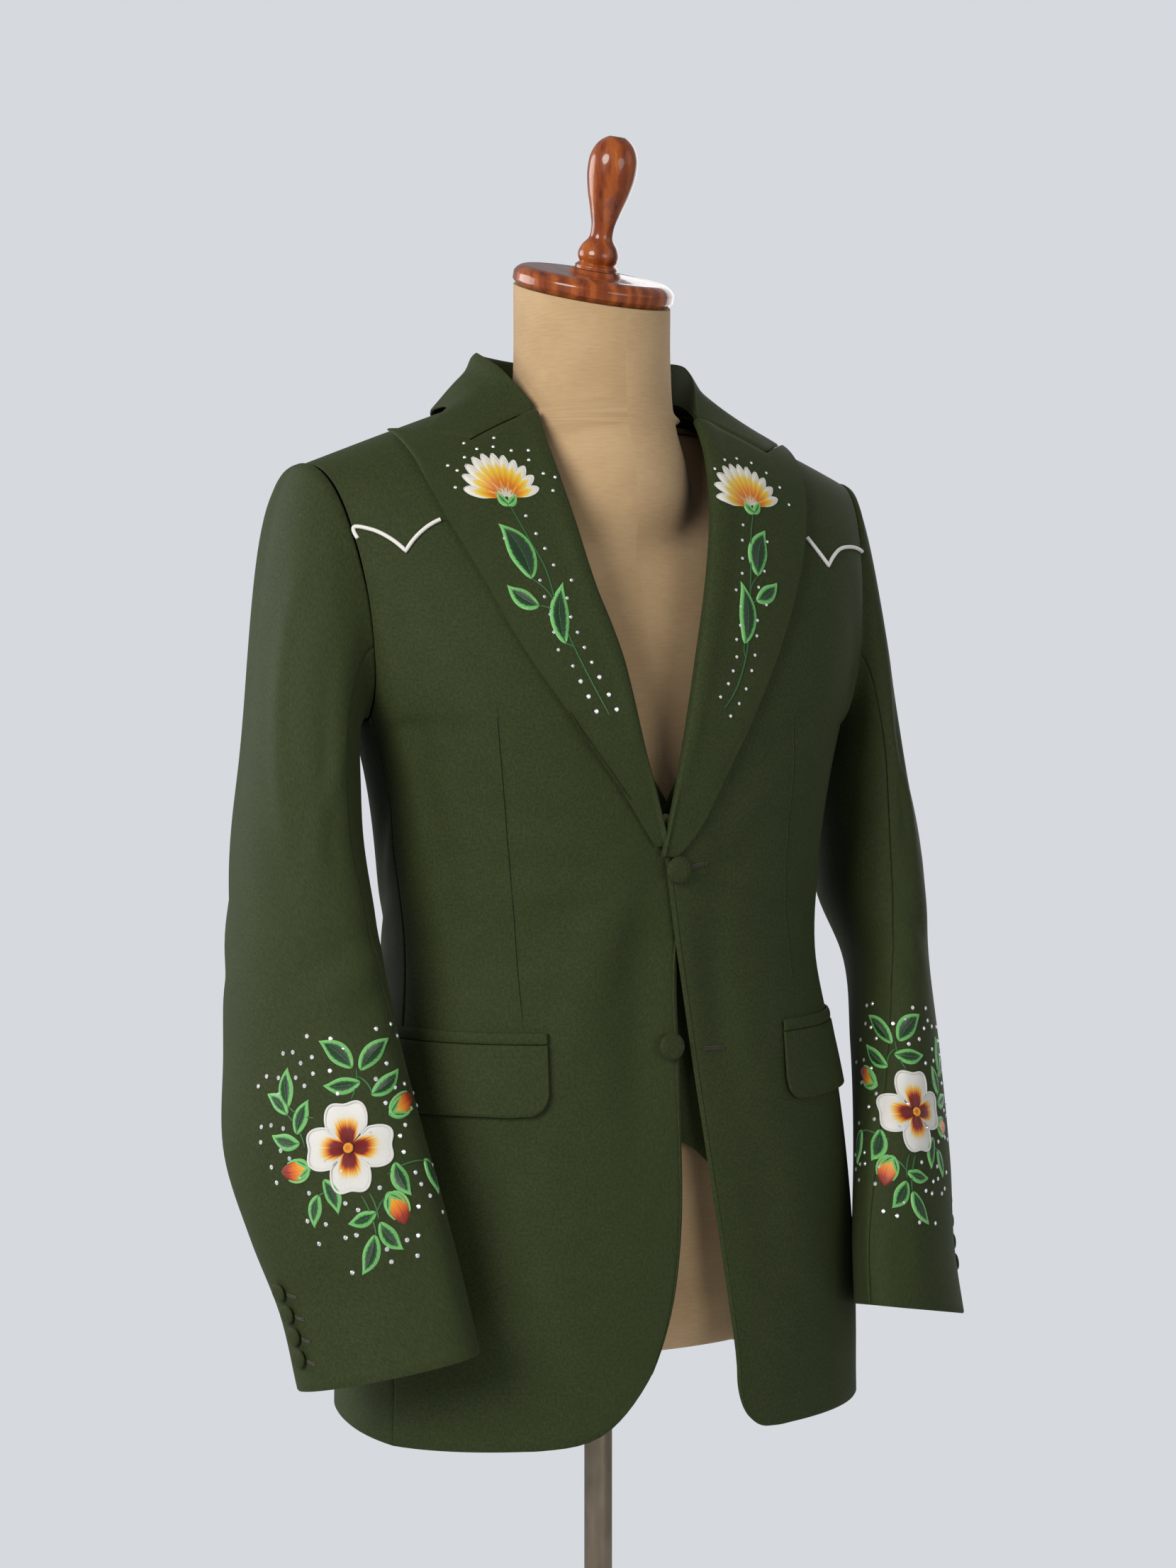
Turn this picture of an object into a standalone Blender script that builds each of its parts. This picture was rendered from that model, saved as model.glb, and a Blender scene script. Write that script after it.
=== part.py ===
"""Western suit on a dress form: a peak-lapel jacket with piped yokes over a waistcoat.

Metres, +Z up. The suit faces -Y, and the wearer's right is -X. The origin is the middle of
the whole object's box, on the floor under the stand's round base.
"""

import math

import bpy
import numpy as np

for old in list(bpy.data.objects):
    bpy.data.objects.remove(old)

# Cloth, as real sizes in metres.
WALL = 0.0016  # a panel of suiting with its fused canvas
LAPEL_WALL = 0.0022
NAMES = {-1: "right", 1: "left"}
SEAM = 0.00016  # half of the gap between two panels that are sewn together
LAP = 0.0032  # how far the left front lies over the right at the button
LAP_WIDTH = 0.034

# The shoulder line: its height falls away from the neck.
RIDGE_TOP = 1.522
RIDGE_FALL = 0.41
RIDGE_SOFT = 0.06
RIDGE_Y = 0.035
JACKET_TOP_WIDTH = 0.250
VEST_TOP_WIDTH = 0.160
VEST_BELOW_JACKET = 0.0024

# Rings of the body: half width, and depth to the front and to the back of the middle.
JACKET_RINGS = (
    # height, half_width, front, back, middle, squareness
    (0.710, 0.209, 0.148, 0.140, 0.000, 2.20),
    (0.800, 0.206, 0.147, 0.138, 0.000, 2.20),
    (0.900, 0.197, 0.142, 0.132, 0.000, 2.20),
    (1.000, 0.183, 0.136, 0.124, 0.000, 2.20),
    (1.060, 0.1715, 0.132, 0.118, 0.000, 2.20),
    (1.120, 0.174, 0.133, 0.119, 0.000, 2.20),
    (1.200, 0.184, 0.137, 0.125, 0.000, 2.25),
    (1.235, 0.192, 0.138, 0.128, 0.002, 2.30),
)
VEST_RINGS = (
    (0.895, 0.179, 0.124, 0.121, 0.000, 2.20),
    (0.960, 0.168, 0.121, 0.116, 0.000, 2.20),
    (1.050, 0.156, 0.117, 0.108, 0.000, 2.20),
    (1.120, 0.159, 0.118, 0.110, 0.000, 2.20),
    (1.175, 0.166, 0.120, 0.114, 0.002, 2.20),
)
FORM_RINGS = (
    (0.766, 0.152, 0.100, 0.100, 0.000, 2.10),
    (0.776, 0.161, 0.108, 0.108, 0.000, 2.10),
    (0.830, 0.170, 0.115, 0.114, 0.000, 2.10),
    (0.900, 0.171, 0.116, 0.114, 0.000, 2.10),
    (0.980, 0.156, 0.112, 0.106, 0.000, 2.10),
    (1.050, 0.147, 0.109, 0.100, 0.000, 2.10),
    (1.120, 0.149, 0.110, 0.101, 0.000, 2.10),
    (1.200, 0.153, 0.111, 0.104, 0.004, 2.10),
    (1.280, 0.152, 0.102, 0.097, 0.010, 2.10),
    (1.340, 0.149, 0.090, 0.086, 0.016, 2.10),
    (1.390, 0.147, 0.072, 0.070, 0.024, 2.00),
    (1.425, 0.143, 0.050, 0.050, 0.030, 2.00),
    (1.445, 0.137, 0.034, 0.034, 0.034, 2.00),
    (1.4560, 0.122, 0.020, 0.020, 0.035, 2.00),
    (1.4632, 0.098, 0.012, 0.012, 0.035, 2.00),
    (1.4692, 0.072, 0.008, 0.008, 0.035, 2.00),
    (1.4750, 0.050, 0.006, 0.006, 0.030, 2.00),
)
FORM_NECK = (
    # height, radius
    (1.300, 0.040),
    (1.360, 0.066),
    (1.400, 0.076),
    (1.430, 0.0725),
    (1.455, 0.0655),
    (1.475, 0.0620),
    (1.500, 0.0604),
    (1.559, 0.0600),
)
NECK_X = -0.0055

# Where the edges and seams of the jacket's fronts lie, as x and height. Right is -X.
ROLL = {}
ROLL[-1] = (
    # height, x
    (1.140, -0.010),
    (1.183, -0.022),
    (1.219, -0.032),
    (1.290, -0.047),
    (1.330, -0.059),
    (1.379, -0.067),
    (1.420, -0.0715),
    (1.463, -0.072),
)
ROLL[1] = (
    (1.140, -0.010),
    (1.161, -0.005),
    (1.219, 0.007),
    (1.274, 0.020),
    (1.330, 0.036),
    (1.379, 0.050),
    (1.425, 0.061),
    (1.463, 0.069),
)
LAPEL_EDGE = {}
LAPEL_EDGE[-1] = (
    (1.137, -0.013),
    (1.188, -0.047),
    (1.227, -0.074),
    (1.295, -0.116),
    (1.340, -0.136),
    (1.378, -0.152),
    (1.415, -0.162),
    (1.448, -0.166),
)
LAPEL_EDGE[1] = (
    (1.133, -0.006),
    (1.154, 0.014),
    (1.193, 0.036),
    (1.227, 0.056),
    (1.272, 0.082),
    (1.316, 0.106),
    (1.382, 0.137),
    (1.448, 0.160),
)
NECK_POINT_X = 0.074  # where roll line, neck and shoulder seam meet
GORGE = ((0.0685, 1.463), (0.100, 1.449), (0.122, 1.438), (0.148, 1.446))
COLLAR_LIFT = 0.0056
COLLAR_FOOT = (
    (-0.0730, 0.004, 1.4790),
    (-0.0722, 0.034, 1.4840),
    (-0.0570, 0.066, 1.4770),
    (-0.0300, 0.0855, 1.4715),
    (0.0, 0.0915, 1.4700),
)
COLLAR_FOLD = (
    (-0.0800, 0.002, 1.4990),
    (-0.0850, 0.030, 1.5120),
    (-0.0640, 0.068, 1.5150),
    (-0.0340, 0.084, 1.5140),
    (0.0, 0.0880, 1.5130),
)
COLLAR_EDGE_FRONT = ((0.136, 1.4545), (0.121, 1.4640))
COLLAR_EDGE_BACK = ((0.112, 1.4660), (0.092, 1.4570), (0.062, 1.4540), (0.032, 1.4530), (0.0, 1.4530))
EDGE_LOW = 0.930  # below this height the fronts' edges curve away
RIGHT_CORNER = (0.108, 0.218, 2.5)  # width, height and squareness of the rounded corner
LEFT_CORNER = (0.036, 0.050, 2.4)
LEFT_EDGE_LEAN = 0.15  # how far the left edge runs outwards for each metre down
FRONT_HEM = 0.713

# Seams of the body, as distance round from the centre front at each level.
SIDE_FRONT_SEAM = ((0.0, 0.222), (0.5, 0.214), (0.7, 0.218), (0.86, 0.234), (1.01, 0.2445))
BACK_HEM = 0.018  # level of the back's hem, a little above the front's
SIDE_BACK_SEAM = ((BACK_HEM, 0.338), (0.5, 0.308), (0.7, 0.292), (0.86, 0.288), (1.01, 0.2815))
ARMHOLE_FRONT = (
    # turn from the front, distance round, level
    (-90, 0.2622, 1.000),
    (-60, 0.2445, 1.010),
    (-30, 0.2280, 1.075),
    (0, 0.2220, 1.210),
    (30, 0.2235, 1.400),
    (60, 0.2245, 1.640),
    (90, 0.2250, 2.000),
)
ARMHOLE_BACK = (
    (-90, 0.2622, 1.000),
    (-60, 0.2815, 1.010),
    (-30, 0.3080, 1.080),
    (0, 0.3250, 1.220),
    (30, 0.3200, 1.420),
    (60, 0.3030, 1.660),
    (90, 0.2750, 2.000),
)
ARMHOLE_STEP = 15
YOKE_TURN = 30  # the yoke seam meets the armhole here
YOKE_LINE = {}
YOKE_LINE[-1] = (
    # x, height: level under the lapel, then two soft arcs that meet in a point
    (0.066, 1.3810),
    (0.100, 1.3810),
    (0.130, 1.3810),
    (0.153, 1.3800),
    (0.163, 1.3770),
    (0.172, 1.3700),
    (0.182, 1.3570),
    (0.192, 1.3675),
    (0.201, 1.3730),
    (0.211, 1.3750),
)
YOKE_LINE[1] = (
    (0.066, 1.3760),
    (0.094, 1.3755),
    (0.112, 1.3750),
    (0.125, 1.3740),
    (0.138, 1.3705),
    (0.148, 1.3630),
    (0.157, 1.3530),
    (0.165, 1.3605),
    (0.175, 1.3665),
    (0.188, 1.3690),
)
BACK_NECK = ((0.074, 1.4828), (0.060, 1.4755), (0.042, 1.4705), (0.022, 1.4685), (0.0, 1.468))

# Each sleeve hangs as a tube: the wide axis starts front to back and turns in at the wrist.
SLEEVE_ROWS = {}
SLEEVE_ROWS[-1] = (
    # height, x, y, half_wide, half_narrow, turn, tip of the hem in degrees
    (1.195, -0.2400, 0.008, 0.0820, 0.0390, 0, 0),
    (1.155, -0.2432, 0.004, 0.0810, 0.0410, 3, 0),
    (1.089, -0.2460, -0.012, 0.0805, 0.0430, 12, 2),
    (1.000, -0.2470, -0.040, 0.0800, 0.0430, 25, 5),
    (0.930, -0.2460, -0.064, 0.0815, 0.0430, 36, 8),
    (0.879, -0.2360, -0.083, 0.0755, 0.0410, 41, 11),
    (0.829, -0.2235, -0.098, 0.0690, 0.0380, 45, 13),
    (0.7775, -0.2155, -0.112, 0.0680, 0.0370, 47, 14),
)
SLEEVE_ROWS[1] = (
    (1.195, 0.2255, 0.008, 0.0765, 0.0290, 0, 0),
    (1.155, 0.2335, 0.004, 0.0765, 0.0330, 5, 0),
    (1.093, 0.2390, -0.006, 0.0760, 0.0365, 10, 2),
    (1.046, 0.2465, -0.016, 0.0760, 0.0320, 20, 4),
    (0.977, 0.2440, -0.036, 0.0770, 0.0350, 28, 5),
    (0.8915, 0.2350, -0.062, 0.0780, 0.0370, 38, 8),
    (0.822, 0.2255, -0.082, 0.0765, 0.0370, 44, 11),
    (0.7775, 0.2240, -0.094, 0.0790, 0.0380, 47, 13),
)
CAP_OUT_TOP = {-1: 0.080, 1: 0.060}  # how far the sleeve head springs out before it falls
CAP_OUT_LOW = 0.030
CAP_DOWN_TOP, CAP_DOWN_LOW = 0.230, 0.045
FRONT_SLEEVE_SEAM, BACK_SLEEVE_SEAM = -15, 195

# Pockets, buttons and trim.
FLAP_TOP, FLAP_LOW = 1.0025, 0.9515
FLAP_FROM, FLAP_TO = 0.098, 0.246
FLAP_ROUND = 0.017
WELT_TALL = 0.009
PIPING_RADIUS = 0.0015
PIPING_CLEAR = 0.0045  # how far the piping stays from the lapel
FRONT_BUTTON_RADIUS = 0.010
CUFF_BUTTON_RADIUS = 0.0070
FRONT_BUTTONS = ((0.000, 1.1275), (-0.0055, 0.9990))  # x, height
CUFF_BUTTON_LOW = {-1: 0.800, 1: 0.814}
CUFF_BUTTON_STEP = 0.0148
CUFF_BUTTON_TURN = 137

FRONT_BUTTON_THICK, CUFF_BUTTON_THICK = 0.0046, 0.0036

# The waistcoat.
VEST_LAP = 0.010
VEST_NECK = ((1.166, 0.000), (1.200, 0.014), (1.260, 0.036), (1.330, 0.064), (1.400, 0.083))
VEST_NOTCH = 0.934
VEST_SIDE_HEM = 0.930
VEST_HEM = ((0.0, 0.934), (0.048, 0.900), (0.110, 0.916), (0.234, 0.930))  # round from the front
VEST_ACROSS = np.array((0.0, 0.10, 0.24, 0.46, 0.72, 1.0))
VEST_BUTTONS = (1.143, 1.092, 1.041, 0.990)
VEST_BUTTON_RADIUS = 0.0068
VEST_TOP = 1.994
VEST_NECK_X, VEST_TIP_X = 0.088, 0.130
VEST_SIDE_SEAM = ((0.0, 0.234), (0.5, 0.222), (1.0, 0.222))
VEST_HOLE_FRONT = ((1.0, 0.222), (1.06, 0.206), (1.25, 0.170), (1.6, 0.136), (VEST_TOP, VEST_TIP_X))
VEST_HOLE_BACK = ((1.0, 0.222), (1.06, 0.238), (1.25, 0.246), (1.6, 0.222))
VEST_BACK_NECK = ((0.066, 1.4660), (0.036, 1.4560), (0.0, 1.4530))

# The dress form and its stand.
NECK_TIP_FORWARD, NECK_TIP_SIDE = math.radians(16), math.radians(3)
NECK_TOP = 1.559
CAP_RADIUS = 0.062
POLE_RADIUS = 0.0108
BASE_RADIUS = 0.200
GAP = 0.0003
CAP_PROFILE = (
    # radius, height
    (CAP_RADIUS - 0.004, 0.0),
    (CAP_RADIUS, 0.004),
    (CAP_RADIUS, 0.010),
    (CAP_RADIUS - 0.004, 0.0145),
    (0.050, 0.0160),
    (0.0205, 0.0165),
    (0.0190, 0.0195),
)
KNOB_PROFILE = (
    (0.0165, 0.0),
    (0.0165, 0.0025),
    (0.0135, 0.0050),
    (0.0158, 0.0105),
    (0.0140, 0.0170),
    (0.0092, 0.0240),
    (0.0088, 0.0310),
    (0.0115, 0.0430),
    (0.0160, 0.0580),
    (0.0187, 0.0740),
    (0.0178, 0.0860),
    (0.0130, 0.0950),
    (0.0060, 0.1000),
)
POLE_FOOT = 0.066
BASE_PROFILE = (
    (BASE_RADIUS - 0.003, 0.0),
    (BASE_RADIUS, 0.003),
    (BASE_RADIUS, 0.009),
    (BASE_RADIUS - 0.006, 0.014),
    (0.120, 0.021),
    (0.040, 0.027),
    (0.024, 0.032),
    (0.0185, 0.045),
    (0.0175, 0.064),
    (0.0150, POLE_FOOT),
)


def smooth(rows, column, at):
    """A cubic through one column of a table, at values of its first column."""
    table = np.array(rows, float)
    table = table[np.argsort(table[:, 0])]
    keys, values = table[:, 0], table[:, column]
    slopes = np.gradient(values, keys)
    at = np.clip(at, keys[0], keys[-1])
    i = np.clip(np.searchsorted(keys, at) - 1, 0, len(keys) - 2)
    step = keys[i + 1] - keys[i]
    f = (at - keys[i]) / step
    ends = values[i] * (1 + 2 * f) * (1 - f) ** 2 + values[i + 1] * f**2 * (3 - 2 * f)
    return ends + step * (slopes[i] * f * (1 - f) ** 2 - slopes[i + 1] * f**2 * (1 - f))


def through(points, count):
    """Evenly spaced points of a smooth curve through a few points in space."""
    points = np.array(points, float)
    along = np.r_[0, np.cumsum(np.linalg.norm(np.diff(points, axis=0), axis=1))]
    rows = np.column_stack([along, points])
    at = np.linspace(0, along[-1], count)
    return np.column_stack([smooth(rows, k, at) for k in range(1, rows.shape[1])])


def unit(vectors):
    return vectors / np.maximum(np.linalg.norm(vectors, axis=-1, keepdims=True), 1e-12)


def ridge(x):
    """Height of the jacket's shoulder line."""
    return RIDGE_TOP - RIDGE_FALL * np.sqrt(np.square(x) + RIDGE_SOFT**2)


class Skin:
    """The outer surface of a garment's body.

    A point is named by d, the distance round from the centre front (the wearer's left is
    positive), and t, its level: 0 at the hem, 1 at the armpit and 2 on the shoulder line.
    """

    ARCH = 2.3

    def __init__(self, rings, top_width, below):
        self.rings, self.top_width, self.below = rings, top_width, below
        self.hem, self.armpit = rings[0][0], rings[-1][0]
        self.levels = np.linspace(0, 2, 161)
        turns = np.linspace(0, np.pi, 181)
        self.points = np.array([self.ring(t, turns) for t in self.levels])
        steps = np.linalg.norm(np.diff(self.points[:, :, :2], axis=1), axis=2)
        self.along = np.hstack([np.zeros((len(steps), 1)), np.cumsum(steps, axis=1)])

    def top(self, x):
        return ridge(x) - self.below

    def ring(self, t, turns):
        height = self.hem + min(t, 1) * (self.armpit - self.hem)
        width, front, back, middle, square = (smooth(self.rings, k, height) for k in range(1, 6))
        rise = math.sin(max(t - 1, 0) * math.pi / 2)
        shrink = max(1 - rise**2, 0) ** (1 / self.ARCH)
        width = width + (self.top_width - width) * rise**0.6
        middle = middle + (RIDGE_Y - middle) * rise
        c, s = np.cos(turns), np.sin(turns)
        x = width * np.abs(s) ** (2 / square)
        deep = np.where(c > 0, front, back) * shrink
        y = middle - np.sign(c) * deep * np.abs(c) ** (2 / square)
        z = height + (self.top(0) - self.armpit) * rise - rise**2 * (self.top(0) - self.top(x))
        return np.stack([x, y, z], axis=1)

    def row(self, t):
        row = np.clip(t / 2 * (len(self.levels) - 1), 0, len(self.levels) - 1 - 1e-9)
        low = row.astype(int)
        return low, row - low

    def at(self, d, t):
        d, t = np.broadcast_arrays(np.asarray(d, float), np.asarray(t, float))
        shape, d = d.shape, d.ravel()
        low, f = self.row(np.clip(t.ravel(), 0, 2))
        found = []
        for level in (low, low + 1):
            p = np.empty((len(d), 3))
            for k in np.unique(level):
                here = level == k
                for axis in range(3):
                    p[here, axis] = np.interp(
                        np.abs(d[here]), self.along[k], self.points[k, :, axis]
                    )
            found.append(p)
        p = found[0] * (1 - f[:, None]) + found[1] * f[:, None]
        p[:, 0] *= np.where(d < 0, -1, 1)
        return p.reshape(shape + (3,))

    def normal(self, d, t):
        d, t = np.broadcast_arrays(np.asarray(d, float), np.asarray(t, float))
        step_d, step_t = 0.002, 0.01
        round_ = self.at(d + step_d, t) - self.at(d - step_d, t)
        up = self.at(d, np.minimum(t + step_t, 2)) - self.at(d, np.maximum(t - step_t, 0))
        return unit(np.cross(round_, up))

    def spot(self, x, z, back=False):
        """d and t of the points with this x and height, as an array of pairs."""
        x, z = np.broadcast_arrays(np.asarray(x, float), np.asarray(z, float))
        span = self.top(0) - self.armpit
        drop = np.maximum(self.top(0) - self.top(x), 1e-9)
        over = np.maximum(z - self.armpit, 0)
        rise = (span - np.sqrt(np.maximum(span**2 - 4 * drop * over, 0))) / (2 * drop)
        upper = 1 + np.arcsin(np.clip(rise, 0, 1)) * 2 / np.pi
        t = np.where(z <= self.armpit, (z - self.hem) / (self.armpit - self.hem), upper)
        half = slice(180, 89, -1) if back else slice(0, 91)
        low, f = self.row(t)
        d = np.empty(x.shape)
        for i in np.ndindex(x.shape):
            first, second = (
                np.interp(abs(x[i]), self.points[k, half, 0], self.along[k, half])
                for k in (low[i], low[i] + 1)
            )
            d[i] = first * (1 - f[i]) + second * f[i]
        return np.stack([np.where(x < 0, -d, d), t], axis=-1)


JACKET = Skin(JACKET_RINGS, JACKET_TOP_WIDTH, 0.0)
VEST = Skin(VEST_RINGS, VEST_TOP_WIDTH, VEST_BELOW_JACKET)


def coons(low, high, first, last, across=None):
    """A patch between four edges. low and high run the same way, and so do first and last."""
    u = (np.linspace(0, 1, len(low)) if across is None else np.array(across))[:, None, None]
    v = np.linspace(0, 1, len(first))[None, :, None]
    low, high = np.asarray(low)[:, None], np.asarray(high)[:, None]
    first, last = np.asarray(first)[None], np.asarray(last)[None]
    ruled = low * (1 - v) + high * v + first * (1 - u) + last * u
    corners = (
        first[:, :1] * (1 - u) * (1 - v)
        + last[:, :1] * u * (1 - v)
        + first[:, -1:] * (1 - u) * v
        + last[:, -1:] * u * v
    )
    return ruled - corners


def mirrored(pairs, side):
    """Pairs of d or x and a second value, on the right for side -1."""
    pairs = np.array(pairs, float)
    pairs[..., 0] *= side
    return pairs


def line_on_front(rows, count, start, stop):
    """(d, t) along a table of height and x on the jacket's front."""
    heights = np.linspace(start, stop, count)
    return JACKET.spot(smooth(rows, 1, heights), heights)


def front_edge(side, count):
    """x and height of a front's edge, from the middle of its rounded corner up to the button."""
    turns = np.radians(np.linspace(45, 90, 4)[:-1])
    straight = np.linspace(0, 1, count - len(turns))[:, None]
    if side < 0:
        wide, tall, power = RIGHT_CORNER
        corner_x, corner_z = 0.002 - wide, FRONT_HEM + tall
        top = np.array([0.012, ROLL[side][0][0]])
        middle = np.array([0.002, 1.04])
    else:
        wide, tall, power = LEFT_CORNER
        corner_z = FRONT_HEM + tall
        corner_x = 0.020 + LEFT_EDGE_LEAN * (EDGE_LOW - corner_z) + wide
        top = np.array([-0.010, ROLL[side][0][0]])
        middle = np.array([0.005, 1.04])
    toward = 1 if side < 0 else -1
    x = corner_x + toward * wide * np.sin(turns) ** (2 / power)
    z = corner_z - tall * np.cos(turns) ** (2 / power)
    low = np.array([corner_x + toward * wide, corner_z])
    run = through([low, (low + middle) / 2, middle, top], len(straight))
    return np.vstack([np.column_stack([x, z]), run])


def corner_hem(side, count):
    """x and height from the middle of the rounded corner to where the hem is level."""
    wide, tall, power = RIGHT_CORNER if side < 0 else LEFT_CORNER
    turns = np.radians(np.linspace(45, 0, count))
    toward = 1 if side < 0 else -1
    corner_z = FRONT_HEM + tall
    corner_x = 0.002 - wide if side < 0 else 0.020 + LEFT_EDGE_LEAN * (EDGE_LOW - corner_z) + wide
    x = corner_x + toward * wide * np.sin(turns) ** (2 / power)
    z = corner_z - tall * np.cos(turns) ** (2 / power)
    return np.column_stack([x, z])


def seam(rows, side, shift, count):
    """(d, t) up a seam of the body, moved round by shift."""
    levels = np.linspace(rows[0][0], rows[-1][0], count)
    return np.column_stack([side * (smooth(rows, 1, levels) + shift), levels])


def armhole(side, turns, back=False):
    """(d, t) round the armhole: -90 is under the arm, 0 foremost or rearmost, 90 the top."""
    rows = ARMHOLE_BACK if back else ARMHOLE_FRONT
    turns = np.asarray(turns, float)
    return np.column_stack([side * smooth(rows, 1, turns), smooth(rows, 2, turns)])


def steps(start, stop):
    return np.arange(start, stop + 1, ARMHOLE_STEP)


def yoke_line(side, shift):
    end = armhole(side, [YOKE_TURN])
    line = mirrored(YOKE_LINE[side], side)
    spots = JACKET.spot(line[:, 0], line[:, 1] + shift)
    end[0, 1] += shift * 4
    return np.vstack([spots, end])


SHOULDER = 1.9997  # level of the shoulder seam, a hair short of the shoulder line
COLLAR_JOIN = 1.463  # height at which lapel, collar and yoke meet
SIDE_STEPS = 11
EDGE_STEPS = 12
CORNER_STEPS = 3


def front_grid(side):
    """(d, t) of a front below its yoke, and how far each point stands out."""
    yoke = yoke_line(side, -SEAM)
    edge = front_edge(side, EDGE_STEPS)
    edge = JACKET.spot(edge[:, 0], edge[:, 1])
    up = line_on_front(ROLL[side], 6, ROLL[side][0][0], YOKE_LINE[side][0][1])[1:]
    up[-1] = yoke[0]
    first = np.vstack([edge, up])
    last = np.vstack([seam(SIDE_FRONT_SEAM, side, -SEAM, SIDE_STEPS), armhole(side, steps(-45, 30))])
    last[-1] = yoke[-1]
    corner = corner_hem(side, CORNER_STEPS)
    hem = JACKET.spot(corner[:, 0], corner[:, 1])
    level = np.linspace(0, 1, len(yoke) - CORNER_STEPS + 1)[1:, None]
    low = np.vstack([hem, hem[-1] * (1 - level) + last[0] * level])
    where = coons(low, yoke, first, last)
    where[..., 1] = np.maximum(where[..., 1], 0)
    return where, lap_of_front(side, where)


def lap_of_front(side, where):
    """The left front stands out where it laps over the right one at the buttons."""
    if side < 0:
        return np.zeros(where.shape[:2])
    p = JACKET.at(where[..., 0], where[..., 1])
    over = np.exp(-(((p[..., 0] + 0.002) / LAP_WIDTH) ** 4))
    return LAP * over * np.clip((p[..., 2] - 0.99) / 0.06, 0, 1)


def yoke_grid(side):
    low = yoke_line(side, SEAM)
    heights = np.linspace(YOKE_LINE[side][0][1], COLLAR_JOIN, 4)
    first = JACKET.spot(smooth(ROLL[side], 1, heights), heights)
    first[0] = low[0]
    ends = side * NECK_POINT_X, side * ARMHOLE_FRONT[-1][1]
    top = np.column_stack([np.linspace(*ends, len(low)), np.full(len(low), SHOULDER)])
    first = np.vstack([first, top[0]])
    last = armhole(side, steps(YOKE_TURN, 90))
    last[0], last[-1] = low[-1], top[-1]
    return coons(low, top, first, last)


def side_grid(side):
    first = seam(SIDE_FRONT_SEAM, side, SEAM, SIDE_STEPS)
    last = seam(SIDE_BACK_SEAM, side, -SEAM, SIDE_STEPS)
    front = armhole(side, steps(-90, -60))[::-1]
    rear = armhole(side, steps(-90, -60), back=True)
    high = np.vstack([front, rear[1:]])
    high[0], high[-1] = first[-1], last[-1]
    low = first[0] + (last[0] - first[0]) * np.linspace(0, 1, len(high))[:, None]
    return coons(low, high, first, last)


def back_grid(side):
    last = np.vstack(
        [seam(SIDE_BACK_SEAM, side, SEAM, SIDE_STEPS), armhole(side, steps(-45, 90), back=True)]
    )
    neck = mirrored(BACK_NECK, side)
    neck = JACKET.spot(neck[:, 0], neck[:, 1], back=True)
    half = JACKET.along[:, -1]
    neck[:, 1] = np.minimum(neck[:, 1], SHOULDER)
    far = np.interp(SHOULDER, JACKET.levels, half)
    x = np.linspace(ARMHOLE_FRONT[-1][1], NECK_POINT_X, 5)
    shoulder = np.column_stack([side * (far - x), np.full(len(x), SHOULDER)])
    high = np.vstack([shoulder[:-1], neck])[::-1]
    levels = np.linspace(BACK_HEM, neck[-1, 1], len(last))
    middle = np.interp(levels, JACKET.levels, half) - SEAM
    first = np.column_stack([side * middle, levels])
    high[0], high[-1] = first[-1], last[-1]
    low = first[0] + (last[0] - first[0]) * np.linspace(0, 1, len(high))[:, None]
    return coons(low, high, first, last)


def raised(spots, lift):
    """Points of the jacket's skin, moved out by lift."""
    d, t = spots[..., 0], spots[..., 1]
    return JACKET.at(d, t) + JACKET.normal(d, t) * lift


def gorge_nodes(side):
    """(d, t) of the seam between lapel and collar, and on along the peak to the collar's corner."""
    line = mirrored(GORGE, side)
    spots = JACKET.spot(line[:, 0], line[:, 1])
    return np.vstack([spots[0], (spots[0] + spots[1]) / 2, spots[1:]])


ROLL_HOOK = (
    # distance past the roll line, height above the front
    (0.0034, -0.0006),
    (0.0040, 0.0018),
    (0.0026, 0.0044),
)
LAPEL_LIFT = 0.0054
LAPEL_BELLY = 0.0030  # how far the lapel's middle stands off the front at its roll
LAPEL_START = {-1: 1.1600, 1: 1.1440}
LAPEL_STEPS = 15
TO_SEAM = 0.004  # the level by which lapel and collar stay short of each other


def lapel_grid(side):
    """(d, t) of a lapel from its roll line to its edge, and the height of each point."""
    start, stop = LAPEL_START[side], ROLL[side][-1][0]
    first = line_on_front(ROLL[side], LAPEL_STEPS, start, stop)
    stop = LAPEL_EDGE[side][-1][0]
    last = line_on_front(LAPEL_EDGE[side], LAPEL_STEPS, start - 0.001, stop)
    tip = JACKET.spot([side * abs(LAPEL_EDGE[side][-1][1])], [stop])
    high = np.vstack([gorge_nodes(side), tip])
    high[:, 1] -= TO_SEAM
    low = first[:1] + (last[:1] - first[:1]) * np.linspace(0, 1, len(high))[:, None]
    first[-1], last[-1] = high[0], high[-1]
    where = coons(low, high, first, last)
    u = np.linspace(0, 1, where.shape[0])[:, None]
    v = np.linspace(0, 1, where.shape[1])[None]
    lift = LAPEL_LIFT + LAPEL_BELLY * (1 - u) ** 2 * np.sin(np.pi * v)
    over = LAP * np.clip(1 - v / 0.25, 0, 1)
    return where, lift + over * (1.0 if side > 0 else 0.4), over[0]


def lapel_points(side, where, lift, over):
    """The lapel's outer points: three rows round the roll, then the leaf."""
    rows = []
    for past, height in ROLL_HOOK:
        d, t = where[0, :, 0] - side * past, where[0, :, 1]
        out = height * np.where(height > 0, lift[0] / LAPEL_LIFT, 1) + over
        rows.append(JACKET.at(d, t) + JACKET.normal(d, t) * out[:, None])
    leaf = JACKET.at(where[..., 0], where[..., 1])
    n = JACKET.normal(where[..., 0], where[..., 1])
    outer = np.vstack([np.array(rows), leaf + n * lift[..., None]])
    return outer, grid_normals(outer, np.vstack([n[:3], n]))


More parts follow.
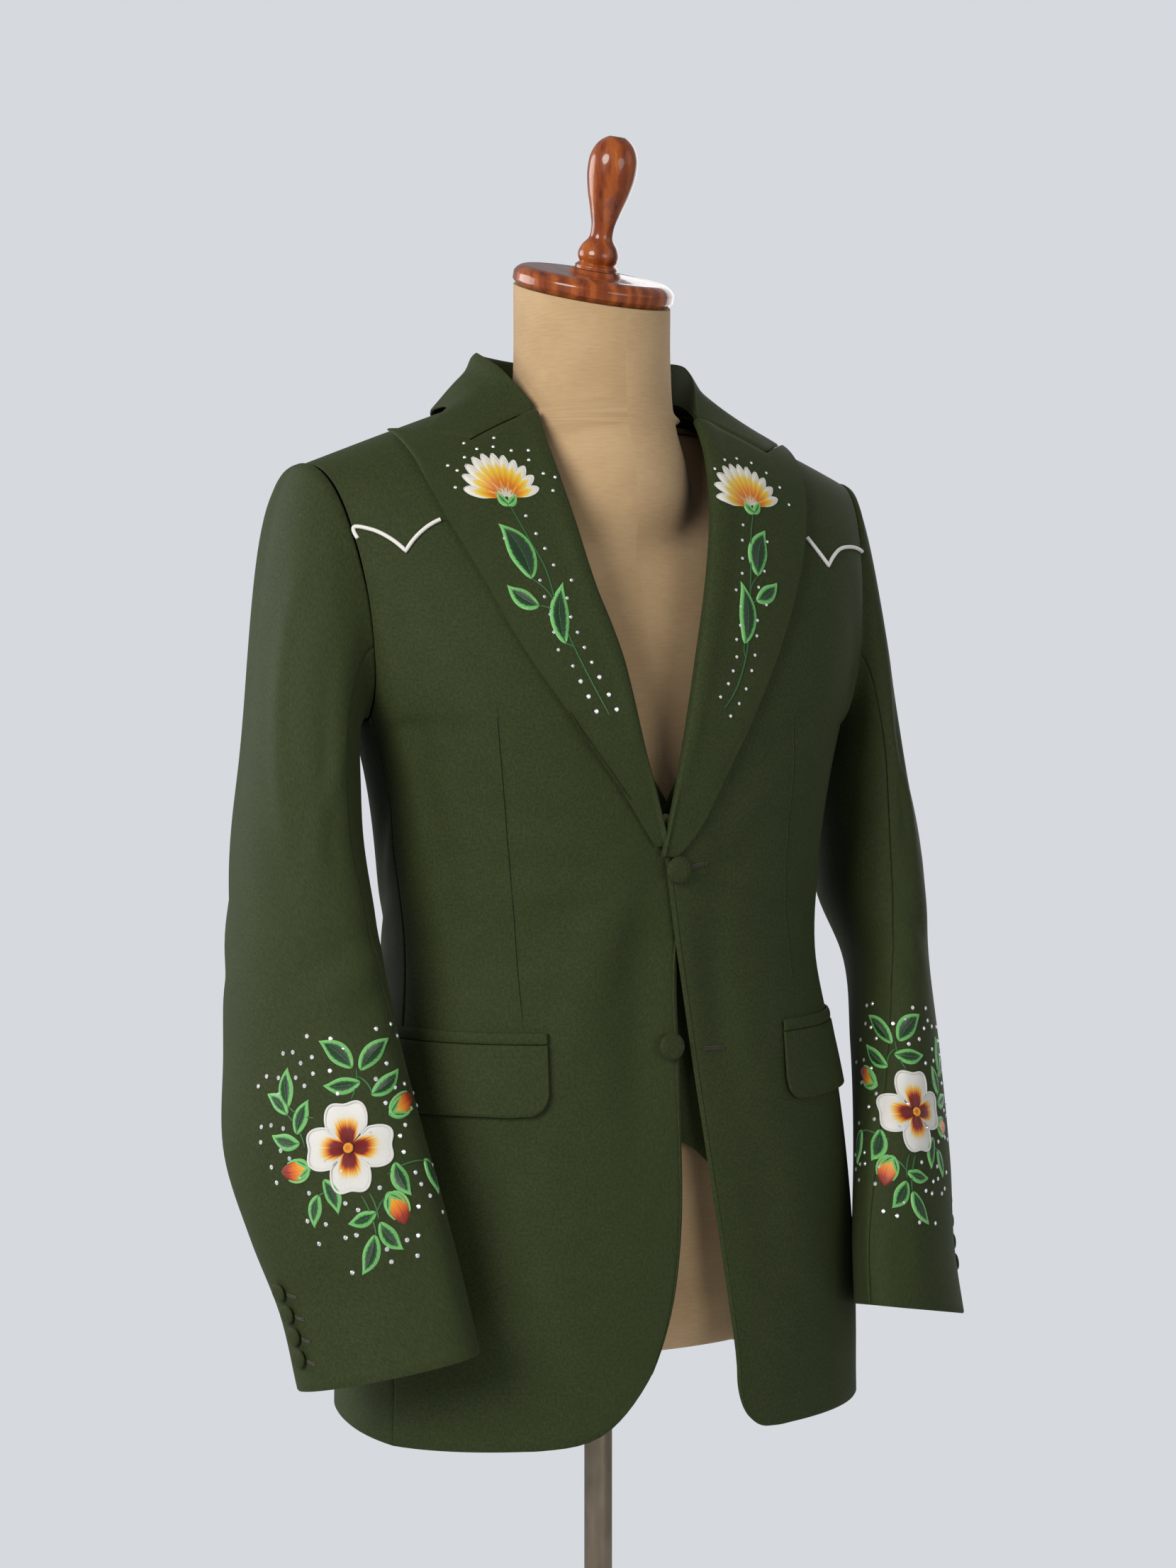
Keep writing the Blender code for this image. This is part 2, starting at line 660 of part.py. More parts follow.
def grid_normals(grid, outwards):
    """Normals of a grid of points, on the side that outwards says."""
    across, along = np.gradient(grid, axis=0), np.gradient(grid, axis=1)
    n = unit(np.cross(across, along))
    return n * np.where((n * outwards).sum(-1, keepdims=True).mean() < 0, -1, 1)


def collar_curves(count):
    """Foot of the stand, fold and outer edge of the collar, round the neck from right to left."""
    gorge = raised(gorge_nodes(-1), LAPEL_LIFT)
    start = gorge[0]
    foot = np.vstack([start + (0.0010, 0.0040, -0.0030), COLLAR_FOOT])
    fold = np.vstack([start + (0.0025, 0.0050, 0.0035), COLLAR_FOLD])
    over = np.array(COLLAR_EDGE_FRONT) * (-1, 1)
    behind = np.array(COLLAR_EDGE_BACK) * (-1, 1)
    spots = np.vstack([JACKET.spot(*over.T), JACKET.spot(*behind.T, back=True)])
    spots[:, 1] = np.minimum(spots[:, 1], SHOULDER)
    edge = np.vstack([gorge[-1], raised(spots, COLLAR_LIFT)])
    edge[-1, 0] = 0
    curves = []
    for points in (foot, fold, edge):
        half = through(points, count // 2 + 1)
        curves.append(np.vstack([half, half[:-1][::-1] * (-1, 1, 1)]))
    return curves


COLLAR_STEPS = 27
COLLAR_CROWN = 0.0022
STAND_ROWS = (0.5, 0.12)
FOLD_ROWS = ((0.0018, 0.0024), (0.0046, 0.0010))  # distance out and up from the fold
LEAF_ROWS = (0.28, 0.52, 0.77, 1.0)


def collar_points():
    """The collar's outer points: up its stand, over the fold and down the leaf."""
    foot, fold, edge = collar_curves(COLLAR_STEPS)
    stand, leaf = foot - fold, edge - fold
    aside = unit(leaf * (1, 1, 0))
    rows = [foot] + [fold + stand * f for f in STAND_ROWS]
    rows += [fold + aside * out + (0, 0, up) for out, up in FOLD_ROWS]
    for f in LEAF_ROWS:
        rows.append(fold + leaf * f + np.array((0, 0, COLLAR_CROWN)) * math.sin(math.pi * f))
    outer = np.array(rows)
    end = raised(gorge_nodes(-1) + (0, TO_SEAM), LAPEL_LIFT)
    for j, flip in ((0, 1), (COLLAR_STEPS - 1, -1)):
        outer[4:, j] = end * (flip, 1, 1)
    return outer, grid_normals(outer, np.array((0, 0, 1.0)))


class Sleeve:
    """A hanging sleeve. turn goes round from the front (0) over the outside (90) to the back (180);
    s is 0 at the armhole, 1 below the sleeve head and 2 at the wrist."""

    def __init__(self, rows, side):
        self.rows, self.side = rows, side
        self.top, self.low = rows[0][0], rows[-1][0]

    def ring(self, turn, height):
        x, y, wide, narrow, bend, tip = (smooth(self.rows, k, height) for k in range(1, 7))
        bend, tip = np.radians(bend), np.radians(tip)
        ahead = np.stack([-self.side * np.sin(bend), -np.cos(bend), np.tan(tip)], axis=-1)
        away = np.stack([self.side * np.cos(bend), -np.sin(bend), np.zeros_like(bend)], axis=-1)
        middle = np.stack([x, y, np.broadcast_to(height, np.shape(x))], axis=-1)
        wide, narrow = wide[..., None], narrow[..., None]
        return middle + ahead * wide * np.cos(turn)[..., None] + away * narrow * np.sin(turn)[..., None]

    def hole(self, turn):
        degrees = (np.degrees(turn) + 90) % 360 - 90
        back = degrees > 90
        folded = np.where(back, 180 - degrees, degrees)
        front = armhole(self.side, folded)
        rear = armhole(self.side, folded, back=True)
        where = np.where(back[:, None], rear, front)
        p, n = JACKET.at(where[:, 0], where[:, 1]), JACKET.normal(where[:, 0], where[:, 1])
        centre = np.array([self.side * 0.215, 0.008, 1.325])
        inward = centre - p
        inward -= (inward * n).sum(1, keepdims=True) * n
        return p + unit(inward) * 0.0014 - n * 0.0008

    def at(self, turn, s):
        turn, s = np.broadcast_arrays(np.asarray(turn, float), np.asarray(s, float))
        shape, turn, s = turn.shape, turn.ravel(), s.ravel()
        height = self.top + (self.low - self.top) * np.clip(s - 1, 0, 1)
        hang = self.ring(turn, height)
        start = self.hole(turn)
        under = self.ring(turn, np.full(len(turn), self.top))
        below = self.ring(turn, np.full(len(turn), self.top - 0.01))
        lift = (1 + np.sin(turn)) / 2
        spring = CAP_OUT_LOW + (CAP_OUT_TOP[self.side] - CAP_OUT_LOW) * lift**1.5
        fall = CAP_DOWN_LOW + (CAP_DOWN_TOP - CAP_DOWN_LOW) * lift
        leave = np.stack([self.side * spring, 0 * spring, 0.012 * lift**4], axis=1)
        land = unit(below - under) * fall[:, None]
        f = np.clip(s, 0, 1)[:, None]
        cap = start * (1 + 2 * f) * (1 - f) ** 2 + under * f**2 * (3 - 2 * f)
        cap += leave * f * (1 - f) ** 2 - land * f**2 * (1 - f)
        return np.where((s < 1)[:, None], cap, hang).reshape(shape + (3,))

    def normal(self, turn, s):
        step = 0.01
        round_ = self.at(turn + step, s) - self.at(turn - step, s)
        down = self.at(turn, np.minimum(s + step, 2)) - self.at(turn, np.maximum(s - step, 0))
        return unit(np.cross(down, round_)) * self.side


SLEEVES = {side: Sleeve(SLEEVE_ROWS[side], side) for side in (-1, 1)}
SLEEVE_LEVELS = np.r_[np.linspace(0, 1, 6)[:-1] ** 0.8, np.linspace(1, 2, 9)]


def flap_grid(side, low, high, rounded, count=9, rows=4):
    """Pairs of d and height for a pocket flap, with its two lower corners rounded."""
    d = np.linspace(FLAP_FROM, FLAP_TO, count)
    if rounded:
        bend = FLAP_ROUND * (1 - np.cos(np.radians((0, 45, 90))))
        d = np.r_[FLAP_FROM + bend * 0.5, np.linspace(FLAP_FROM + 0.022, FLAP_TO - 0.022, count - 4)]
        d = np.unique(np.r_[d, FLAP_TO - bend * 0.5])
    near = np.minimum(d - FLAP_FROM, FLAP_TO - d)
    curl = np.clip(1 - near / FLAP_ROUND, 0, 1)
    bottom = low + FLAP_ROUND * (1 - np.sqrt(1 - curl**2)) * rounded
    height = bottom[:, None] + (high - bottom)[:, None] * np.linspace(0, 1, rows)
    span = JACKET.armpit - JACKET.hem
    where = np.stack([np.broadcast_to(d[:, None], height.shape) * side, (height - JACKET.hem) / span], axis=-1)
    return where, height


def piping_path(side):
    """(d, t) along the part of the yoke seam that the lapel leaves bare."""
    line = yoke_line(side, 0.0)
    start = abs(smooth(LAPEL_EDGE[side], 1, YOKE_LINE[side][3][1])) + PIPING_CLEAR
    line[-1, 0] -= side * PIPING_CLEAR / 2
    corners = JACKET.at(line[:, 0], line[:, 1])
    keep = np.abs(corners[:, 0]) > start
    first = JACKET.spot(side * start, YOKE_LINE[side][3][1])
    return np.vstack([first, line[keep]])


def vest_front_grid(side):
    centre = -side * VEST_LAP
    heights = np.linspace(VEST_NOTCH, VEST_NECK[0][0], 7)
    lower = VEST.spot(np.full(7, centre), heights)
    lower[:, 0] = centre
    upper = np.linspace(VEST_NECK[0][0], VEST_NECK[-1][0], 7)[1:]
    neck = VEST.spot(side * smooth(VEST_NECK, 1, upper), upper)
    first = np.vstack([lower, neck, [[side * VEST_NECK_X, VEST_TOP]]])
    last = vest_side(side, VEST_HOLE_FRONT, -SEAM)
    d = -VEST_LAP + (abs(last[0, 0]) + VEST_LAP) * VEST_ACROSS
    low = VEST.spot(side * d, np.interp(np.abs(d), *np.array(VEST_HEM).T))
    low[:, 0] = side * d
    low[0], low[-1] = first[0], last[0]
    strap = side * (VEST_NECK_X + (VEST_TIP_X - VEST_NECK_X) * VEST_ACROSS)
    high = np.column_stack([strap, np.full(len(strap), VEST_TOP)])
    last[-1], first[-1] = high[-1], high[0]
    where = coons(low, high, first, last, VEST_ACROSS)
    p = VEST.at(where[..., 0], where[..., 1])
    lap = np.exp(-((p[..., 0] / 0.022) ** 4)) * np.clip((1.20 - p[..., 2]) / 0.02, 0, 1)
    return where, LAP * lap * (side > 0)


def vest_side(side, hole_rows, shift):
    """(d, t) up the waistcoat's side seam and round its armhole."""
    levels = np.linspace((VEST_SIDE_HEM - VEST.hem) / (VEST.armpit - VEST.hem), 1.0, 8)
    below = np.column_stack([side * (smooth(VEST_SIDE_SEAM, 1, levels) + shift), levels])
    levels = np.linspace(1.0, VEST_TOP, 7)[1:]
    return np.vstack([below, np.column_stack([side * smooth(hole_rows, 1, levels), levels])])


def vest_back_grid():
    """(d, t) of the left half of the waistcoat's back, from its side to the centre back."""
    full = np.interp(VEST_TOP, VEST.levels, VEST.along[:, -1])
    left = vest_side(1, VEST_HOLE_BACK + ((VEST_TOP, full - VEST_TIP_X),), SEAM)
    x = np.array([VEST_TIP_X, (VEST_TIP_X + VEST_NECK_X) / 2, VEST_NECK_X])
    strap = np.column_stack([full - x, np.full(3, VEST_TOP)])
    rim = VEST.spot(*np.array(VEST_BACK_NECK).T, back=True)
    high = np.vstack([strap, rim])
    levels = np.linspace(left[0, 1], high[-1, 1], len(left))
    centre = np.column_stack([np.interp(levels, VEST.levels, VEST.along[:, -1]), levels])
    low = left[0] + (centre[0] - left[0]) * np.linspace(0, 1, len(high))[:, None]
    return coons(low, high, left, centre)


def section(z, turns):
    """The form's outline at a height, seen from above: shoulders and neck run into each other."""
    width, front, back, middle, square = (smooth(FORM_RINGS, k, z) for k in range(1, 6))
    fine = np.linspace(0, 2 * np.pi, 721)
    c, s = np.cos(fine), np.sin(fine)
    x = width * np.sign(s) * np.abs(s) ** (2 / square)
    y = middle - np.where(c > 0, front, back) * np.sign(c) * np.abs(c) ** (2 / square)
    hub = np.array([NECK_X * np.clip((z - 1.36) / 0.1, 0, 1), middle * 0.5])
    angle = np.unwrap(np.arctan2(x - hub[0], hub[1] - y))
    reach = np.interp(turns, angle, np.hypot(x - hub[0], y - hub[1]), period=2 * np.pi)
    neck = smooth(FORM_NECK, 1, z)
    off = hub - (NECK_X, 0)
    ahead = np.stack([np.sin(turns), -np.cos(turns)], axis=1)
    along = ahead @ off
    round_neck = -along + np.sqrt(np.maximum(along**2 - off @ off + neck**2, 1e-9))
    if z > FORM_RINGS[-1][0]:
        reach = 0 * reach
    power = 28
    reach = (reach**power + round_neck**power) ** (1 / power)
    return hub + ahead * reach[:, None]


TORSO_LEVELS = np.r_[
    0.766, 0.776, np.linspace(0.800, 1.345, 12), 1.38, 1.41, 1.430, 1.445, 1.455,
    1.4632, 1.4692, 1.4747, 1.483, 1.50, 1.53, NECK_TOP,
]
LEAN_FROM = 1.50


def neck_lean(x, y, z):
    """The neck's top is cut to a slope: how far a point there moves up."""
    share = max(z - LEAN_FROM, 0) / (NECK_TOP - LEAN_FROM)
    return share * (y * math.tan(NECK_TIP_FORWARD) - (x - NECK_X) * math.tan(NECK_TIP_SIDE))


def button_profile(radius, thick):
    """A cloth-covered button: a low dome over a rim that is drawn in underneath."""
    return (
        (radius * 0.78, 0.0),
        (radius * 0.97, thick * 0.22),
        (radius, thick * 0.45),
        (radius * 0.90, thick * 0.75),
        (radius * 0.62, thick * 0.94),
        (radius * 0.28, thick),
    )


def cuff_button_spot(side, i):
    """Turn and s of a cuff button, counted up from the wrist."""
    z = CUFF_BUTTON_LOW[side] + i * CUFF_BUTTON_STEP
    sleeve = SLEEVES[side]
    return np.radians(float(CUFF_BUTTON_TURN)), 1 + (sleeve.top - z) / (sleeve.top - sleeve.low)


def look(name, colour, roughness, metallic=0.0):
    material = bpy.data.materials.new(name)
    material.use_nodes = True
    shader = material.node_tree.nodes["Principled BSDF"]
    shader.inputs["Base Color"].default_value = (*colour, 1)
    shader.inputs["Roughness"].default_value = roughness
    shader.inputs["Metallic"].default_value = metallic
    return material


CLOTH = look("green_suiting", (0.040, 0.050, 0.020), 0.85)
CORD = look("white_piping", (0.80, 0.78, 0.72), 0.6)
COVERED = look("covered_button", (0.040, 0.050, 0.020), 0.8)
LINEN = look("form_linen", (0.52, 0.38, 0.22), 0.9)
WOOD = look("polished_wood", (0.20, 0.055, 0.015), 0.22)
STEEL = look("brushed_steel", (0.34, 0.30, 0.26), 0.35, 1.0)
IRON = look("painted_iron", (0.05, 0.045, 0.04), 0.5, 0.6)


def add_object(name, verts, faces, material, smooth_angle=40):
    mesh = bpy.data.meshes.new(name)
    mesh.from_pydata([tuple(v) for v in verts], [], faces)
    mesh.materials.append(material)
    mesh.update()
    mesh.shade_smooth()
    mesh.set_sharp_from_angle(angle=math.radians(smooth_angle))
    piece = bpy.data.objects.new(name, mesh)
    bpy.context.scene.collection.objects.link(piece)
    return piece


def signed_volume(verts, faces):
    verts = np.asarray(verts)
    total = 0.0
    for face in faces:
        for i in range(1, len(face) - 1):
            total += np.linalg.det(verts[[face[0], face[i], face[i + 1]]])
    return total / 6


def cloth(name, outer, inner, material=CLOTH, proud=False):
    """A closed wall between two grids of points, with a rim on all four sides.

    Each four-cornered cell is split along the diagonal that lies deeper, or along the one
    that stands higher for a proud piece, so that a piece laid on another stays clear of it.
    """
    nu, nv = outer.shape[:2]
    verts = np.vstack([outer.reshape(-1, 3), inner.reshape(-1, 3)])
    back = nu * nv

    def index(i, j):
        return i * nv + j

    faces = []
    for i in range(nu - 1):
        for j in range(nv - 1):
            quad = (index(i, j), index(i + 1, j), index(i + 1, j + 1), index(i, j + 1))
            for far, step in ((0, 1), (back, -1)):
                a, b, c, d = (far + k for k in quad)
                outwards = verts[quad[0]] - verts[back + quad[0]]
                high = ((verts[a] + verts[c]) - (verts[b] + verts[d])) @ outwards > 0
                split = ((a, b, c), (a, c, d)) if high == proud else ((a, b, d), (b, c, d))
                faces += [triangle[::step] for triangle in split]
    border = [(i, 0) for i in range(nu)] + [(nu - 1, j) for j in range(1, nv)]
    border += [(i, nv - 1) for i in range(nu - 2, -1, -1)] + [(0, j) for j in range(nv - 2, 0, -1)]
    for a, b in zip(border, border[1:] + border[:1]):
        one, two = index(*a), index(*b)
        faces.append((two, one, back + one, back + two))
    if signed_volume(verts, faces) < 0:
        faces = [tuple(reversed(face)) for face in faces]
    return add_object(name, verts, faces, material)


def panel(name, skin, where, out=0.0, wall=WALL, proud=False):
    """A wall of cloth on a skin, from a grid of (d, t)."""
    d, t = where[..., 0], where[..., 1]
    p, n = skin.at(d, t), skin.normal(d, t)
    out = np.broadcast_to(out, d.shape)[..., None]
    return cloth(name, p + n * out, p + n * (out - wall), proud=proud)


def make_body(side):
    name = NAMES[side]
    panel("jacket_front_" + name, JACKET, *front_grid(side))
    panel("front_yoke_" + name, JACKET, yoke_grid(side))
    panel("jacket_side_" + name, JACKET, side_grid(side))
    panel("jacket_back_" + name, JACKET, back_grid(side))
    outer, n = lapel_points(side, *lapel_grid(side))
    cloth("lapel_" + name, outer, outer - n * LAPEL_WALL, proud=True)


def make_collar():
    outer, n = collar_points()
    cloth("jacket_collar", outer, outer - n * LAPEL_WALL, proud=True)


def make_sleeve(side):
    sleeve = SLEEVES[side]
    spread = math.degrees(SEAM / 0.035)
    parts = (
        ("_top", FRONT_SLEEVE_SEAM, BACK_SLEEVE_SEAM),
        ("_under", BACK_SLEEVE_SEAM, FRONT_SLEEVE_SEAM + 360),
    )
    for tail, start, stop in parts:
        degrees = np.arange(start, stop + 1.0, ARMHOLE_STEP)
        degrees[0] += spread
        degrees[-1] -= spread
        turn, s = np.meshgrid(np.radians(degrees), SLEEVE_LEVELS, indexing="ij")
        p, n = sleeve.at(turn, s), sleeve.normal(turn, s)
        cloth("sleeve_" + NAMES[side] + tail, p, p - n * WALL)


def make_pocket(side):
    where, height = flap_grid(side, FLAP_LOW, FLAP_TOP, True)
    out = 0.0030 + 0.0022 * (FLAP_TOP - height) / (FLAP_TOP - FLAP_LOW)
    panel("pocket_flap_" + NAMES[side], JACKET, where, out, 0.0020, proud=True)
    where, height = flap_grid(side, FLAP_TOP + GAP, FLAP_TOP + WELT_TALL, False, rows=2)
    panel("pocket_welt_" + NAMES[side], JACKET, where, 0.0024, 0.0016, proud=True)


def tube(name, path, radius, sides, material):
    """A round cord along a path, with flat ends."""
    along = unit(np.gradient(path, axis=0))
    up = np.array([0, 0, 1.0])
    one = unit(np.cross(along, up))
    two = np.cross(along, one)
    turns = np.linspace(0, 2 * np.pi, sides, endpoint=False)
    rings = path[:, None] + radius * (
        np.cos(turns)[None, :, None] * one[:, None] + np.sin(turns)[None, :, None] * two[:, None]
    )
    verts = rings.reshape(-1, 3)
    faces = []
    for i in range(len(path) - 1):
        for j in range(sides):
            k = (j + 1) % sides
            faces.append((i * sides + j, i * sides + k, (i + 1) * sides + k, (i + 1) * sides + j))
    faces.append(tuple(range(sides - 1, -1, -1)))
    faces.append(tuple(range((len(path) - 1) * sides, len(path) * sides)))
    if signed_volume(verts, faces) < 0:
        faces = [tuple(reversed(face)) for face in faces]
    return add_object(name, verts, faces, material)


def make_piping(side):
    line = piping_path(side)
    fine = [line[0]]
    for a, b in zip(line[:-1], line[1:]):
        fine += [a + (b - a) * f for f in (0.5, 1.0)]
    fine = np.array(fine)
    p, n = JACKET.at(fine[:, 0], fine[:, 1]), JACKET.normal(fine[:, 0], fine[:, 1])
    tube("yoke_piping_" + NAMES[side], p + n * (PIPING_RADIUS + 0.0004), PIPING_RADIUS, 6, CORD)


def turned(name, profile, sides, material, place=(0, 0, 0), tip=(0, 0)):
    """A solid turned about an axis: rows of radius and height, from the lower middle to the upper."""
    rings = [row for row in profile if row[0] > 0]
    turns = np.linspace(0, 2 * np.pi, sides, endpoint=False)
    verts = [(r * math.cos(a), r * math.sin(a), h) for r, h in rings for a in turns]
    faces = []
    for i in range(len(rings) - 1):
        for j in range(sides):
            k = (j + 1) % sides
            faces.append((i * sides + j, i * sides + k, (i + 1) * sides + k, (i + 1) * sides + j))
    faces.append(tuple(range(sides - 1, -1, -1)))
    faces.append(tuple(range((len(rings) - 1) * sides, len(rings) * sides)))
    piece = add_object(name, verts, faces, material)
    piece.location = place
    piece.rotation_euler = (tip[0], tip[1], 0)
    return piece


def facing(piece, place, normal):
    """Puts a turned piece on a surface, its axis along the normal."""
    n = unit(np.asarray(normal, float))
    piece.location = tuple(place)
    piece.rotation_euler = (math.acos(max(-1, min(1, n[2]))), 0, math.atan2(n[0], -n[1]))


def make_buttons():
    profile = button_profile(FRONT_BUTTON_RADIUS, FRONT_BUTTON_THICK)
    for i, (x, z) in enumerate(FRONT_BUTTONS):
        where = JACKET.spot(x, z)
        p, n = JACKET.at(*where), JACKET.normal(*where)
        out = LAP + 0.0008 if i == 0 else 0.0006
        facing(turned(f"front_button_{i + 1}", profile, 18, COVERED), p + n * out, n)
    profile = button_profile(CUFF_BUTTON_RADIUS, CUFF_BUTTON_THICK)
    for side, sleeve in SLEEVES.items():
        for i in range(4):
            where = cuff_button_spot(side, i)
            p, n = sleeve.at(*where), sleeve.normal(*where)
            button = turned(f"cuff_button_{NAMES[side]}_{i + 1}", profile, 10, COVERED)
            facing(button, p + n * 0.0008, n)
    profile = button_profile(VEST_BUTTON_RADIUS, CUFF_BUTTON_THICK)
    for i, z in enumerate(VEST_BUTTONS):
        where = VEST.spot(0.0, z)
        p, n = VEST.at(*where), VEST.normal(*where)
        facing(turned(f"vest_button_{i + 1}", profile, 10, COVERED), p + n * (LAP + 0.0004), n)


def make_vest():
    for side in (-1, 1):
        panel("vest_front_" + NAMES[side], VEST, *vest_front_grid(side))
    where = vest_back_grid()
    p, n = VEST.at(where[..., 0], where[..., 1]), VEST.normal(where[..., 0], where[..., 1])
    n[-1, :, 0] = 0
    inner = p - unit(n) * WALL
    flip = np.array([-1, 1, 1])
    whole = (np.vstack([half, half[:-1][::-1] * flip]) for half in (p, inner))
    cloth("vest_back", *whole)


def make_torso():
    sides = 40
    turns = np.linspace(0, 2 * np.pi, sides, endpoint=False)
    verts = []
    for z in TORSO_LEVELS:
        x, y = section(z, turns).T
        verts += list(np.column_stack([x, y, z + neck_lean(x, y, z)]))
    faces = []
    for i in range(len(TORSO_LEVELS) - 1):
        for j in range(sides):
            k = (j + 1) % sides
            faces.append((i * sides + j, i * sides + k, (i + 1) * sides + k, (i + 1) * sides + j))
    faces.append(tuple(range(sides - 1, -1, -1)))
    faces.append(tuple(range((len(TORSO_LEVELS) - 1) * sides, len(TORSO_LEVELS) * sides)))
    add_object("form_torso", verts, faces, LINEN)


def make_stand():
    tip = (NECK_TIP_FORWARD, NECK_TIP_SIDE)
    up = np.array([math.sin(NECK_TIP_SIDE), -math.sin(NECK_TIP_FORWARD), 0])
    up[2] = math.sqrt(1 - up @ up)
    foot = np.array([NECK_X, 0, NECK_TOP]) + up * GAP
    turned("form_neck_cap", CAP_PROFILE, 32, WOOD, foot, tip)
    turned("form_finial", KNOB_PROFILE, 18, WOOD, foot + up * (CAP_PROFILE[-1][1] + GAP), tip)
    turned("stand_base", BASE_PROFILE, 40, IRON)
    pole = ((POLE_RADIUS, POLE_FOOT + GAP), (POLE_RADIUS, FORM_RINGS[0][0] - GAP))
    turned("stand_pole", pole, 20, STEEL)


def centre_on_box():
    """Moves everything so that the origin is the middle of the whole box, on the floor."""
    bpy.context.view_layer.update()
    corners = []
    for piece in bpy.context.scene.collection.objects:
        matrix = np.array(piece.matrix_world)
        points = np.array([tuple(v.co) for v in piece.data.vertices])
        corners.append(points @ matrix[:3, :3].T + matrix[:3, 3])
    points = np.vstack(corners)
    middle = (points.min(0) + points.max(0)) / 2
    for piece in bpy.context.scene.collection.objects:
        piece.location.x -= middle[0]
        piece.location.y -= middle[1]


def main():
    for side in (-1, 1):
        make_body(side)
        make_sleeve(side)
        make_pocket(side)
        make_piping(side)
    make_collar()
    make_buttons()
    make_vest()
    make_torso()
    make_stand()
    centre_on_box()


main()
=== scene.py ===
"""Looks of the western suit on its dress form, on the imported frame.

The fine surfaces come from the same tables and surface functions as the solids. Every cloth
piece is a thin shell with its own creases, seams and lining, and embroidery, rhinestones,
buttonholes and darts are separate pieces laid on those shells.
"""

import math

import bmesh
import bpy
import numpy as np
from mathutils import Euler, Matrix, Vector
from mathutils.bvhtree import BVHTree


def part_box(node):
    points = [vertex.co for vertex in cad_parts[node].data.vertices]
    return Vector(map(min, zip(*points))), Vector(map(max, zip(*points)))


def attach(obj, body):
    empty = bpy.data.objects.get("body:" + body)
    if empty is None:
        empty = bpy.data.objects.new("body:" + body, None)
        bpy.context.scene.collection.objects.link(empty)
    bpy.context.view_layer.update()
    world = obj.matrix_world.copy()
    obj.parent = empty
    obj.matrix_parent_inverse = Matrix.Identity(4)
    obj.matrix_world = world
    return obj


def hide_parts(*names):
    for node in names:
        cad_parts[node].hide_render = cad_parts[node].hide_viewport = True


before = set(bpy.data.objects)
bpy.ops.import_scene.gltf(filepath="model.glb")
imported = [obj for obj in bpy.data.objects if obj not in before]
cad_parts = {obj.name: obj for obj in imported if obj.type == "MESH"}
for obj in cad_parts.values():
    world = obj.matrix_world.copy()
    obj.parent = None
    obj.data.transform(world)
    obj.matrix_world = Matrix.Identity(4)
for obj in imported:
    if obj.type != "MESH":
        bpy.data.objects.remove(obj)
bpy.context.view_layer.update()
POLE_LOW, POLE_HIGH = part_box("stand_pole")
SHIFT = ((POLE_LOW.x + POLE_HIGH.x) / 2, (POLE_LOW.y + POLE_HIGH.y) / 2, 0.0)  # of the pole's axis

# Cloth, as real sizes in metres.
WALL = 0.0016  # a panel of suiting with its fused canvas
LAPEL_WALL = 0.0022  # a lapel or the collar, which are doubled
NAMES = {-1: "right", 1: "left"}
SEAM = 0.00003  # half of the gap between two panels that are sewn together
LAP = 0.0032  # how far the left front lies over the right at the button
LAP_WIDTH = 0.034  # how far the lap reaches to both sides

# The shoulder line: its height falls away from the neck.
RIDGE_TOP = 1.522
RIDGE_FALL = 0.41  # metres down for each one outwards
RIDGE_SOFT = 0.06  # how softly its two halves meet
RIDGE_Y = 0.035  # how far it lies behind the middle
JACKET_TOP_WIDTH = 0.250  # half widths on the shoulder line
VEST_TOP_WIDTH = 0.160
VEST_BELOW_JACKET = 0.0024

# Rings of the body: half width, and depth to the front and to the back of the middle.
JACKET_RINGS = (
    # height, half_width, front, back, middle, squareness
    (0.710, 0.209, 0.148, 0.140, 0.000, 2.20),
    (0.800, 0.206, 0.147, 0.138, 0.000, 2.20),
    (0.900, 0.197, 0.142, 0.132, 0.000, 2.20),
    (1.000, 0.183, 0.136, 0.124, 0.000, 2.20),
    (1.060, 0.1715, 0.132, 0.118, 0.000, 2.20),
    (1.120, 0.174, 0.133, 0.119, 0.000, 2.20),
    (1.200, 0.184, 0.137, 0.125, 0.000, 2.25),
    (1.235, 0.192, 0.138, 0.128, 0.002, 2.30),
)
VEST_RINGS = (
    (0.895, 0.179, 0.124, 0.121, 0.000, 2.20),
    (0.960, 0.168, 0.121, 0.116, 0.000, 2.20),
    (1.050, 0.156, 0.117, 0.108, 0.000, 2.20),
    (1.120, 0.159, 0.118, 0.110, 0.000, 2.20),
    (1.175, 0.166, 0.120, 0.114, 0.002, 2.20),
)
FORM_RINGS = (
    (0.766, 0.152, 0.100, 0.100, 0.000, 2.10),
    (0.776, 0.161, 0.108, 0.108, 0.000, 2.10),
    (0.830, 0.170, 0.115, 0.114, 0.000, 2.10),
    (0.900, 0.171, 0.116, 0.114, 0.000, 2.10),
    (0.980, 0.156, 0.112, 0.106, 0.000, 2.10),
    (1.050, 0.147, 0.109, 0.100, 0.000, 2.10),
    (1.120, 0.149, 0.110, 0.101, 0.000, 2.10),
    (1.200, 0.153, 0.111, 0.104, 0.004, 2.10),
    (1.280, 0.152, 0.102, 0.097, 0.010, 2.10),
    (1.340, 0.149, 0.090, 0.086, 0.016, 2.10),
    (1.390, 0.147, 0.072, 0.070, 0.024, 2.00),
    (1.425, 0.143, 0.050, 0.050, 0.030, 2.00),
    (1.445, 0.137, 0.034, 0.034, 0.034, 2.00),
    (1.4560, 0.122, 0.020, 0.020, 0.035, 2.00),
    (1.4632, 0.098, 0.012, 0.012, 0.035, 2.00),
    (1.4692, 0.072, 0.008, 0.008, 0.035, 2.00),
    (1.4750, 0.050, 0.006, 0.006, 0.030, 2.00),
)
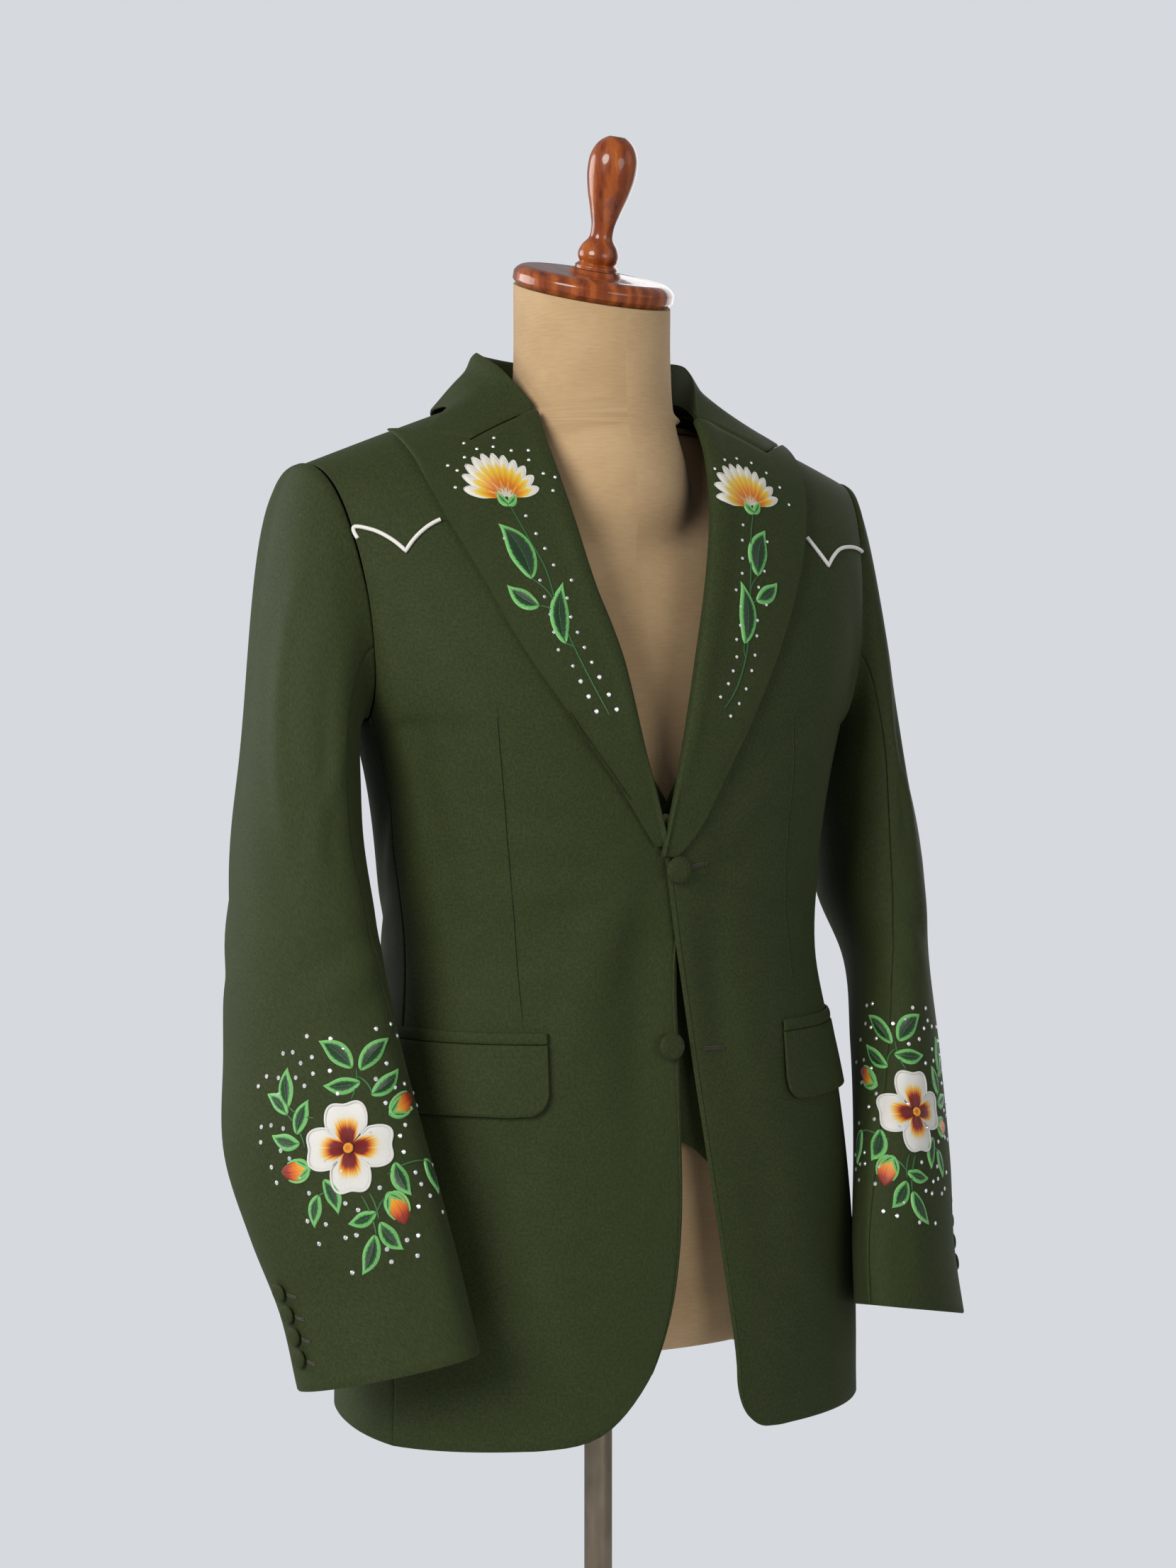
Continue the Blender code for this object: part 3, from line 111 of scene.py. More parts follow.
FORM_NECK = (
    # height, radius
    (1.300, 0.040),
    (1.360, 0.066),
    (1.400, 0.076),
    (1.430, 0.0725),
    (1.455, 0.0655),
    (1.475, 0.0620),
    (1.500, 0.0604),
    (1.559, 0.0600),
)
NECK_X = -0.0055

# Where the edges and seams of the jacket's fronts lie, as x and height. Right is -X.
ROLL = {
    -1: (
        # height, x
        (1.140, -0.010),
        (1.183, -0.022),
        (1.219, -0.032),
        (1.290, -0.047),
        (1.330, -0.059),
        (1.379, -0.067),
        (1.420, -0.0715),
        (1.463, -0.072),
    ),
    1: (
        (1.140, -0.010),
        (1.161, -0.005),
        (1.219, 0.007),
        (1.274, 0.020),
        (1.330, 0.036),
        (1.379, 0.050),
        (1.425, 0.061),
        (1.463, 0.069),
    ),
}
LAPEL_EDGE = {
    -1: (
        (1.137, -0.013),
        (1.188, -0.047),
        (1.227, -0.074),
        (1.295, -0.116),
        (1.340, -0.136),
        (1.378, -0.152),
        (1.415, -0.162),
        (1.448, -0.166),
    ),
    1: (
        (1.133, -0.006),
        (1.154, 0.014),
        (1.193, 0.036),
        (1.227, 0.056),
        (1.272, 0.082),
        (1.316, 0.106),
        (1.382, 0.137),
        (1.448, 0.160),
    ),
}
NECK_POINT_X = 0.074  # where roll line, neck and shoulder seam meet
GORGE = ((0.0685, 1.463), (0.100, 1.449), (0.122, 1.438), (0.148, 1.446))
COLLAR_LIFT = 0.0056  # how far the collar's edge stands off the jacket
COLLAR_FOOT_START = (0.0010, 0.0040, -0.0030)  # from the upper end of the gorge
COLLAR_FOLD_START = (0.0025, 0.0050, 0.0035)
COLLAR_FOOT = (
    (-0.0730, 0.004, 1.4790),
    (-0.0722, 0.034, 1.4840),
    (-0.0570, 0.066, 1.4770),
    (-0.0300, 0.0855, 1.4715),
    (0.0, 0.0915, 1.4700),
)
COLLAR_FOLD = (
    (-0.0800, 0.002, 1.4990),
    (-0.0850, 0.030, 1.5120),
    (-0.0640, 0.068, 1.5150),
    (-0.0340, 0.084, 1.5140),
    (0.0, 0.0880, 1.5130),
)
COLLAR_EDGE_FRONT = ((0.136, 1.4545), (0.121, 1.4640))
COLLAR_EDGE_BACK = (
    (0.112, 1.4660), (0.092, 1.4570), (0.062, 1.4540), (0.032, 1.4530), (0.0, 1.4530)
)
EDGE_LOW = 0.930  # below this height the fronts' edges curve away
RIGHT_CORNER = (0.108, 0.218, 2.5)  # width, height and squareness of the rounded corner
LEFT_CORNER = (0.036, 0.050, 2.4)
LEFT_EDGE_LEAN = 0.15  # how far the left edge runs outwards for each metre down
FRONT_HEM = 0.713

# Seams of the body, as distance round from the centre front at each level.
SIDE_FRONT_SEAM = ((0.0, 0.222), (0.5, 0.214), (0.7, 0.218), (0.86, 0.234), (1.01, 0.2445))
BACK_HEM = 0.018  # level of the back's hem, a little above the front's
SIDE_BACK_SEAM = ((BACK_HEM, 0.338), (0.5, 0.308), (0.7, 0.292), (0.86, 0.288), (1.01, 0.2815))
ARMHOLE_FRONT = (
    # turn from the front, distance round, level
    (-90, 0.2622, 1.000),
    (-60, 0.2445, 1.010),
    (-30, 0.2280, 1.075),
    (0, 0.2220, 1.210),
    (30, 0.2235, 1.400),
    (60, 0.2245, 1.640),
    (90, 0.2250, 2.000),
)
ARMHOLE_BACK = (
    (-90, 0.2622, 1.000),
    (-60, 0.2815, 1.010),
    (-30, 0.3080, 1.080),
    (0, 0.3250, 1.220),
    (30, 0.3200, 1.420),
    (60, 0.3030, 1.660),
    (90, 0.2750, 2.000),
)
ARMHOLE_STEP = 15  # degrees between the coarse points round an armhole
YOKE_TURN = 30  # the yoke seam meets the armhole here
YOKE_LINE = {
    -1: (
        # x, height: level under the lapel, then two soft arcs that meet in a point
        (0.066, 1.3810),
        (0.100, 1.3810),
        (0.130, 1.3810),
        (0.153, 1.3800),
        (0.163, 1.3770),
        (0.172, 1.3700),
        (0.182, 1.3570),
        (0.192, 1.3675),
        (0.201, 1.3730),
        (0.211, 1.3750),
    ),
    1: (
        (0.066, 1.3760),
        (0.094, 1.3755),
        (0.112, 1.3750),
        (0.125, 1.3740),
        (0.138, 1.3705),
        (0.148, 1.3630),
        (0.157, 1.3530),
        (0.165, 1.3605),
        (0.175, 1.3665),
        (0.188, 1.3690),
    ),
}
BACK_NECK = ((0.074, 1.4828), (0.060, 1.4755), (0.042, 1.4705), (0.022, 1.4685), (0.0, 1.468))

# Each sleeve hangs as a tube: the wide axis starts front to back and turns in at the wrist.
SLEEVE_ROWS = {
    -1: (
        # height, x, y, half_wide, half_narrow, turn, tip of the hem in degrees
        (1.195, -0.2400, 0.008, 0.0820, 0.0390, 0, 0),
        (1.155, -0.2432, 0.004, 0.0810, 0.0410, 3, 0),
        (1.089, -0.2460, -0.012, 0.0805, 0.0430, 12, 2),
        (1.000, -0.2470, -0.040, 0.0800, 0.0430, 25, 5),
        (0.930, -0.2460, -0.064, 0.0815, 0.0430, 36, 8),
        (0.879, -0.2360, -0.083, 0.0755, 0.0410, 41, 11),
        (0.829, -0.2235, -0.098, 0.0690, 0.0380, 45, 13),
        (0.7775, -0.2155, -0.112, 0.0680, 0.0370, 47, 14),
    ),
    1: (
        (1.195, 0.2255, 0.008, 0.0765, 0.0290, 0, 0),
        (1.155, 0.2335, 0.004, 0.0765, 0.0330, 5, 0),
        (1.093, 0.2390, -0.006, 0.0760, 0.0365, 10, 2),
        (1.046, 0.2465, -0.016, 0.0760, 0.0320, 20, 4),
        (0.977, 0.2440, -0.036, 0.0770, 0.0350, 28, 5),
        (0.8915, 0.2350, -0.062, 0.0780, 0.0370, 38, 8),
        (0.822, 0.2255, -0.082, 0.0765, 0.0370, 44, 11),
        (0.7775, 0.2240, -0.094, 0.0790, 0.0380, 47, 13),
    ),
}
CAP_OUT_TOP = {-1: 0.080, 1: 0.060}  # how far the sleeve head springs out before it falls
CAP_OUT_LOW = 0.030  # the same under the arm
CAP_DOWN_TOP, CAP_DOWN_LOW = 0.230, 0.045
FRONT_SLEEVE_SEAM, BACK_SLEEVE_SEAM = -15, 195

# Pockets, buttons and trim.
FLAP_TOP, FLAP_LOW = 1.0025, 0.9515
FLAP_FROM, FLAP_TO = 0.098, 0.246
FLAP_ROUND = 0.017
WELT_TALL = 0.009
PIPING_RADIUS = 0.0015
PIPING_OUT = 0.75  # how far its middle lies over the cloth, in radii
PIPING_CLEAR = 0.0045  # how far the piping stays from the lapel
FRONT_BUTTON_RADIUS = 0.010
CUFF_BUTTON_RADIUS = 0.0070
FRONT_BUTTONS = ((0.000, 1.1275), (-0.0055, 0.9990))  # x, height
CUFF_BUTTON_LOW = {-1: 0.800, 1: 0.814}  # height of the lowest
CUFF_BUTTON_STEP = 0.0148
CUFF_BUTTON_TURN = 137  # degrees round the sleeve from its front
FRONT_BUTTON_THICK, CUFF_BUTTON_THICK = 0.0046, 0.0036

# The waistcoat.
VEST_LAP = 0.010  # how far each front goes past the middle
VEST_NECK = ((1.166, 0.000), (1.200, 0.014), (1.260, 0.036), (1.330, 0.064), (1.400, 0.083))
VEST_NOTCH = 0.934
VEST_SIDE_HEM = 0.930
VEST_HEM = ((0.0, 0.934), (0.048, 0.900), (0.110, 0.916), (0.234, 0.930))  # round from the front
VEST_ACROSS = np.array((0.0, 0.10, 0.24, 0.46, 0.72, 1.0))
VEST_BUTTONS = (1.143, 1.092, 1.041, 0.990)
VEST_BUTTON_RADIUS = 0.0068
VEST_TOP = 1.994
VEST_NECK_X, VEST_TIP_X = 0.088, 0.130
VEST_SIDE_SEAM = ((0.0, 0.234), (0.5, 0.222), (1.0, 0.222))
VEST_HOLE_FRONT = ((1.0, 0.222), (1.06, 0.206), (1.25, 0.170), (1.6, 0.136), (VEST_TOP, VEST_TIP_X))
VEST_HOLE_BACK = ((1.0, 0.222), (1.06, 0.238), (1.25, 0.246), (1.6, 0.222))
VEST_BACK_NECK = ((0.066, 1.4660), (0.036, 1.4560), (0.0, 1.4530))

# The dress form and its stand.
NECK_TIP_FORWARD, NECK_TIP_SIDE = math.radians(16), math.radians(3)
NECK_TOP = 1.559
CAP_RADIUS = 0.062
POLE_RADIUS = 0.0108
BASE_RADIUS = 0.200
GAP = 0.0003  # between two solids that touch
CAP_PROFILE = (
    # radius, height
    (CAP_RADIUS - 0.004, 0.0),
    (CAP_RADIUS, 0.004),
    (CAP_RADIUS, 0.010),
    (CAP_RADIUS - 0.004, 0.0145),
    (0.050, 0.0160),
    (0.0205, 0.0165),
    (0.0190, 0.0195),
)
KNOB_PROFILE = (
    (0.0165, 0.0),
    (0.0165, 0.0025),
    (0.0135, 0.0050),
    (0.0158, 0.0105),
    (0.0140, 0.0170),
    (0.0092, 0.0240),
    (0.0088, 0.0310),
    (0.0115, 0.0430),
    (0.0160, 0.0580),
    (0.0187, 0.0740),
    (0.0178, 0.0860),
    (0.0130, 0.0950),
    (0.0060, 0.1000),
)
POLE_FOOT = 0.066
BASE_PROFILE = (
    (BASE_RADIUS - 0.003, 0.0),
    (BASE_RADIUS, 0.003),
    (BASE_RADIUS, 0.009),
    (BASE_RADIUS - 0.006, 0.014),
    (0.120, 0.021),
    (0.040, 0.027),
    (0.024, 0.032),
    (0.0185, 0.045),
    (0.0175, 0.064),
    (0.0150, POLE_FOOT),
)


def cubic(start, stop, slope_start, slope_stop, f, step=1.0):
    """A cubic between two values at shares f of a step, from its slopes at both ends."""
    ends = start * (1 + 2 * f) * (1 - f) ** 2 + stop * f**2 * (3 - 2 * f)
    return ends + step * (slope_start * f * (1 - f) ** 2 - slope_stop * f**2 * (1 - f))


def gone(points):
    """Distance along a line of points."""
    return np.r_[0, np.cumsum(np.linalg.norm(np.diff(points, axis=0), axis=1))]


def gone_along(grid):
    """Distance along each row of a grid of points."""
    lengths = np.linalg.norm(np.diff(grid, axis=1), axis=2)
    return np.hstack([np.zeros((len(grid), 1)), np.cumsum(lengths, axis=1)])


def smooth(rows, column, at):
    """A cubic through one column of a table, at values of its first column."""
    table = np.array(rows, float)
    table = table[np.argsort(table[:, 0])]
    keys, values = table[:, 0], table[:, column]
    slopes = np.gradient(values, keys)
    at = np.clip(at, keys[0], keys[-1])
    i = np.clip(np.searchsorted(keys, at) - 1, 0, len(keys) - 2)
    step = keys[i + 1] - keys[i]
    f = (at - keys[i]) / step
    return cubic(values[i], values[i + 1], slopes[i], slopes[i + 1], f, step)


def through(points, count):
    """Evenly spaced points of a smooth curve through a few flat points or points in space."""
    points = np.array(points, float)
    along = gone(points)
    rows = np.column_stack([along, points])
    at = np.linspace(0, along[-1], count)
    return np.column_stack([smooth(rows, k, at) for k in range(1, rows.shape[1])])


def unit(vectors):
    """Vectors of length 1."""
    return vectors / np.maximum(np.linalg.norm(vectors, axis=-1, keepdims=True), 1e-12)


def ridge(x):
    """Height of the jacket's shoulder line."""
    return RIDGE_TOP - RIDGE_FALL * np.sqrt(np.square(x) + RIDGE_SOFT**2)


class Skin:
    """The outer surface of a garment's body.

    A point is named by d, the distance round from the centre front (the wearer's left is
    positive), and t, its level: 0 at the hem, 1 at the armpit and 2 on the shoulder line.
    """

    ARCH = 2.3  # how full the body closes toward its shoulder line
    SPREAD = 0.6  # how soon its width goes over to that line's
    LEVELS, TURNS = 641, 721  # rows up the body, and columns from its front to its back

    def __init__(self, rings, top_width, below):
        self.rings, self.top_width, self.below = rings, top_width, below
        self.hem, self.armpit = rings[0][0], rings[-1][0]
        self.levels = np.linspace(0, 2, self.LEVELS)
        turns = np.linspace(0, np.pi, self.TURNS)
        self.points = np.array([self.ring(t, turns) for t in self.levels])
        self.along = gone_along(self.points[:, :, :2])

    def top(self, x):
        """Height of the shoulder line at x."""
        return ridge(x) - self.below

    def ring(self, t, turns):
        """Points round one half of the body at a level."""
        height = self.hem + min(t, 1) * (self.armpit - self.hem)
        width, front, back, middle, square = (smooth(self.rings, k, height) for k in range(1, 6))
        rise = math.sin(max(t - 1, 0) * math.pi / 2)
        shrink = max(1 - rise**2, 0) ** (1 / self.ARCH)
        width = width + (self.top_width - width) * rise**self.SPREAD
        middle = middle + (RIDGE_Y - middle) * rise
        c, s = np.cos(turns), np.sin(turns)
        x = width * np.abs(s) ** (2 / square)
        deep = np.where(c > 0, front, back) * shrink
        y = middle - np.sign(c) * deep * np.abs(c) ** (2 / square)
        z = height + (self.top(0) - self.armpit) * rise - rise**2 * (self.top(0) - self.top(x))
        return np.stack([x, y, z], axis=1)

    def row(self, t):
        """The stored row below each level, and the share up to the next."""
        row = np.clip(t / 2 * (len(self.levels) - 1), 0, len(self.levels) - 1 - 1e-9)
        low = row.astype(int)
        return low, row - low

    def at(self, d, t):
        """Points on the surface."""
        d, t = np.broadcast_arrays(np.asarray(d, float), np.asarray(t, float))
        shape, d = d.shape, d.ravel()
        low, f = self.row(np.clip(t.ravel(), 0, 2))
        found = []
        for level in (low, low + 1):
            p = np.empty((len(d), 3))
            for k in np.unique(level):
                here = level == k
                for axis in range(3):
                    p[here, axis] = np.interp(
                        np.abs(d[here]), self.along[k], self.points[k, :, axis]
                    )
            found.append(p)
        p = found[0] * (1 - f[:, None]) + found[1] * f[:, None]
        p[:, 0] *= np.where(d < 0, -1, 1)
        return p.reshape(shape + (3,))

    def normal(self, d, t):
        """The outward normals there."""
        d, t = np.broadcast_arrays(np.asarray(d, float), np.asarray(t, float))
        step_d, step_t = 0.002, 0.01
        round_ = self.at(d + step_d, t) - self.at(d - step_d, t)
        up = self.at(d, np.minimum(t + step_t, 2)) - self.at(d, np.maximum(t - step_t, 0))
        return unit(np.cross(round_, up))

    def places(self, where):
        """Points at an array of pairs of d and t, which may hold more values."""
        return self.at(where[..., 0], where[..., 1])

    def both(self, where):
        """Points and normals at such an array."""
        return self.places(where), self.normal(where[..., 0], where[..., 1])

    def spot(self, x, z, back=False):
        """d and t of the points with this x and height, as an array of pairs."""
        x, z = np.broadcast_arrays(np.asarray(x, float), np.asarray(z, float))
        span = self.top(0) - self.armpit
        drop = np.maximum(self.top(0) - self.top(x), 1e-9)
        over = np.maximum(z - self.armpit, 0)
        rise = (span - np.sqrt(np.maximum(span**2 - 4 * drop * over, 0))) / (2 * drop)
        upper = 1 + np.arcsin(np.clip(rise, 0, 1)) * 2 / np.pi
        t = np.where(z <= self.armpit, (z - self.hem) / (self.armpit - self.hem), upper)
        middle = self.TURNS // 2
        half = slice(self.TURNS - 1, middle - 1, -1) if back else slice(0, middle + 1)
        low, f = self.row(t)
        d = np.empty(x.shape)
        for i in np.ndindex(x.shape):
            first, second = (
                np.interp(abs(x[i]), self.points[k, half, 0], self.along[k, half])
                for k in (low[i], low[i] + 1)
            )
            d[i] = first * (1 - f[i]) + second * f[i]
        return np.stack([np.where(x < 0, -d, d), t], axis=-1)


JACKET = Skin(JACKET_RINGS, JACKET_TOP_WIDTH, 0.0)
VEST = Skin(VEST_RINGS, VEST_TOP_WIDTH, VEST_BELOW_JACKET)


def coons(low, high, first, last, across=None):
    """A patch between four edges. low and high run the same way, and so do first and last."""
    u = (np.linspace(0, 1, len(low)) if across is None else np.array(across))[:, None, None]
    v = np.linspace(0, 1, len(first))[None, :, None]
    low, high = np.asarray(low)[:, None], np.asarray(high)[:, None]
    first, last = np.asarray(first)[None], np.asarray(last)[None]
    ruled = low * (1 - v) + high * v + first * (1 - u) + last * u
    corners = (
        first[:, :1] * (1 - u) * (1 - v)
        + last[:, :1] * u * (1 - v)
        + first[:, -1:] * (1 - u) * v
        + last[:, -1:] * u * v
    )
    return ruled - corners


def between(start, stop, count):
    """Evenly spaced points from one to another."""
    return start + (stop - start) * np.linspace(0, 1, count)[:, None]


def mirrored(pairs, side):
    """Pairs of d or x and a second value, on the right for side -1."""
    pairs = np.array(pairs, float)
    pairs[..., 0] *= side
    return pairs


def line_on_front(rows, count, start, stop):
    """(d, t) along a table of height and x on the jacket's front."""
    heights = np.linspace(start, stop, count)
    return JACKET.spot(smooth(rows, 1, heights), heights)


EDGE_RIGHT, EDGE_LEFT = 0.002, 0.020  # x of the fronts' edges where they are lowest
EDGE_TOP = {-1: 0.012, 1: -0.010}  # their x at the button
EDGE_MIDDLE = {-1: (0.002, 1.04), 1: (0.005, 1.04)}  # and x and height of a point between
LAP_MIDDLE = -0.002  # x of the middle of the fronts' lap
LAP_FROM, LAP_RISE = 0.99, 0.06  # the fronts lap from this height, fully so a little higher


def corner_of(side):
    """A front's rounded corner: its middle x and z, width, height, power and way."""
    wide, tall, power = RIGHT_CORNER if side < 0 else LEFT_CORNER
    z = FRONT_HEM + tall
    x = EDGE_RIGHT - wide if side < 0 else EDGE_LEFT + LEFT_EDGE_LEAN * (EDGE_LOW - z) + wide
    return x, z, wide, tall, power, -side


def corner_points(side, turns):
    """x and height on the rounded corner; a turn of 0 is on the hem and of 90 on the edge."""
    x, z, wide, tall, power, way = corner_of(side)
    along = x + way * wide * np.sin(turns) ** (2 / power)
    return np.column_stack([along, z - tall * np.cos(turns) ** (2 / power)])


def front_edge(side, count):
    """x and height of a front's edge, from the middle of its rounded corner up to the button."""
    turns = np.radians(np.linspace(45, 90, 4)[:-1])
    x, z, wide, _, _, way = corner_of(side)
    low, middle = np.array([x + way * wide, z]), np.array(EDGE_MIDDLE[side])
    top = np.array([EDGE_TOP[side], ROLL[side][0][0]])
    run = through([low, (low + middle) / 2, middle, top], count - len(turns))
    return np.vstack([corner_points(side, turns), run])


def corner_hem(side, count):
    """x and height from the middle of the rounded corner to where the hem is level."""
    return corner_points(side, np.radians(np.linspace(45, 0, count)))


def seam(rows, side, shift, count):
    """(d, t) up a seam of the body, moved round by shift."""
    levels = np.linspace(rows[0][0], rows[-1][0], count)
    return np.column_stack([side * (smooth(rows, 1, levels) + shift), levels])


def armhole(side, turns, back=False):
    """(d, t) round the armhole: -90 is under the arm, 0 foremost or rearmost, 90 the top."""
    rows = ARMHOLE_BACK if back else ARMHOLE_FRONT
    turns = np.asarray(turns, float)
    return np.column_stack([side * smooth(rows, 1, turns), smooth(rows, 2, turns)])


def steps(start, stop):
    """Turns round an armhole at which its coarse grids have points."""
    return np.arange(start, stop + 1, ARMHOLE_STEP)


def yoke_line(side, shift):
    """(d, t) along the yoke's seam, moved up by shift."""
    end = armhole(side, [YOKE_TURN])
    line = mirrored(YOKE_LINE[side], side)
    spots = JACKET.spot(line[:, 0], line[:, 1] + shift)
    end[0, 1] += shift * 4
    return np.vstack([spots, end])


SHOULDER = 1.9997  # level of the shoulder seam, a hair short of the shoulder line
COLLAR_JOIN = 1.463  # height at which lapel, collar and yoke meet
SIDE_STEPS = 11
EDGE_STEPS = 12
CORNER_STEPS = 3


def front_grid(side):
    """(d, t) of a front below its yoke, and how far each point stands out."""
    yoke = yoke_line(side, -SEAM)
    edge = front_edge(side, EDGE_STEPS)
    edge = JACKET.spot(edge[:, 0], edge[:, 1])
    up = line_on_front(ROLL[side], 6, ROLL[side][0][0], YOKE_LINE[side][0][1])[1:]
    up[-1] = yoke[0]
    first = np.vstack([edge, up])
    last = seam(SIDE_FRONT_SEAM, side, -SEAM, SIDE_STEPS)
    last = np.vstack([last, armhole(side, steps(-45, YOKE_TURN))])
    last[-1] = yoke[-1]
    corner = corner_hem(side, CORNER_STEPS)
    hem = JACKET.spot(corner[:, 0], corner[:, 1])
    level = np.linspace(0, 1, len(yoke) - CORNER_STEPS + 1)[1:, None]
    low = np.vstack([hem, hem[-1] * (1 - level) + last[0] * level])
    where = coons(low, yoke, first, last)
    where[..., 1] = np.maximum(where[..., 1], 0)
    return where, lap_of_front(side, where)


def lap_of_front(side, where):
    """The left front stands out where it laps over the right one at the buttons."""
    if side < 0:
        return np.zeros(where.shape[:2])
    p = JACKET.places(where)
    over = np.exp(-(((p[..., 0] - LAP_MIDDLE) / LAP_WIDTH) ** 4))
    return LAP * over * np.clip((p[..., 2] - LAP_FROM) / LAP_RISE, 0, 1)


def yoke_grid(side):
    """(d, t) of the front of the yoke, from its seam up to the shoulder."""
    low = yoke_line(side, SEAM)
    heights = np.linspace(YOKE_LINE[side][0][1], COLLAR_JOIN, 4)
    first = JACKET.spot(smooth(ROLL[side], 1, heights), heights)
    first[0] = low[0]
    ends = side * NECK_POINT_X, side * ARMHOLE_FRONT[-1][1]
    top = np.column_stack([np.linspace(*ends, len(low)), np.full(len(low), SHOULDER)])
    first = np.vstack([first, top[0]])
    last = armhole(side, steps(YOKE_TURN, 90))
    last[0], last[-1] = low[-1], top[-1]
    return coons(low, top, first, last)


def side_grid(side):
    """(d, t) of the panel under the arm."""
    first = seam(SIDE_FRONT_SEAM, side, SEAM, SIDE_STEPS)
    last = seam(SIDE_BACK_SEAM, side, -SEAM, SIDE_STEPS)
    front = armhole(side, steps(-90, -60))[::-1]
    rear = armhole(side, steps(-90, -60), back=True)
    high = np.vstack([front, rear[1:]])
    high[0], high[-1] = first[-1], last[-1]
    low = between(first[0], last[0], len(high))
    return coons(low, high, first, last)


def back_grid(side):
    """(d, t) of half of the back, from its centre seam to the side panel."""
    last = np.vstack(
        [seam(SIDE_BACK_SEAM, side, SEAM, SIDE_STEPS), armhole(side, steps(-45, 90), back=True)]
    )
    neck = mirrored(BACK_NECK, side)
    neck = JACKET.spot(neck[:, 0], neck[:, 1], back=True)
    half = JACKET.along[:, -1]
    neck[:, 1] = np.minimum(neck[:, 1], SHOULDER)
    far = np.interp(SHOULDER, JACKET.levels, half)
    x = np.linspace(ARMHOLE_FRONT[-1][1], NECK_POINT_X, 5)
    shoulder = np.column_stack([side * (far - x), np.full(len(x), SHOULDER)])
    high = np.vstack([shoulder[:-1], neck])[::-1]
    levels = np.linspace(BACK_HEM, neck[-1, 1], len(last))
    middle = np.interp(levels, JACKET.levels, half) - SEAM
    first = np.column_stack([side * middle, levels])
    high[0], high[-1] = first[-1], last[-1]
    low = between(first[0], last[0], len(high))
    return coons(low, high, first, last)


def raised(spots, lift):
    """Points of the jacket's skin, moved out by lift."""
    p, n = JACKET.both(spots)
    return p + n * lift


def gorge_nodes(side):
    """(d, t) of the seam between lapel and collar, and on along the peak to the collar's corner."""
    line = mirrored(GORGE, side)
    spots = JACKET.spot(line[:, 0], line[:, 1])
    return np.vstack([spots[0], (spots[0] + spots[1]) / 2, spots[1:]])


ROLL_HOOK = (
    # distance past the roll line, height above the front
    (0.0034, -0.0006),
    (0.0040, 0.0018),
    (0.0026, 0.0044),
)
LAPEL_LIFT = 0.0054  # how far a lapel's face stands off the front
LAPEL_BELLY = 0.0030  # how far the lapel's middle stands off the front at its roll
LAPEL_START = {-1: 1.1450, 1: 1.1375}  # where a lapel begins to roll out of its front
LAPEL_STEPS = 15
OVERLAP = {-1: 0.4, 1: 1.0}  # how much of the fronts' lap each lapel rises over
TO_SEAM = 0.004  # the level by which lapel and collar stay short of each other


def lapel_grid(side):
    """(d, t) of a lapel from its roll line to its edge, and the height of each point."""
    start, stop = LAPEL_START[side], ROLL[side][-1][0]
    first = line_on_front(ROLL[side], LAPEL_STEPS, start, stop)
    stop = LAPEL_EDGE[side][-1][0]
    last = line_on_front(LAPEL_EDGE[side], LAPEL_STEPS, start - 0.001, stop)
    tip = JACKET.spot([side * abs(LAPEL_EDGE[side][-1][1])], [stop])
    high = np.vstack([gorge_nodes(side), tip])
    high[:, 1] -= TO_SEAM
    low = between(first[0], last[0], len(high))
    first[-1], last[-1] = high[0], high[-1]
    where = coons(low, high, first, last)
    u = np.linspace(0, 1, where.shape[0])[:, None]
    v = np.linspace(0, 1, where.shape[1])[None]
    lift = LAPEL_LIFT + LAPEL_BELLY * (1 - u) ** 2 * np.sin(np.pi * v)
    over = LAP * np.clip(1 - v / 0.25, 0, 1)
    return where, lift + over * OVERLAP[side], over[0]


def lapel_points(side, where, lift, over):
    """The lapel's outer points: three rows round the roll, then the leaf."""
    rows = []
    for past, height in ROLL_HOOK:
        d, t = where[0, :, 0] - side * past, where[0, :, 1]
        out = height * np.where(height > 0, lift[0] / LAPEL_LIFT, 1) + over
        rows.append(raised(np.stack([d, t], axis=-1), out[:, None]))
    return np.vstack([np.array(rows), raised(where, lift[..., None])])


def grid_normals(grid, outwards):
    """Normals of a grid of points, on the side that outwards says."""
    across, along = np.gradient(grid, axis=0), np.gradient(grid, axis=1)
    n = unit(np.cross(across, along))
    return n * np.where((n * outwards).sum(-1, keepdims=True).mean() < 0, -1, 1)


def collar_curves(count):
    """Foot of the stand, fold and outer edge of the collar, round the neck from right to left."""
    gorge = raised(gorge_nodes(-1), LAPEL_LIFT)
    start = gorge[0]
    foot = np.vstack([start + COLLAR_FOOT_START, COLLAR_FOOT])
    fold = np.vstack([start + COLLAR_FOLD_START, COLLAR_FOLD])
    over = np.array(COLLAR_EDGE_FRONT) * (-1, 1)
    behind = np.array(COLLAR_EDGE_BACK) * (-1, 1)
    spots = np.vstack([JACKET.spot(*over.T), JACKET.spot(*behind.T, back=True)])
    spots[:, 1] = np.minimum(spots[:, 1], SHOULDER)
    edge = np.vstack([gorge[-1], raised(spots, COLLAR_LIFT)])
    edge[-1, 0] = 0
    curves = []
    for points in (foot, fold, edge):
        half = through(points, count // 2 + 1)
        curves.append(np.vstack([half, half[:-1][::-1] * (-1, 1, 1)]))
    return curves


COLLAR_STEPS = 27
COLLAR_CROWN = 0.0022
STAND_ROWS = (0.5, 0.12)
FOLD_ROWS = ((0.0018, 0.0024), (0.0046, 0.0010))  # distance out and up from the fold
LEAF_ROWS = (0.28, 0.52, 0.77, 1.0)


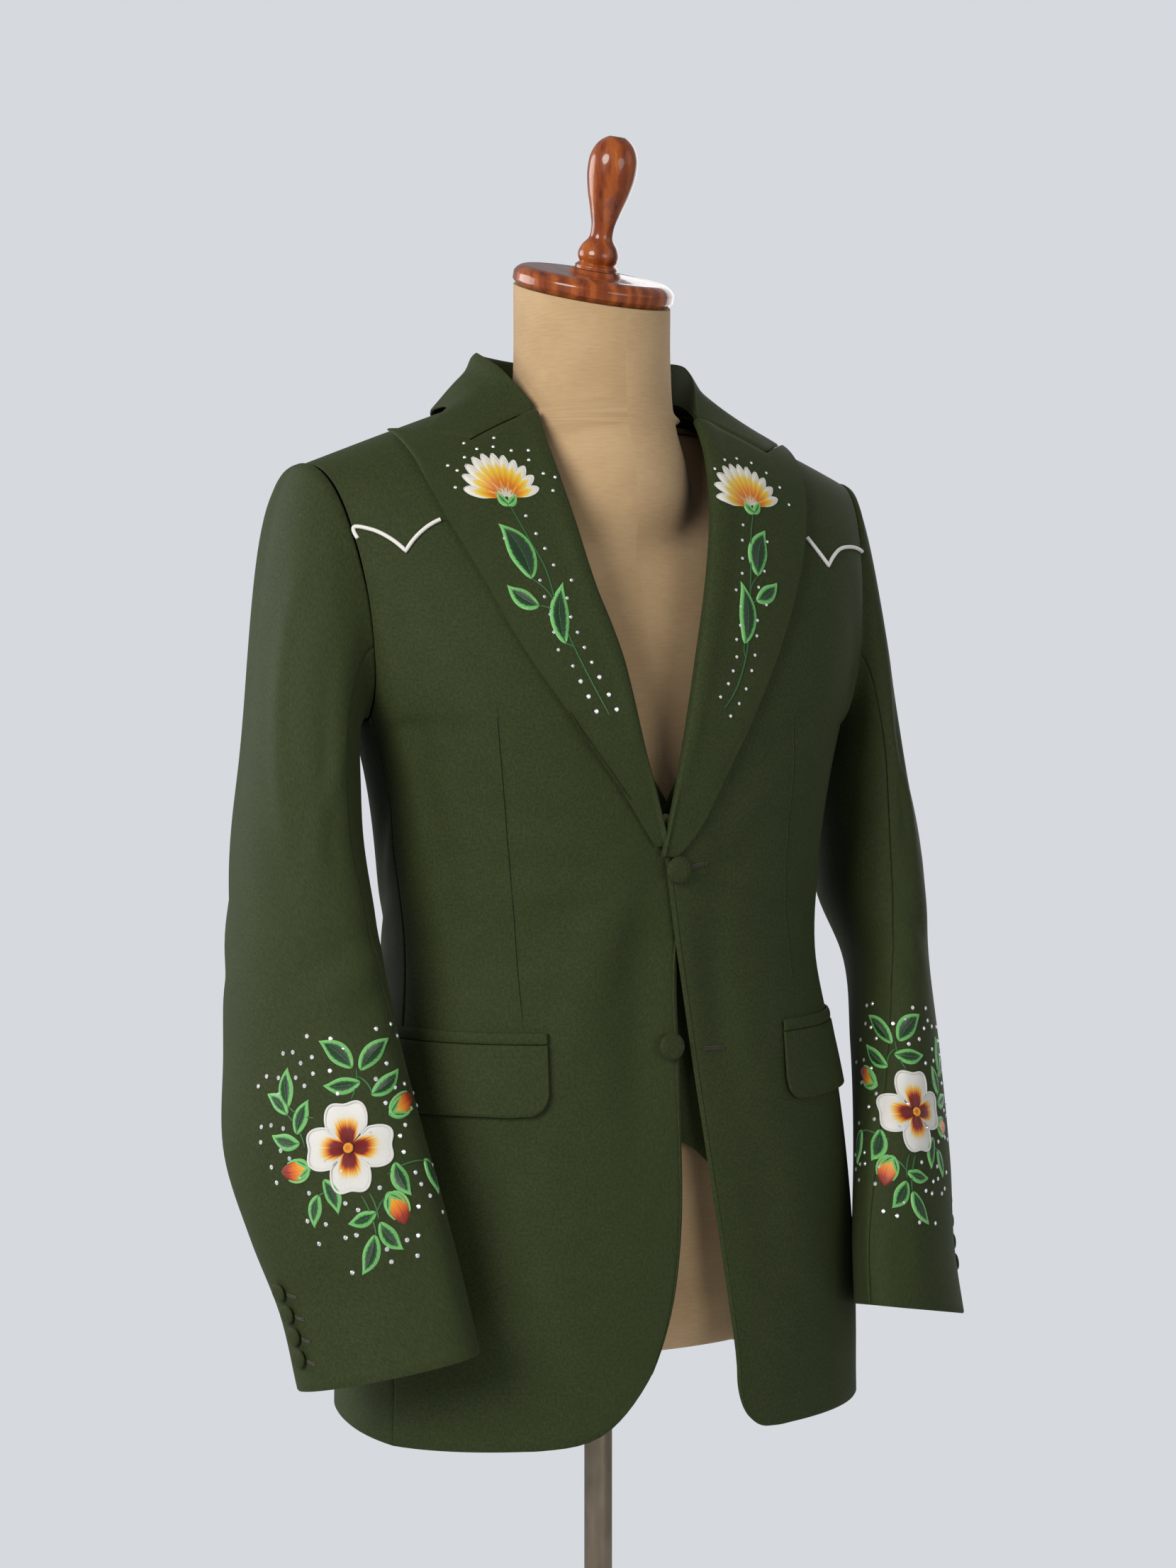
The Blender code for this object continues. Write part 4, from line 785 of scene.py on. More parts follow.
def collar_points():
    """The collar's outer points: up its stand, over the fold and down the leaf."""
    foot, fold, edge = collar_curves(COLLAR_STEPS)
    stand, leaf = foot - fold, edge - fold
    aside = unit(leaf * (1, 1, 0))
    rows = [foot] + [fold + stand * f for f in STAND_ROWS]
    rows += [fold + aside * out + (0, 0, up) for out, up in FOLD_ROWS]
    for f in LEAF_ROWS:
        rows.append(fold + leaf * f + np.array((0, 0, COLLAR_CROWN)) * math.sin(math.pi * f))
    outer = np.array(rows)
    end = raised(gorge_nodes(-1) + (0, TO_SEAM), LAPEL_LIFT)
    for j, flip in ((0, 1), (COLLAR_STEPS - 1, -1)):
        outer[4:, j] = end * (flip, 1, 1)
    return outer


class Sleeve:
    """A hanging sleeve.

    turn goes round from the front (0) over the outside (90) to the back (180), and s is 0 at
    the armhole, 1 below the sleeve head and 2 at the wrist.
    """

    MIDDLE = (0.215, 0.008, 1.325)  # the armhole's middle
    INSET, SUNK = 0.0014, 0.0008  # how far its seam lies inside the armhole, and below the cloth
    RISE = 0.012  # how steeply the sleeve head leaves its seam upwards, at the top

    def __init__(self, rows, side):
        self.rows, self.side = rows, side
        self.top, self.low = rows[0][0], rows[-1][0]

    def ring(self, turn, height):
        x, y, wide, narrow, bend, tip = (smooth(self.rows, k, height) for k in range(1, 7))
        bend, tip = np.radians(bend), np.radians(tip)
        ahead = np.stack([-self.side * np.sin(bend), -np.cos(bend), np.tan(tip)], axis=-1)
        away = np.stack([self.side * np.cos(bend), -np.sin(bend), np.zeros_like(bend)], axis=-1)
        middle = np.stack([x, y, np.broadcast_to(height, np.shape(x))], axis=-1)
        wide, narrow = wide[..., None], narrow[..., None]
        ahead, away = ahead * wide, away * narrow
        return middle + ahead * np.cos(turn)[..., None] + away * np.sin(turn)[..., None]

    def hole(self, turn):
        """Points of the sleeve's own edge, just inside the armhole's seam."""
        degrees = (np.degrees(turn) + 90) % 360 - 90
        back = degrees > 90
        folded = np.where(back, 180 - degrees, degrees)
        front = armhole(self.side, folded)
        rear = armhole(self.side, folded, back=True)
        where = np.where(back[:, None], rear, front)
        p, n = JACKET.both(where)
        inward = np.array(self.MIDDLE) * (self.side, 1, 1) - p
        inward -= (inward * n).sum(1, keepdims=True) * n
        return p + unit(inward) * self.INSET - n * self.SUNK

    def at(self, turn, s):
        """Points on the sleeve."""
        turn, s = np.broadcast_arrays(np.asarray(turn, float), np.asarray(s, float))
        shape, turn, s = turn.shape, turn.ravel(), s.ravel()
        height = self.top + (self.low - self.top) * np.clip(s - 1, 0, 1)
        hang = self.ring(turn, height)
        start = self.hole(turn)
        under = self.ring(turn, np.full(len(turn), self.top))
        below = self.ring(turn, np.full(len(turn), self.top - 0.01))
        lift = (1 + np.sin(turn)) / 2
        spring = CAP_OUT_LOW + (CAP_OUT_TOP[self.side] - CAP_OUT_LOW) * lift**1.5
        fall = CAP_DOWN_LOW + (CAP_DOWN_TOP - CAP_DOWN_LOW) * lift
        leave = np.stack([self.side * spring, 0 * spring, self.RISE * lift**4], axis=1)
        land = unit(below - under) * fall[:, None]
        f = np.clip(s, 0, 1)[:, None]
        cap = cubic(start, under, leave, land, f)
        return np.where((s < 1)[:, None], cap, hang).reshape(shape + (3,))

    def normal(self, turn, s):
        """The outward normals there."""
        step = 0.01
        round_ = self.at(turn + step, s) - self.at(turn - step, s)
        down = self.at(turn, np.minimum(s + step, 2)) - self.at(turn, np.maximum(s - step, 0))
        return unit(np.cross(down, round_)) * self.side

    def both(self, turn, s):
        """Points and normals."""
        return self.at(turn, s), self.normal(turn, s)


SLEEVES = {side: Sleeve(SLEEVE_ROWS[side], side) for side in (-1, 1)}


FLAP_STEPS = 9
FLAP_BENDS = 0.022  # length of the flap that its rounded corners take, at each end


def flap_grid(side, low, high, rounded, rows=4):
    """(d, t) and height of a pocket's flap or welt, the flap's lower corners rounded."""
    d = np.linspace(FLAP_FROM, FLAP_TO, FLAP_STEPS)
    if rounded:
        bend = FLAP_ROUND * (1 - np.cos(np.radians((0, 45, 90))))
        inner = np.linspace(FLAP_FROM + FLAP_BENDS, FLAP_TO - FLAP_BENDS, FLAP_STEPS - 4)
        d = np.r_[FLAP_FROM + bend * 0.5, inner]
        d = np.unique(np.r_[d, FLAP_TO - bend * 0.5])
    near = np.minimum(d - FLAP_FROM, FLAP_TO - d)
    curl = np.clip(1 - near / FLAP_ROUND, 0, 1)
    bottom = low + FLAP_ROUND * (1 - np.sqrt(1 - curl**2)) * rounded
    height = bottom[:, None] + (high - bottom)[:, None] * np.linspace(0, 1, rows)
    levels = (height - JACKET.hem) / (JACKET.armpit - JACKET.hem)
    across = np.broadcast_to(d[:, None], height.shape) * side
    return np.stack([across, levels], axis=-1), height


def piping_path(side):
    """(d, t) along the part of the yoke seam that the lapel leaves bare."""
    line = yoke_line(side, 0.0)
    start = abs(smooth(LAPEL_EDGE[side], 1, YOKE_LINE[side][3][1])) + PIPING_CLEAR
    line[-1, 0] -= side * PIPING_CLEAR / 2
    keep = np.abs(JACKET.places(line)[:, 0]) > start
    first = JACKET.spot(side * start, YOKE_LINE[side][3][1])
    return np.vstack([first, line[keep]])


VEST_LAP_WIDTH = 0.022
VEST_LAP_TOP, VEST_LAP_FALL = 1.20, 0.02  # the lap ends at this height, over this length


def vest_front_grid(side):
    """(d, t) of a waistcoat's front, and how far each point stands out."""
    centre = -side * VEST_LAP
    heights = np.linspace(VEST_NOTCH, VEST_NECK[0][0], 7)
    lower = VEST.spot(np.full(7, centre), heights)
    lower[:, 0] = centre
    upper = np.linspace(VEST_NECK[0][0], VEST_NECK[-1][0], 7)[1:]
    neck = VEST.spot(side * smooth(VEST_NECK, 1, upper), upper)
    first = np.vstack([lower, neck, [[side * VEST_NECK_X, VEST_TOP]]])
    last = vest_side(side, VEST_HOLE_FRONT, -SEAM)
    d = -VEST_LAP + (abs(last[0, 0]) + VEST_LAP) * VEST_ACROSS
    low = VEST.spot(side * d, np.interp(np.abs(d), *np.array(VEST_HEM).T))
    low[:, 0] = side * d
    low[0], low[-1] = first[0], last[0]
    strap = side * (VEST_NECK_X + (VEST_TIP_X - VEST_NECK_X) * VEST_ACROSS)
    high = np.column_stack([strap, np.full(len(strap), VEST_TOP)])
    last[-1], first[-1] = high[-1], high[0]
    where = coons(low, high, first, last, VEST_ACROSS)
    p = VEST.places(where)
    lap = np.exp(-((p[..., 0] / VEST_LAP_WIDTH) ** 4))
    lap = lap * np.clip((VEST_LAP_TOP - p[..., 2]) / VEST_LAP_FALL, 0, 1)
    return where, LAP * lap * (side > 0)


def vest_side(side, hole_rows, shift):
    """(d, t) up the waistcoat's side seam and round its armhole."""
    levels = np.linspace((VEST_SIDE_HEM - VEST.hem) / (VEST.armpit - VEST.hem), 1.0, 8)
    below = np.column_stack([side * (smooth(VEST_SIDE_SEAM, 1, levels) + shift), levels])
    levels = np.linspace(1.0, VEST_TOP, 7)[1:]
    return np.vstack([below, np.column_stack([side * smooth(hole_rows, 1, levels), levels])])


def vest_back_grid():
    """(d, t) of the left half of the waistcoat's back, from its side to the centre back."""
    full = np.interp(VEST_TOP, VEST.levels, VEST.along[:, -1])
    left = vest_side(1, VEST_HOLE_BACK + ((VEST_TOP, full - VEST_TIP_X),), SEAM)
    x = np.array([VEST_TIP_X, (VEST_TIP_X + VEST_NECK_X) / 2, VEST_NECK_X])
    strap = np.column_stack([full - x, np.full(3, VEST_TOP)])
    rim = VEST.spot(*np.array(VEST_BACK_NECK).T, back=True)
    high = np.vstack([strap, rim])
    levels = np.linspace(left[0, 1], high[-1, 1], len(left))
    centre = np.column_stack([np.interp(levels, VEST.levels, VEST.along[:, -1]), levels])
    low = between(left[0], centre[0], len(high))
    return coons(low, high, left, centre)


FORM_TURNS = 721
HUB_FROM, HUB_RISE = 1.36, 0.1  # the outline's hub moves over to the neck's axis from here up
BLEND = 28  # how sharply the neck rises out of the shoulders


def section(z, turns):
    """The form's outline at a height, seen from above: shoulders and neck run into each other."""
    width, front, back, middle, square = (smooth(FORM_RINGS, k, z) for k in range(1, 6))
    fine = np.linspace(0, 2 * np.pi, FORM_TURNS)
    c, s = np.cos(fine), np.sin(fine)
    x = width * np.sign(s) * np.abs(s) ** (2 / square)
    y = middle - np.where(c > 0, front, back) * np.sign(c) * np.abs(c) ** (2 / square)
    hub = np.array([NECK_X * np.clip((z - HUB_FROM) / HUB_RISE, 0, 1), middle * 0.5])
    angle = np.unwrap(np.arctan2(x - hub[0], hub[1] - y))
    reach = np.interp(turns, angle, np.hypot(x - hub[0], y - hub[1]), period=2 * np.pi)
    neck = smooth(FORM_NECK, 1, z)
    off = hub - (NECK_X, 0)
    ahead = np.stack([np.sin(turns), -np.cos(turns)], axis=1)
    along = ahead @ off
    round_neck = -along + np.sqrt(np.maximum(along**2 - off @ off + neck**2, 1e-9))
    if z > FORM_RINGS[-1][0]:
        reach = 0 * reach
    reach = (reach**BLEND + round_neck**BLEND) ** (1 / BLEND)
    return hub + ahead * reach[:, None]


TORSO_LEVELS = np.r_[
    0.766, 0.776, np.linspace(0.800, 1.345, 12), 1.38, 1.41, 1.430, 1.445, 1.455,
    1.4632, 1.4692, 1.4747, 1.483, 1.50, 1.53, NECK_TOP,
]
LEAN_FROM = 1.50


def neck_lean(x, y, z):
    """The neck's top is cut to a slope: how far a point there moves up."""
    share = max(z - LEAN_FROM, 0) / (NECK_TOP - LEAN_FROM)
    return share * (y * math.tan(NECK_TIP_FORWARD) - (x - NECK_X) * math.tan(NECK_TIP_SIDE))


def button_profile(radius, thick):
    """A cloth-covered button: a low dome over a rim that is drawn in underneath."""
    return (
        (radius * 0.78, 0.0),
        (radius * 0.97, thick * 0.22),
        (radius, thick * 0.45),
        (radius * 0.90, thick * 0.75),
        (radius * 0.62, thick * 0.94),
        (radius * 0.28, thick),
    )


def cuff_button_spot(side, i):
    """Turn and s of a cuff button, counted up from the wrist."""
    z = CUFF_BUTTON_LOW[side] + i * CUFF_BUTTON_STEP
    sleeve = SLEEVES[side]
    return np.radians(float(CUFF_BUTTON_TURN)), 1 + (sleeve.top - z) / (sleeve.top - sleeve.low)


# Fine grids of points, made from the coarse ones that the solids use.


LEVEL = 0.3  # metres of cloth that one level of a skin is taken to be


def finer_line(points, k, sharp=(), weights=1.0):
    """A line of points with k steps for each one, on a smooth curve that may bend at sharp ones."""
    ends = [0] + [i for i in sharp if 0 < i < len(points) - 1] + [len(points) - 1]
    found = [points[:1]]
    for a, b in zip(ends[:-1], ends[1:]):
        part = points[a : b + 1]
        far = np.linalg.norm(np.diff(part * weights, axis=0), axis=1)
        keys = np.r_[0, np.cumsum(far + 1e-7)]
        share = np.arange(1, k + 1) / k
        if len(part) == 2:
            found.append(part[:1] + (part[1:] - part[:1]) * share[:, None])
            continue
        slopes = np.gradient(part, keys, axis=0, edge_order=2)
        for i in range(len(part) - 1):
            step = keys[i + 1] - keys[i]
            f = share[:, None]
            found.append(cubic(part[i], part[i + 1], slopes[i], slopes[i + 1], f, step))
    return np.vstack(found)


def finer(grid, steps_of, sharp=((), ()), weights=1.0):
    """A finer grid of values through a coarse one, with the steps and the bends of its two axes."""
    (first, second), (one, two) = steps_of, sharp
    lines = [finer_line(grid[:, j], first, one, weights) for j in range(grid.shape[1])]
    grid = np.stack(lines, 1)
    return np.stack([finer_line(line, second, two, weights) for line in grid], 0)


def edged(grid, measure, near=0.0013):
    """The grid with one more line beside each border, for a pressed edge or a sewn seam."""
    for axis in (0, 1):
        for end in (0, -1):
            swapped = np.moveaxis(grid, axis, 0)
            places = np.moveaxis(measure(grid), axis, 0)
            a, b = (0, 1) if end == 0 else (-1, -2)
            far = np.linalg.norm(places[b] - places[a], axis=-1)
            share = np.clip(near / np.maximum(far, 1e-6), 0.05, 0.5)[:, None]
            line = swapped[a] * (1 - share) + swapped[b] * share
            swapped = np.insert(swapped, 1 if end == 0 else len(swapped) - 1, line, axis=0)
            grid = np.moveaxis(swapped, 0, axis)
    return grid


def border_drop(shape, first=1):
    """How much of the pressed edge each point of a grid takes, on its first border and the rest."""
    drop = np.zeros(shape)
    drop[0] = first
    drop[-1] = drop[:, 0] = drop[:, -1] = 1
    return drop


def mesh_object(name, verts, faces, materials, uvs=None, slots=None, smooth_angle=50):
    """A mesh with its materials, its uv layers as a name and a pair for each vertex."""
    mesh = bpy.data.meshes.new(name)
    mesh.from_pydata([tuple(v) for v in np.asarray(verts, float)], [], faces)
    for material in materials:
        mesh.materials.append(material)
    if slots is not None:
        mesh.polygons.foreach_set("material_index", np.asarray(slots, np.int32))
    corners = np.empty(len(mesh.loops), np.int32)
    mesh.loops.foreach_get("vertex_index", corners)
    for layer_name, pairs in (uvs or {}).items():
        layer = mesh.uv_layers.new(name=layer_name)
        layer.data.foreach_set("uv", np.asarray(pairs, np.float32)[corners].ravel())
    mesh.update()
    mesh.shade_smooth()
    mesh.set_sharp_from_angle(angle=math.radians(smooth_angle))
    piece = bpy.data.objects.new(name, mesh)
    bpy.context.scene.collection.objects.link(piece)
    piece.location = SHIFT
    return piece


def grid_faces(nu, nv, start=0, flip=False):
    """The faces of a grid of nu by nv points."""
    i, j = np.meshgrid(np.arange(nu - 1), np.arange(nv - 1), indexing="ij")
    a = start + (i * nv + j).ravel()
    quads = np.stack([a, a + nv, a + nv + 1, a + 1], axis=1)
    return quads[:, ::-1] if flip else quads


def turned_in(points, outwards):
    """Whether a grid's faces look away from the side that outwards says, at its middle."""
    i, j = points.shape[0] // 2, points.shape[1] // 2
    turn = np.cross(points[i + 1, j] - points[i, j], points[i, j + 1] - points[i, j])
    return turn @ outwards[i, j] < 0


def border_of(nu, nv):
    """The points on a grid's border, in one round."""
    border = [(i, 0) for i in range(nu)] + [(nu - 1, j) for j in range(1, nv)]
    border += [(i, nv - 1) for i in range(nu - 2, -1, -1)] + [(0, j) for j in range(nv - 2, 0, -1)]
    return np.array([i * nv + j for i, j in border])


def shell(name, outer, inner, weave, materials):
    """A closed wall between two fine grids: suiting outside and on the rim, lining inside."""
    nu, nv = outer.shape[:2]
    count = nu * nv
    verts = np.vstack([outer.reshape(-1, 3), inner.reshape(-1, 3)])
    flip = turned_in(outer, outer - inner)
    front, back = grid_faces(nu, nv, 0, flip), grid_faces(nu, nv, count, not flip)
    ring = border_of(nu, nv)
    after = np.roll(ring, -1)
    rim = np.stack([after, ring, count + ring, count + after], axis=1)
    rim = rim[:, ::-1] if flip else rim
    faces = np.vstack([front, back, rim]).tolist()
    slots = np.r_[np.zeros(len(front)), np.ones(len(back)), np.zeros(len(rim))].astype(int)
    pairs = np.vstack([weave.reshape(-1, 2)] * 2)
    return mesh_object(name, verts, faces, materials, {"weave": pairs}, slots)


def put(piece, slot, *nodes):
    """Rides the piece on the only body, and hides the solids it stands for. Its slot, the name of
    its finish, is not used.
    """
    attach(piece, "root")
    if nodes:
        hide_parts(*nodes)
    return piece


# Creases: soft troughs and ridges, each on a bowed line between two points.

CREASE_GAIN = 1.4  # how much deeper the creases are pressed than their rows say
CREASE_END = 1.4  # how far a crease runs out at its ends, in its own widths


def creases(x, y, rows):
    """Height of the creases at points of a cloth laid flat: x across and y up, in metres."""
    height = np.zeros(np.shape(x))
    for x0, y0, x1, y1, width, depth, bow in rows:
        along, across = np.array([x1 - x0, y1 - y0]), np.array([y0 - y1, x1 - x0])
        reach = np.hypot(*along)
        f = ((x - x0) * along[0] + (y - y0) * along[1]) / reach**2
        off = ((x - x0) * across[0] + (y - y0) * across[1]) / reach
        inside = np.clip(f, 0, 1)
        off = off - bow * 4 * inside * (1 - inside)
        beyond = (f - inside) * reach / (width * CREASE_END)
        ends = np.sin(np.pi * np.clip(inside * 0.86 + 0.07, 0, 1)) ** 0.7
        height += CREASE_GAIN * depth * ends * np.exp(-((off / width) ** 2) - beyond**2)
    return height


WAVES = ((11, 7, 0.5), (23, -13, 0.3), (-17, 31, 0.2), (41, 19, 0.12))  # across, up, share


def unevenness(x, y, amount, seed):
    """Slow unevenness of a hanging cloth."""
    height = 0
    for k, (a, b, share) in enumerate(WAVES):
        height = height + share * np.sin(a * x + b * y + seed * (k + 1.7) * 2.1)
    return amount * height


# Materials. Lengths in them are metres, because the weave's uv and the objects are.


class Shader:
    """A material with one Principled shader, and short calls to add and join its nodes."""

    def __init__(self, name, roughness=0.5, metallic=0.0, **sockets):
        self.material = bpy.data.materials.new(name)
        self.material.use_nodes = True
        self.tree = self.material.node_tree
        self.shader = self.tree.nodes["Principled BSDF"]
        values = {"Roughness": roughness, "Metallic": metallic}
        values.update({key.replace("_", " "): value for key, value in sockets.items()})
        for key, value in values.items():
            self.shader.inputs[key].default_value = value

    def node(self, kind, settings=None, **inputs):
        """Adds a node; inputs are named, or numbered as _0, _1."""
        node = self.tree.nodes.new("ShaderNode" + kind)
        for key, value in (settings or {}).items():
            setattr(node, key, value)
        for key, value in inputs.items():
            socket = node.inputs[int(key[1:]) if key[0] == "_" else key.replace("_", " ")]
            if isinstance(value, bpy.types.NodeSocket):
                self.tree.links.new(value, socket)
            else:
                socket.default_value = value
        return node

    def uv(self, layer):
        """One of a mesh's uv layers."""
        return self.node("UVMap", {"uv_map": layer}).outputs[0]

    def place(self):
        """The place in the object, in metres."""
        return self.node("TexCoord").outputs["Object"]

    def mapped(self, vector, scale=(1, 1, 1), turn=(0, 0, 0)):
        """A vector, stretched and turned."""
        return self.node("Mapping", Vector=vector, Scale=scale, Rotation=turn).outputs[0]

    def waves(self, vector, period, distortion=0.0, rough=1.0, direction="X"):
        """Fine lines across a vector's direction, one in each period."""
        settings = {"wave_type": "BANDS", "bands_direction": direction}
        scale = 2 * math.pi / 20 / period
        node = self.node(
            "TexWave", settings, Vector=vector, Scale=scale, Distortion=distortion,
            Detail=1.0, Detail_Scale=rough,
        )
        return node.outputs["Fac"]

    def noise(self, vector, size, detail=2.0, distortion=0.0):
        """Noise with patches of about a size in metres."""
        node = self.node(
            "TexNoise", None, Vector=vector, Scale=1 / size, Detail=detail, Distortion=distortion
        )
        return node.outputs["Fac"]

    def math(self, operation, a, b):
        return self.node("Math", {"operation": operation}, _0=a, _1=b).outputs[0]

    def sum_of(self, a, share_a, b, share_b):
        """Two tones, each times its share."""
        a, b = self.math("MULTIPLY", a, share_a), self.math("MULTIPLY", b, share_b)
        return self.math("ADD", a, b)

    def ramp(self, factor, stops, smooth=True):
        """Colours by a tone."""
        node = self.node("ValToRGB", None, Fac=factor)
        node.color_ramp.interpolation = "EASE" if smooth else "LINEAR"
        while len(node.color_ramp.elements) < len(stops):
            node.color_ramp.elements.new(0.5)
        for element, (at, colour) in zip(node.color_ramp.elements, stops):
            element.position = at
            element.color = (*colour, 1)
        return node.outputs["Color"]

    def mix(self, share, a, b):
        """From one colour to another."""
        node = self.node("Mix", {"data_type": "RGBA"})
        for socket, value in ((node.inputs[0], share), (node.inputs[6], a), (node.inputs[7], b)):
            if isinstance(value, bpy.types.NodeSocket):
                self.tree.links.new(value, socket)
            else:
                socket.default_value = value if socket == node.inputs[0] else (*value, 1)
        return node.outputs[2]

    def multiplied(self, colour, layer, share=1.0):
        """A colour times a layer, by a share."""
        node = self.node("Mix", {"data_type": "RGBA", "blend_type": "MULTIPLY"})
        node.inputs[0].default_value = share
        self.tree.links.new(colour, node.inputs[6])
        self.tree.links.new(layer, node.inputs[7])
        return node.outputs[2]

    def colour(self, socket):
        self.tree.links.new(socket, self.shader.inputs["Base Color"])

    def roughness(self, tone, gain, low):
        """Roughness that goes up from low with a tone."""
        rough = self.math("ADD", self.math("MULTIPLY", tone, gain), low)
        self.tree.links.new(rough, self.shader.inputs["Roughness"])

    def bump(self, *heights):
        """Bumps of (height socket, strength, depth in metres), one on another."""
        normal = None
        for height, strength, depth in heights:
            node = self.node("Bump", None, Height=height, Strength=strength, Distance=depth)
            if normal is not None:
                self.tree.links.new(normal, node.inputs["Normal"])
            normal = node.outputs[0]
        self.tree.links.new(normal, self.shader.inputs["Normal"])


def scaled(colour, share):
    """A darker or lighter shade of a colour."""
    return tuple(channel * share for channel in colour)


OLIVE = (0.0310, 0.0430, 0.0130)  # the suiting's colour, linear
TWILL_PERIOD = 0.00085  # between two ribs, and their slant
TWILL_TURN = math.radians(62)


def twill(name, vector_of, colour=OLIVE):
    """Fine wool twill: slanted ribs, single fibres, and a slow mottle of the dye."""
    s = Shader(
        name, 0.72, Sheen_Weight=0.05, Sheen_Roughness=0.45, Sheen_Tint=(0.62, 0.72, 0.50, 1),
        Specular_IOR_Level=0.16,
    )
    base = vector_of(s)
    ribs = s.waves(s.mapped(base, turn=(0, 0, TWILL_TURN)), TWILL_PERIOD, 0.8, 1.5)
    warp = s.noise(s.mapped(base, scale=(1, 0.12, 1)), 0.0007, 2.0)
    fibres = s.noise(base, 0.0011, 3.0)
    mottle = s.noise(base, 0.020, 3.0)
    clouds = s.noise(base, 0.16, 2.0)
    dark, light = scaled(colour, 0.72), scaled(colour, 1.22)
    shade = s.ramp(s.sum_of(ribs, 0.30, warp, 0.55), ((0.15, dark), (0.80, light)))
    soft = s.ramp(mottle, ((0.30, (0.95, 0.96, 0.95)), (0.70, (1.04, 1.03, 1.04))))
    wide = s.ramp(clouds, ((0.30, (0.97, 0.975, 0.97)), (0.70, (1.03, 1.025, 1.02))))
    flecks = s.noise(base, 0.0021, 2.0)
    heather = s.ramp(flecks, ((0.34, (0.84, 0.86, 0.82)), (0.66, (1.16, 1.13, 1.20))))
    for layer in (soft, wide, heather):
        shade = s.multiplied(shade, layer)
    s.colour(shade)
    s.roughness(fibres, 0.16, 0.64)
    s.bump(
        (clouds, 0.05, 0.002), (mottle, 0.05, 0.0006),
        (ribs, 0.25, 0.00010), (fibres, 0.25, 0.00014),
    )
    return s.material


def make_lining():
    """Lining satin, with the fine lines of its threads."""
    s = Shader("lining_satin", 0.34, Specular_IOR_Level=0.45, Sheen_Weight=0.05)
    base = s.uv("weave")
    threads = s.waves(base, 0.0006, 0.5)
    clouds = s.noise(base, 0.05, 3.0)
    tone = s.sum_of(threads, 0.3, clouds, 0.7)
    s.colour(s.ramp(tone, ((0.2, (0.020, 0.026, 0.012)), (0.8, (0.036, 0.046, 0.022)))))
    s.roughness(clouds, 0.2, 0.26)
    s.bump((clouds, 0.15, 0.002), (threads, 0.20, 0.00008))
    return s.material


def make_linen():
    """Stretched tan cotton over the form: plain weave, slubs and a soft, handled mottle."""
    s = Shader("form_linen", 0.88, Sheen_Weight=0.10, Sheen_Roughness=0.6, Specular_IOR_Level=0.18)
    base = s.uv("weave")
    one, two = s.waves(base, 0.0011, 1.0), s.waves(base, 0.0011, 1.0, direction="Y")
    weave = s.math("MULTIPLY", one, two)
    slubs = s.noise(s.mapped(base, scale=(0.15, 1, 1)), 0.0016, 3.0)
    stains = s.noise(base, 0.07, 4.0)
    tone = s.sum_of(slubs, 0.35, stains, 0.65)
    cloth = s.ramp(tone, ((0.30, (0.42, 0.275, 0.140)), (0.72, (0.53, 0.365, 0.200))))
    s.colour(s.mix(s.math("MULTIPLY", weave, 0.22), cloth, (0.60, 0.44, 0.26)))
    s.roughness(stains, 0.15, 0.78)
    s.bump((stains, 0.10, 0.002), (slubs, 0.25, 0.0002), (weave, 0.40, 0.00016))
    return s.material


def make_wood():
    """Varnished hardwood: long dark grain in red-brown, under a clear gloss coat."""
    s = Shader(
        "polished_wood", 0.30, Coat_Weight=0.65, Coat_Roughness=0.05, Specular_IOR_Level=0.25
    )
    base = s.place()
    bent = s.noise(s.mapped(base, scale=(1, 1, 0.10)), 0.006, 4.0, 0.6)
    rings = s.waves(s.mapped(base, scale=(1, 1, 0.16)), 0.012, 6.0, 1.3)
    pores = s.noise(s.mapped(base, scale=(1, 1, 0.05)), 0.0009, 2.0)
    browns = (
        (0.22, (0.100, 0.018, 0.004)),
        (0.42, (0.215, 0.042, 0.008)),
        (0.66, (0.360, 0.086, 0.013)),
        (0.86, (0.500, 0.145, 0.024)),
    )
    grain = s.ramp(s.sum_of(bent, 0.76, rings, 0.24), browns)
    pores = s.math("MULTIPLY", s.ramp(pores, ((0.30, (1, 1, 1)), (0.42, (0, 0, 0)))), 0.35)
    s.colour(s.mix(pores, grain, (0.050, 0.014, 0.006)))
    s.roughness(bent, 0.14, 0.22)
    s.bump((bent, 0.04, 0.0006))
    return s.material


def make_steel():
    """Steel tube with a drawn finish, lightly tarnished brown."""
    s = Shader("brushed_steel", 0.30, 1.0)
    base = s.place()
    drawn = s.noise(s.mapped(base, scale=(1, 1, 0.02)), 0.0008, 3.0)
    tarnish = s.noise(s.mapped(base, scale=(1, 1, 0.35)), 0.012, 4.0)
    s.colour(s.mix(tarnish, (0.20, 0.155, 0.105), (0.42, 0.35, 0.26)))
    s.roughness(s.sum_of(drawn, 0.16, tarnish, 0.20), 1.0, 0.16)
    s.bump((drawn, 0.10, 0.0001))
    return s.material


def make_iron():
    """Cast iron under satin paint, with the casting's soft pits."""
    s = Shader("painted_iron", 0.48, Specular_IOR_Level=0.5)
    base = s.place()
    pits = s.noise(base, 0.0035, 4.0)
    worn = s.noise(base, 0.05, 4.0)
    s.colour(s.ramp(worn, ((0.30, (0.016, 0.015, 0.014)), (0.72, (0.036, 0.034, 0.031)))))
    s.roughness(pits, 0.20, 0.36)
    s.bump((pits, 0.25, 0.0006))
    return s.material


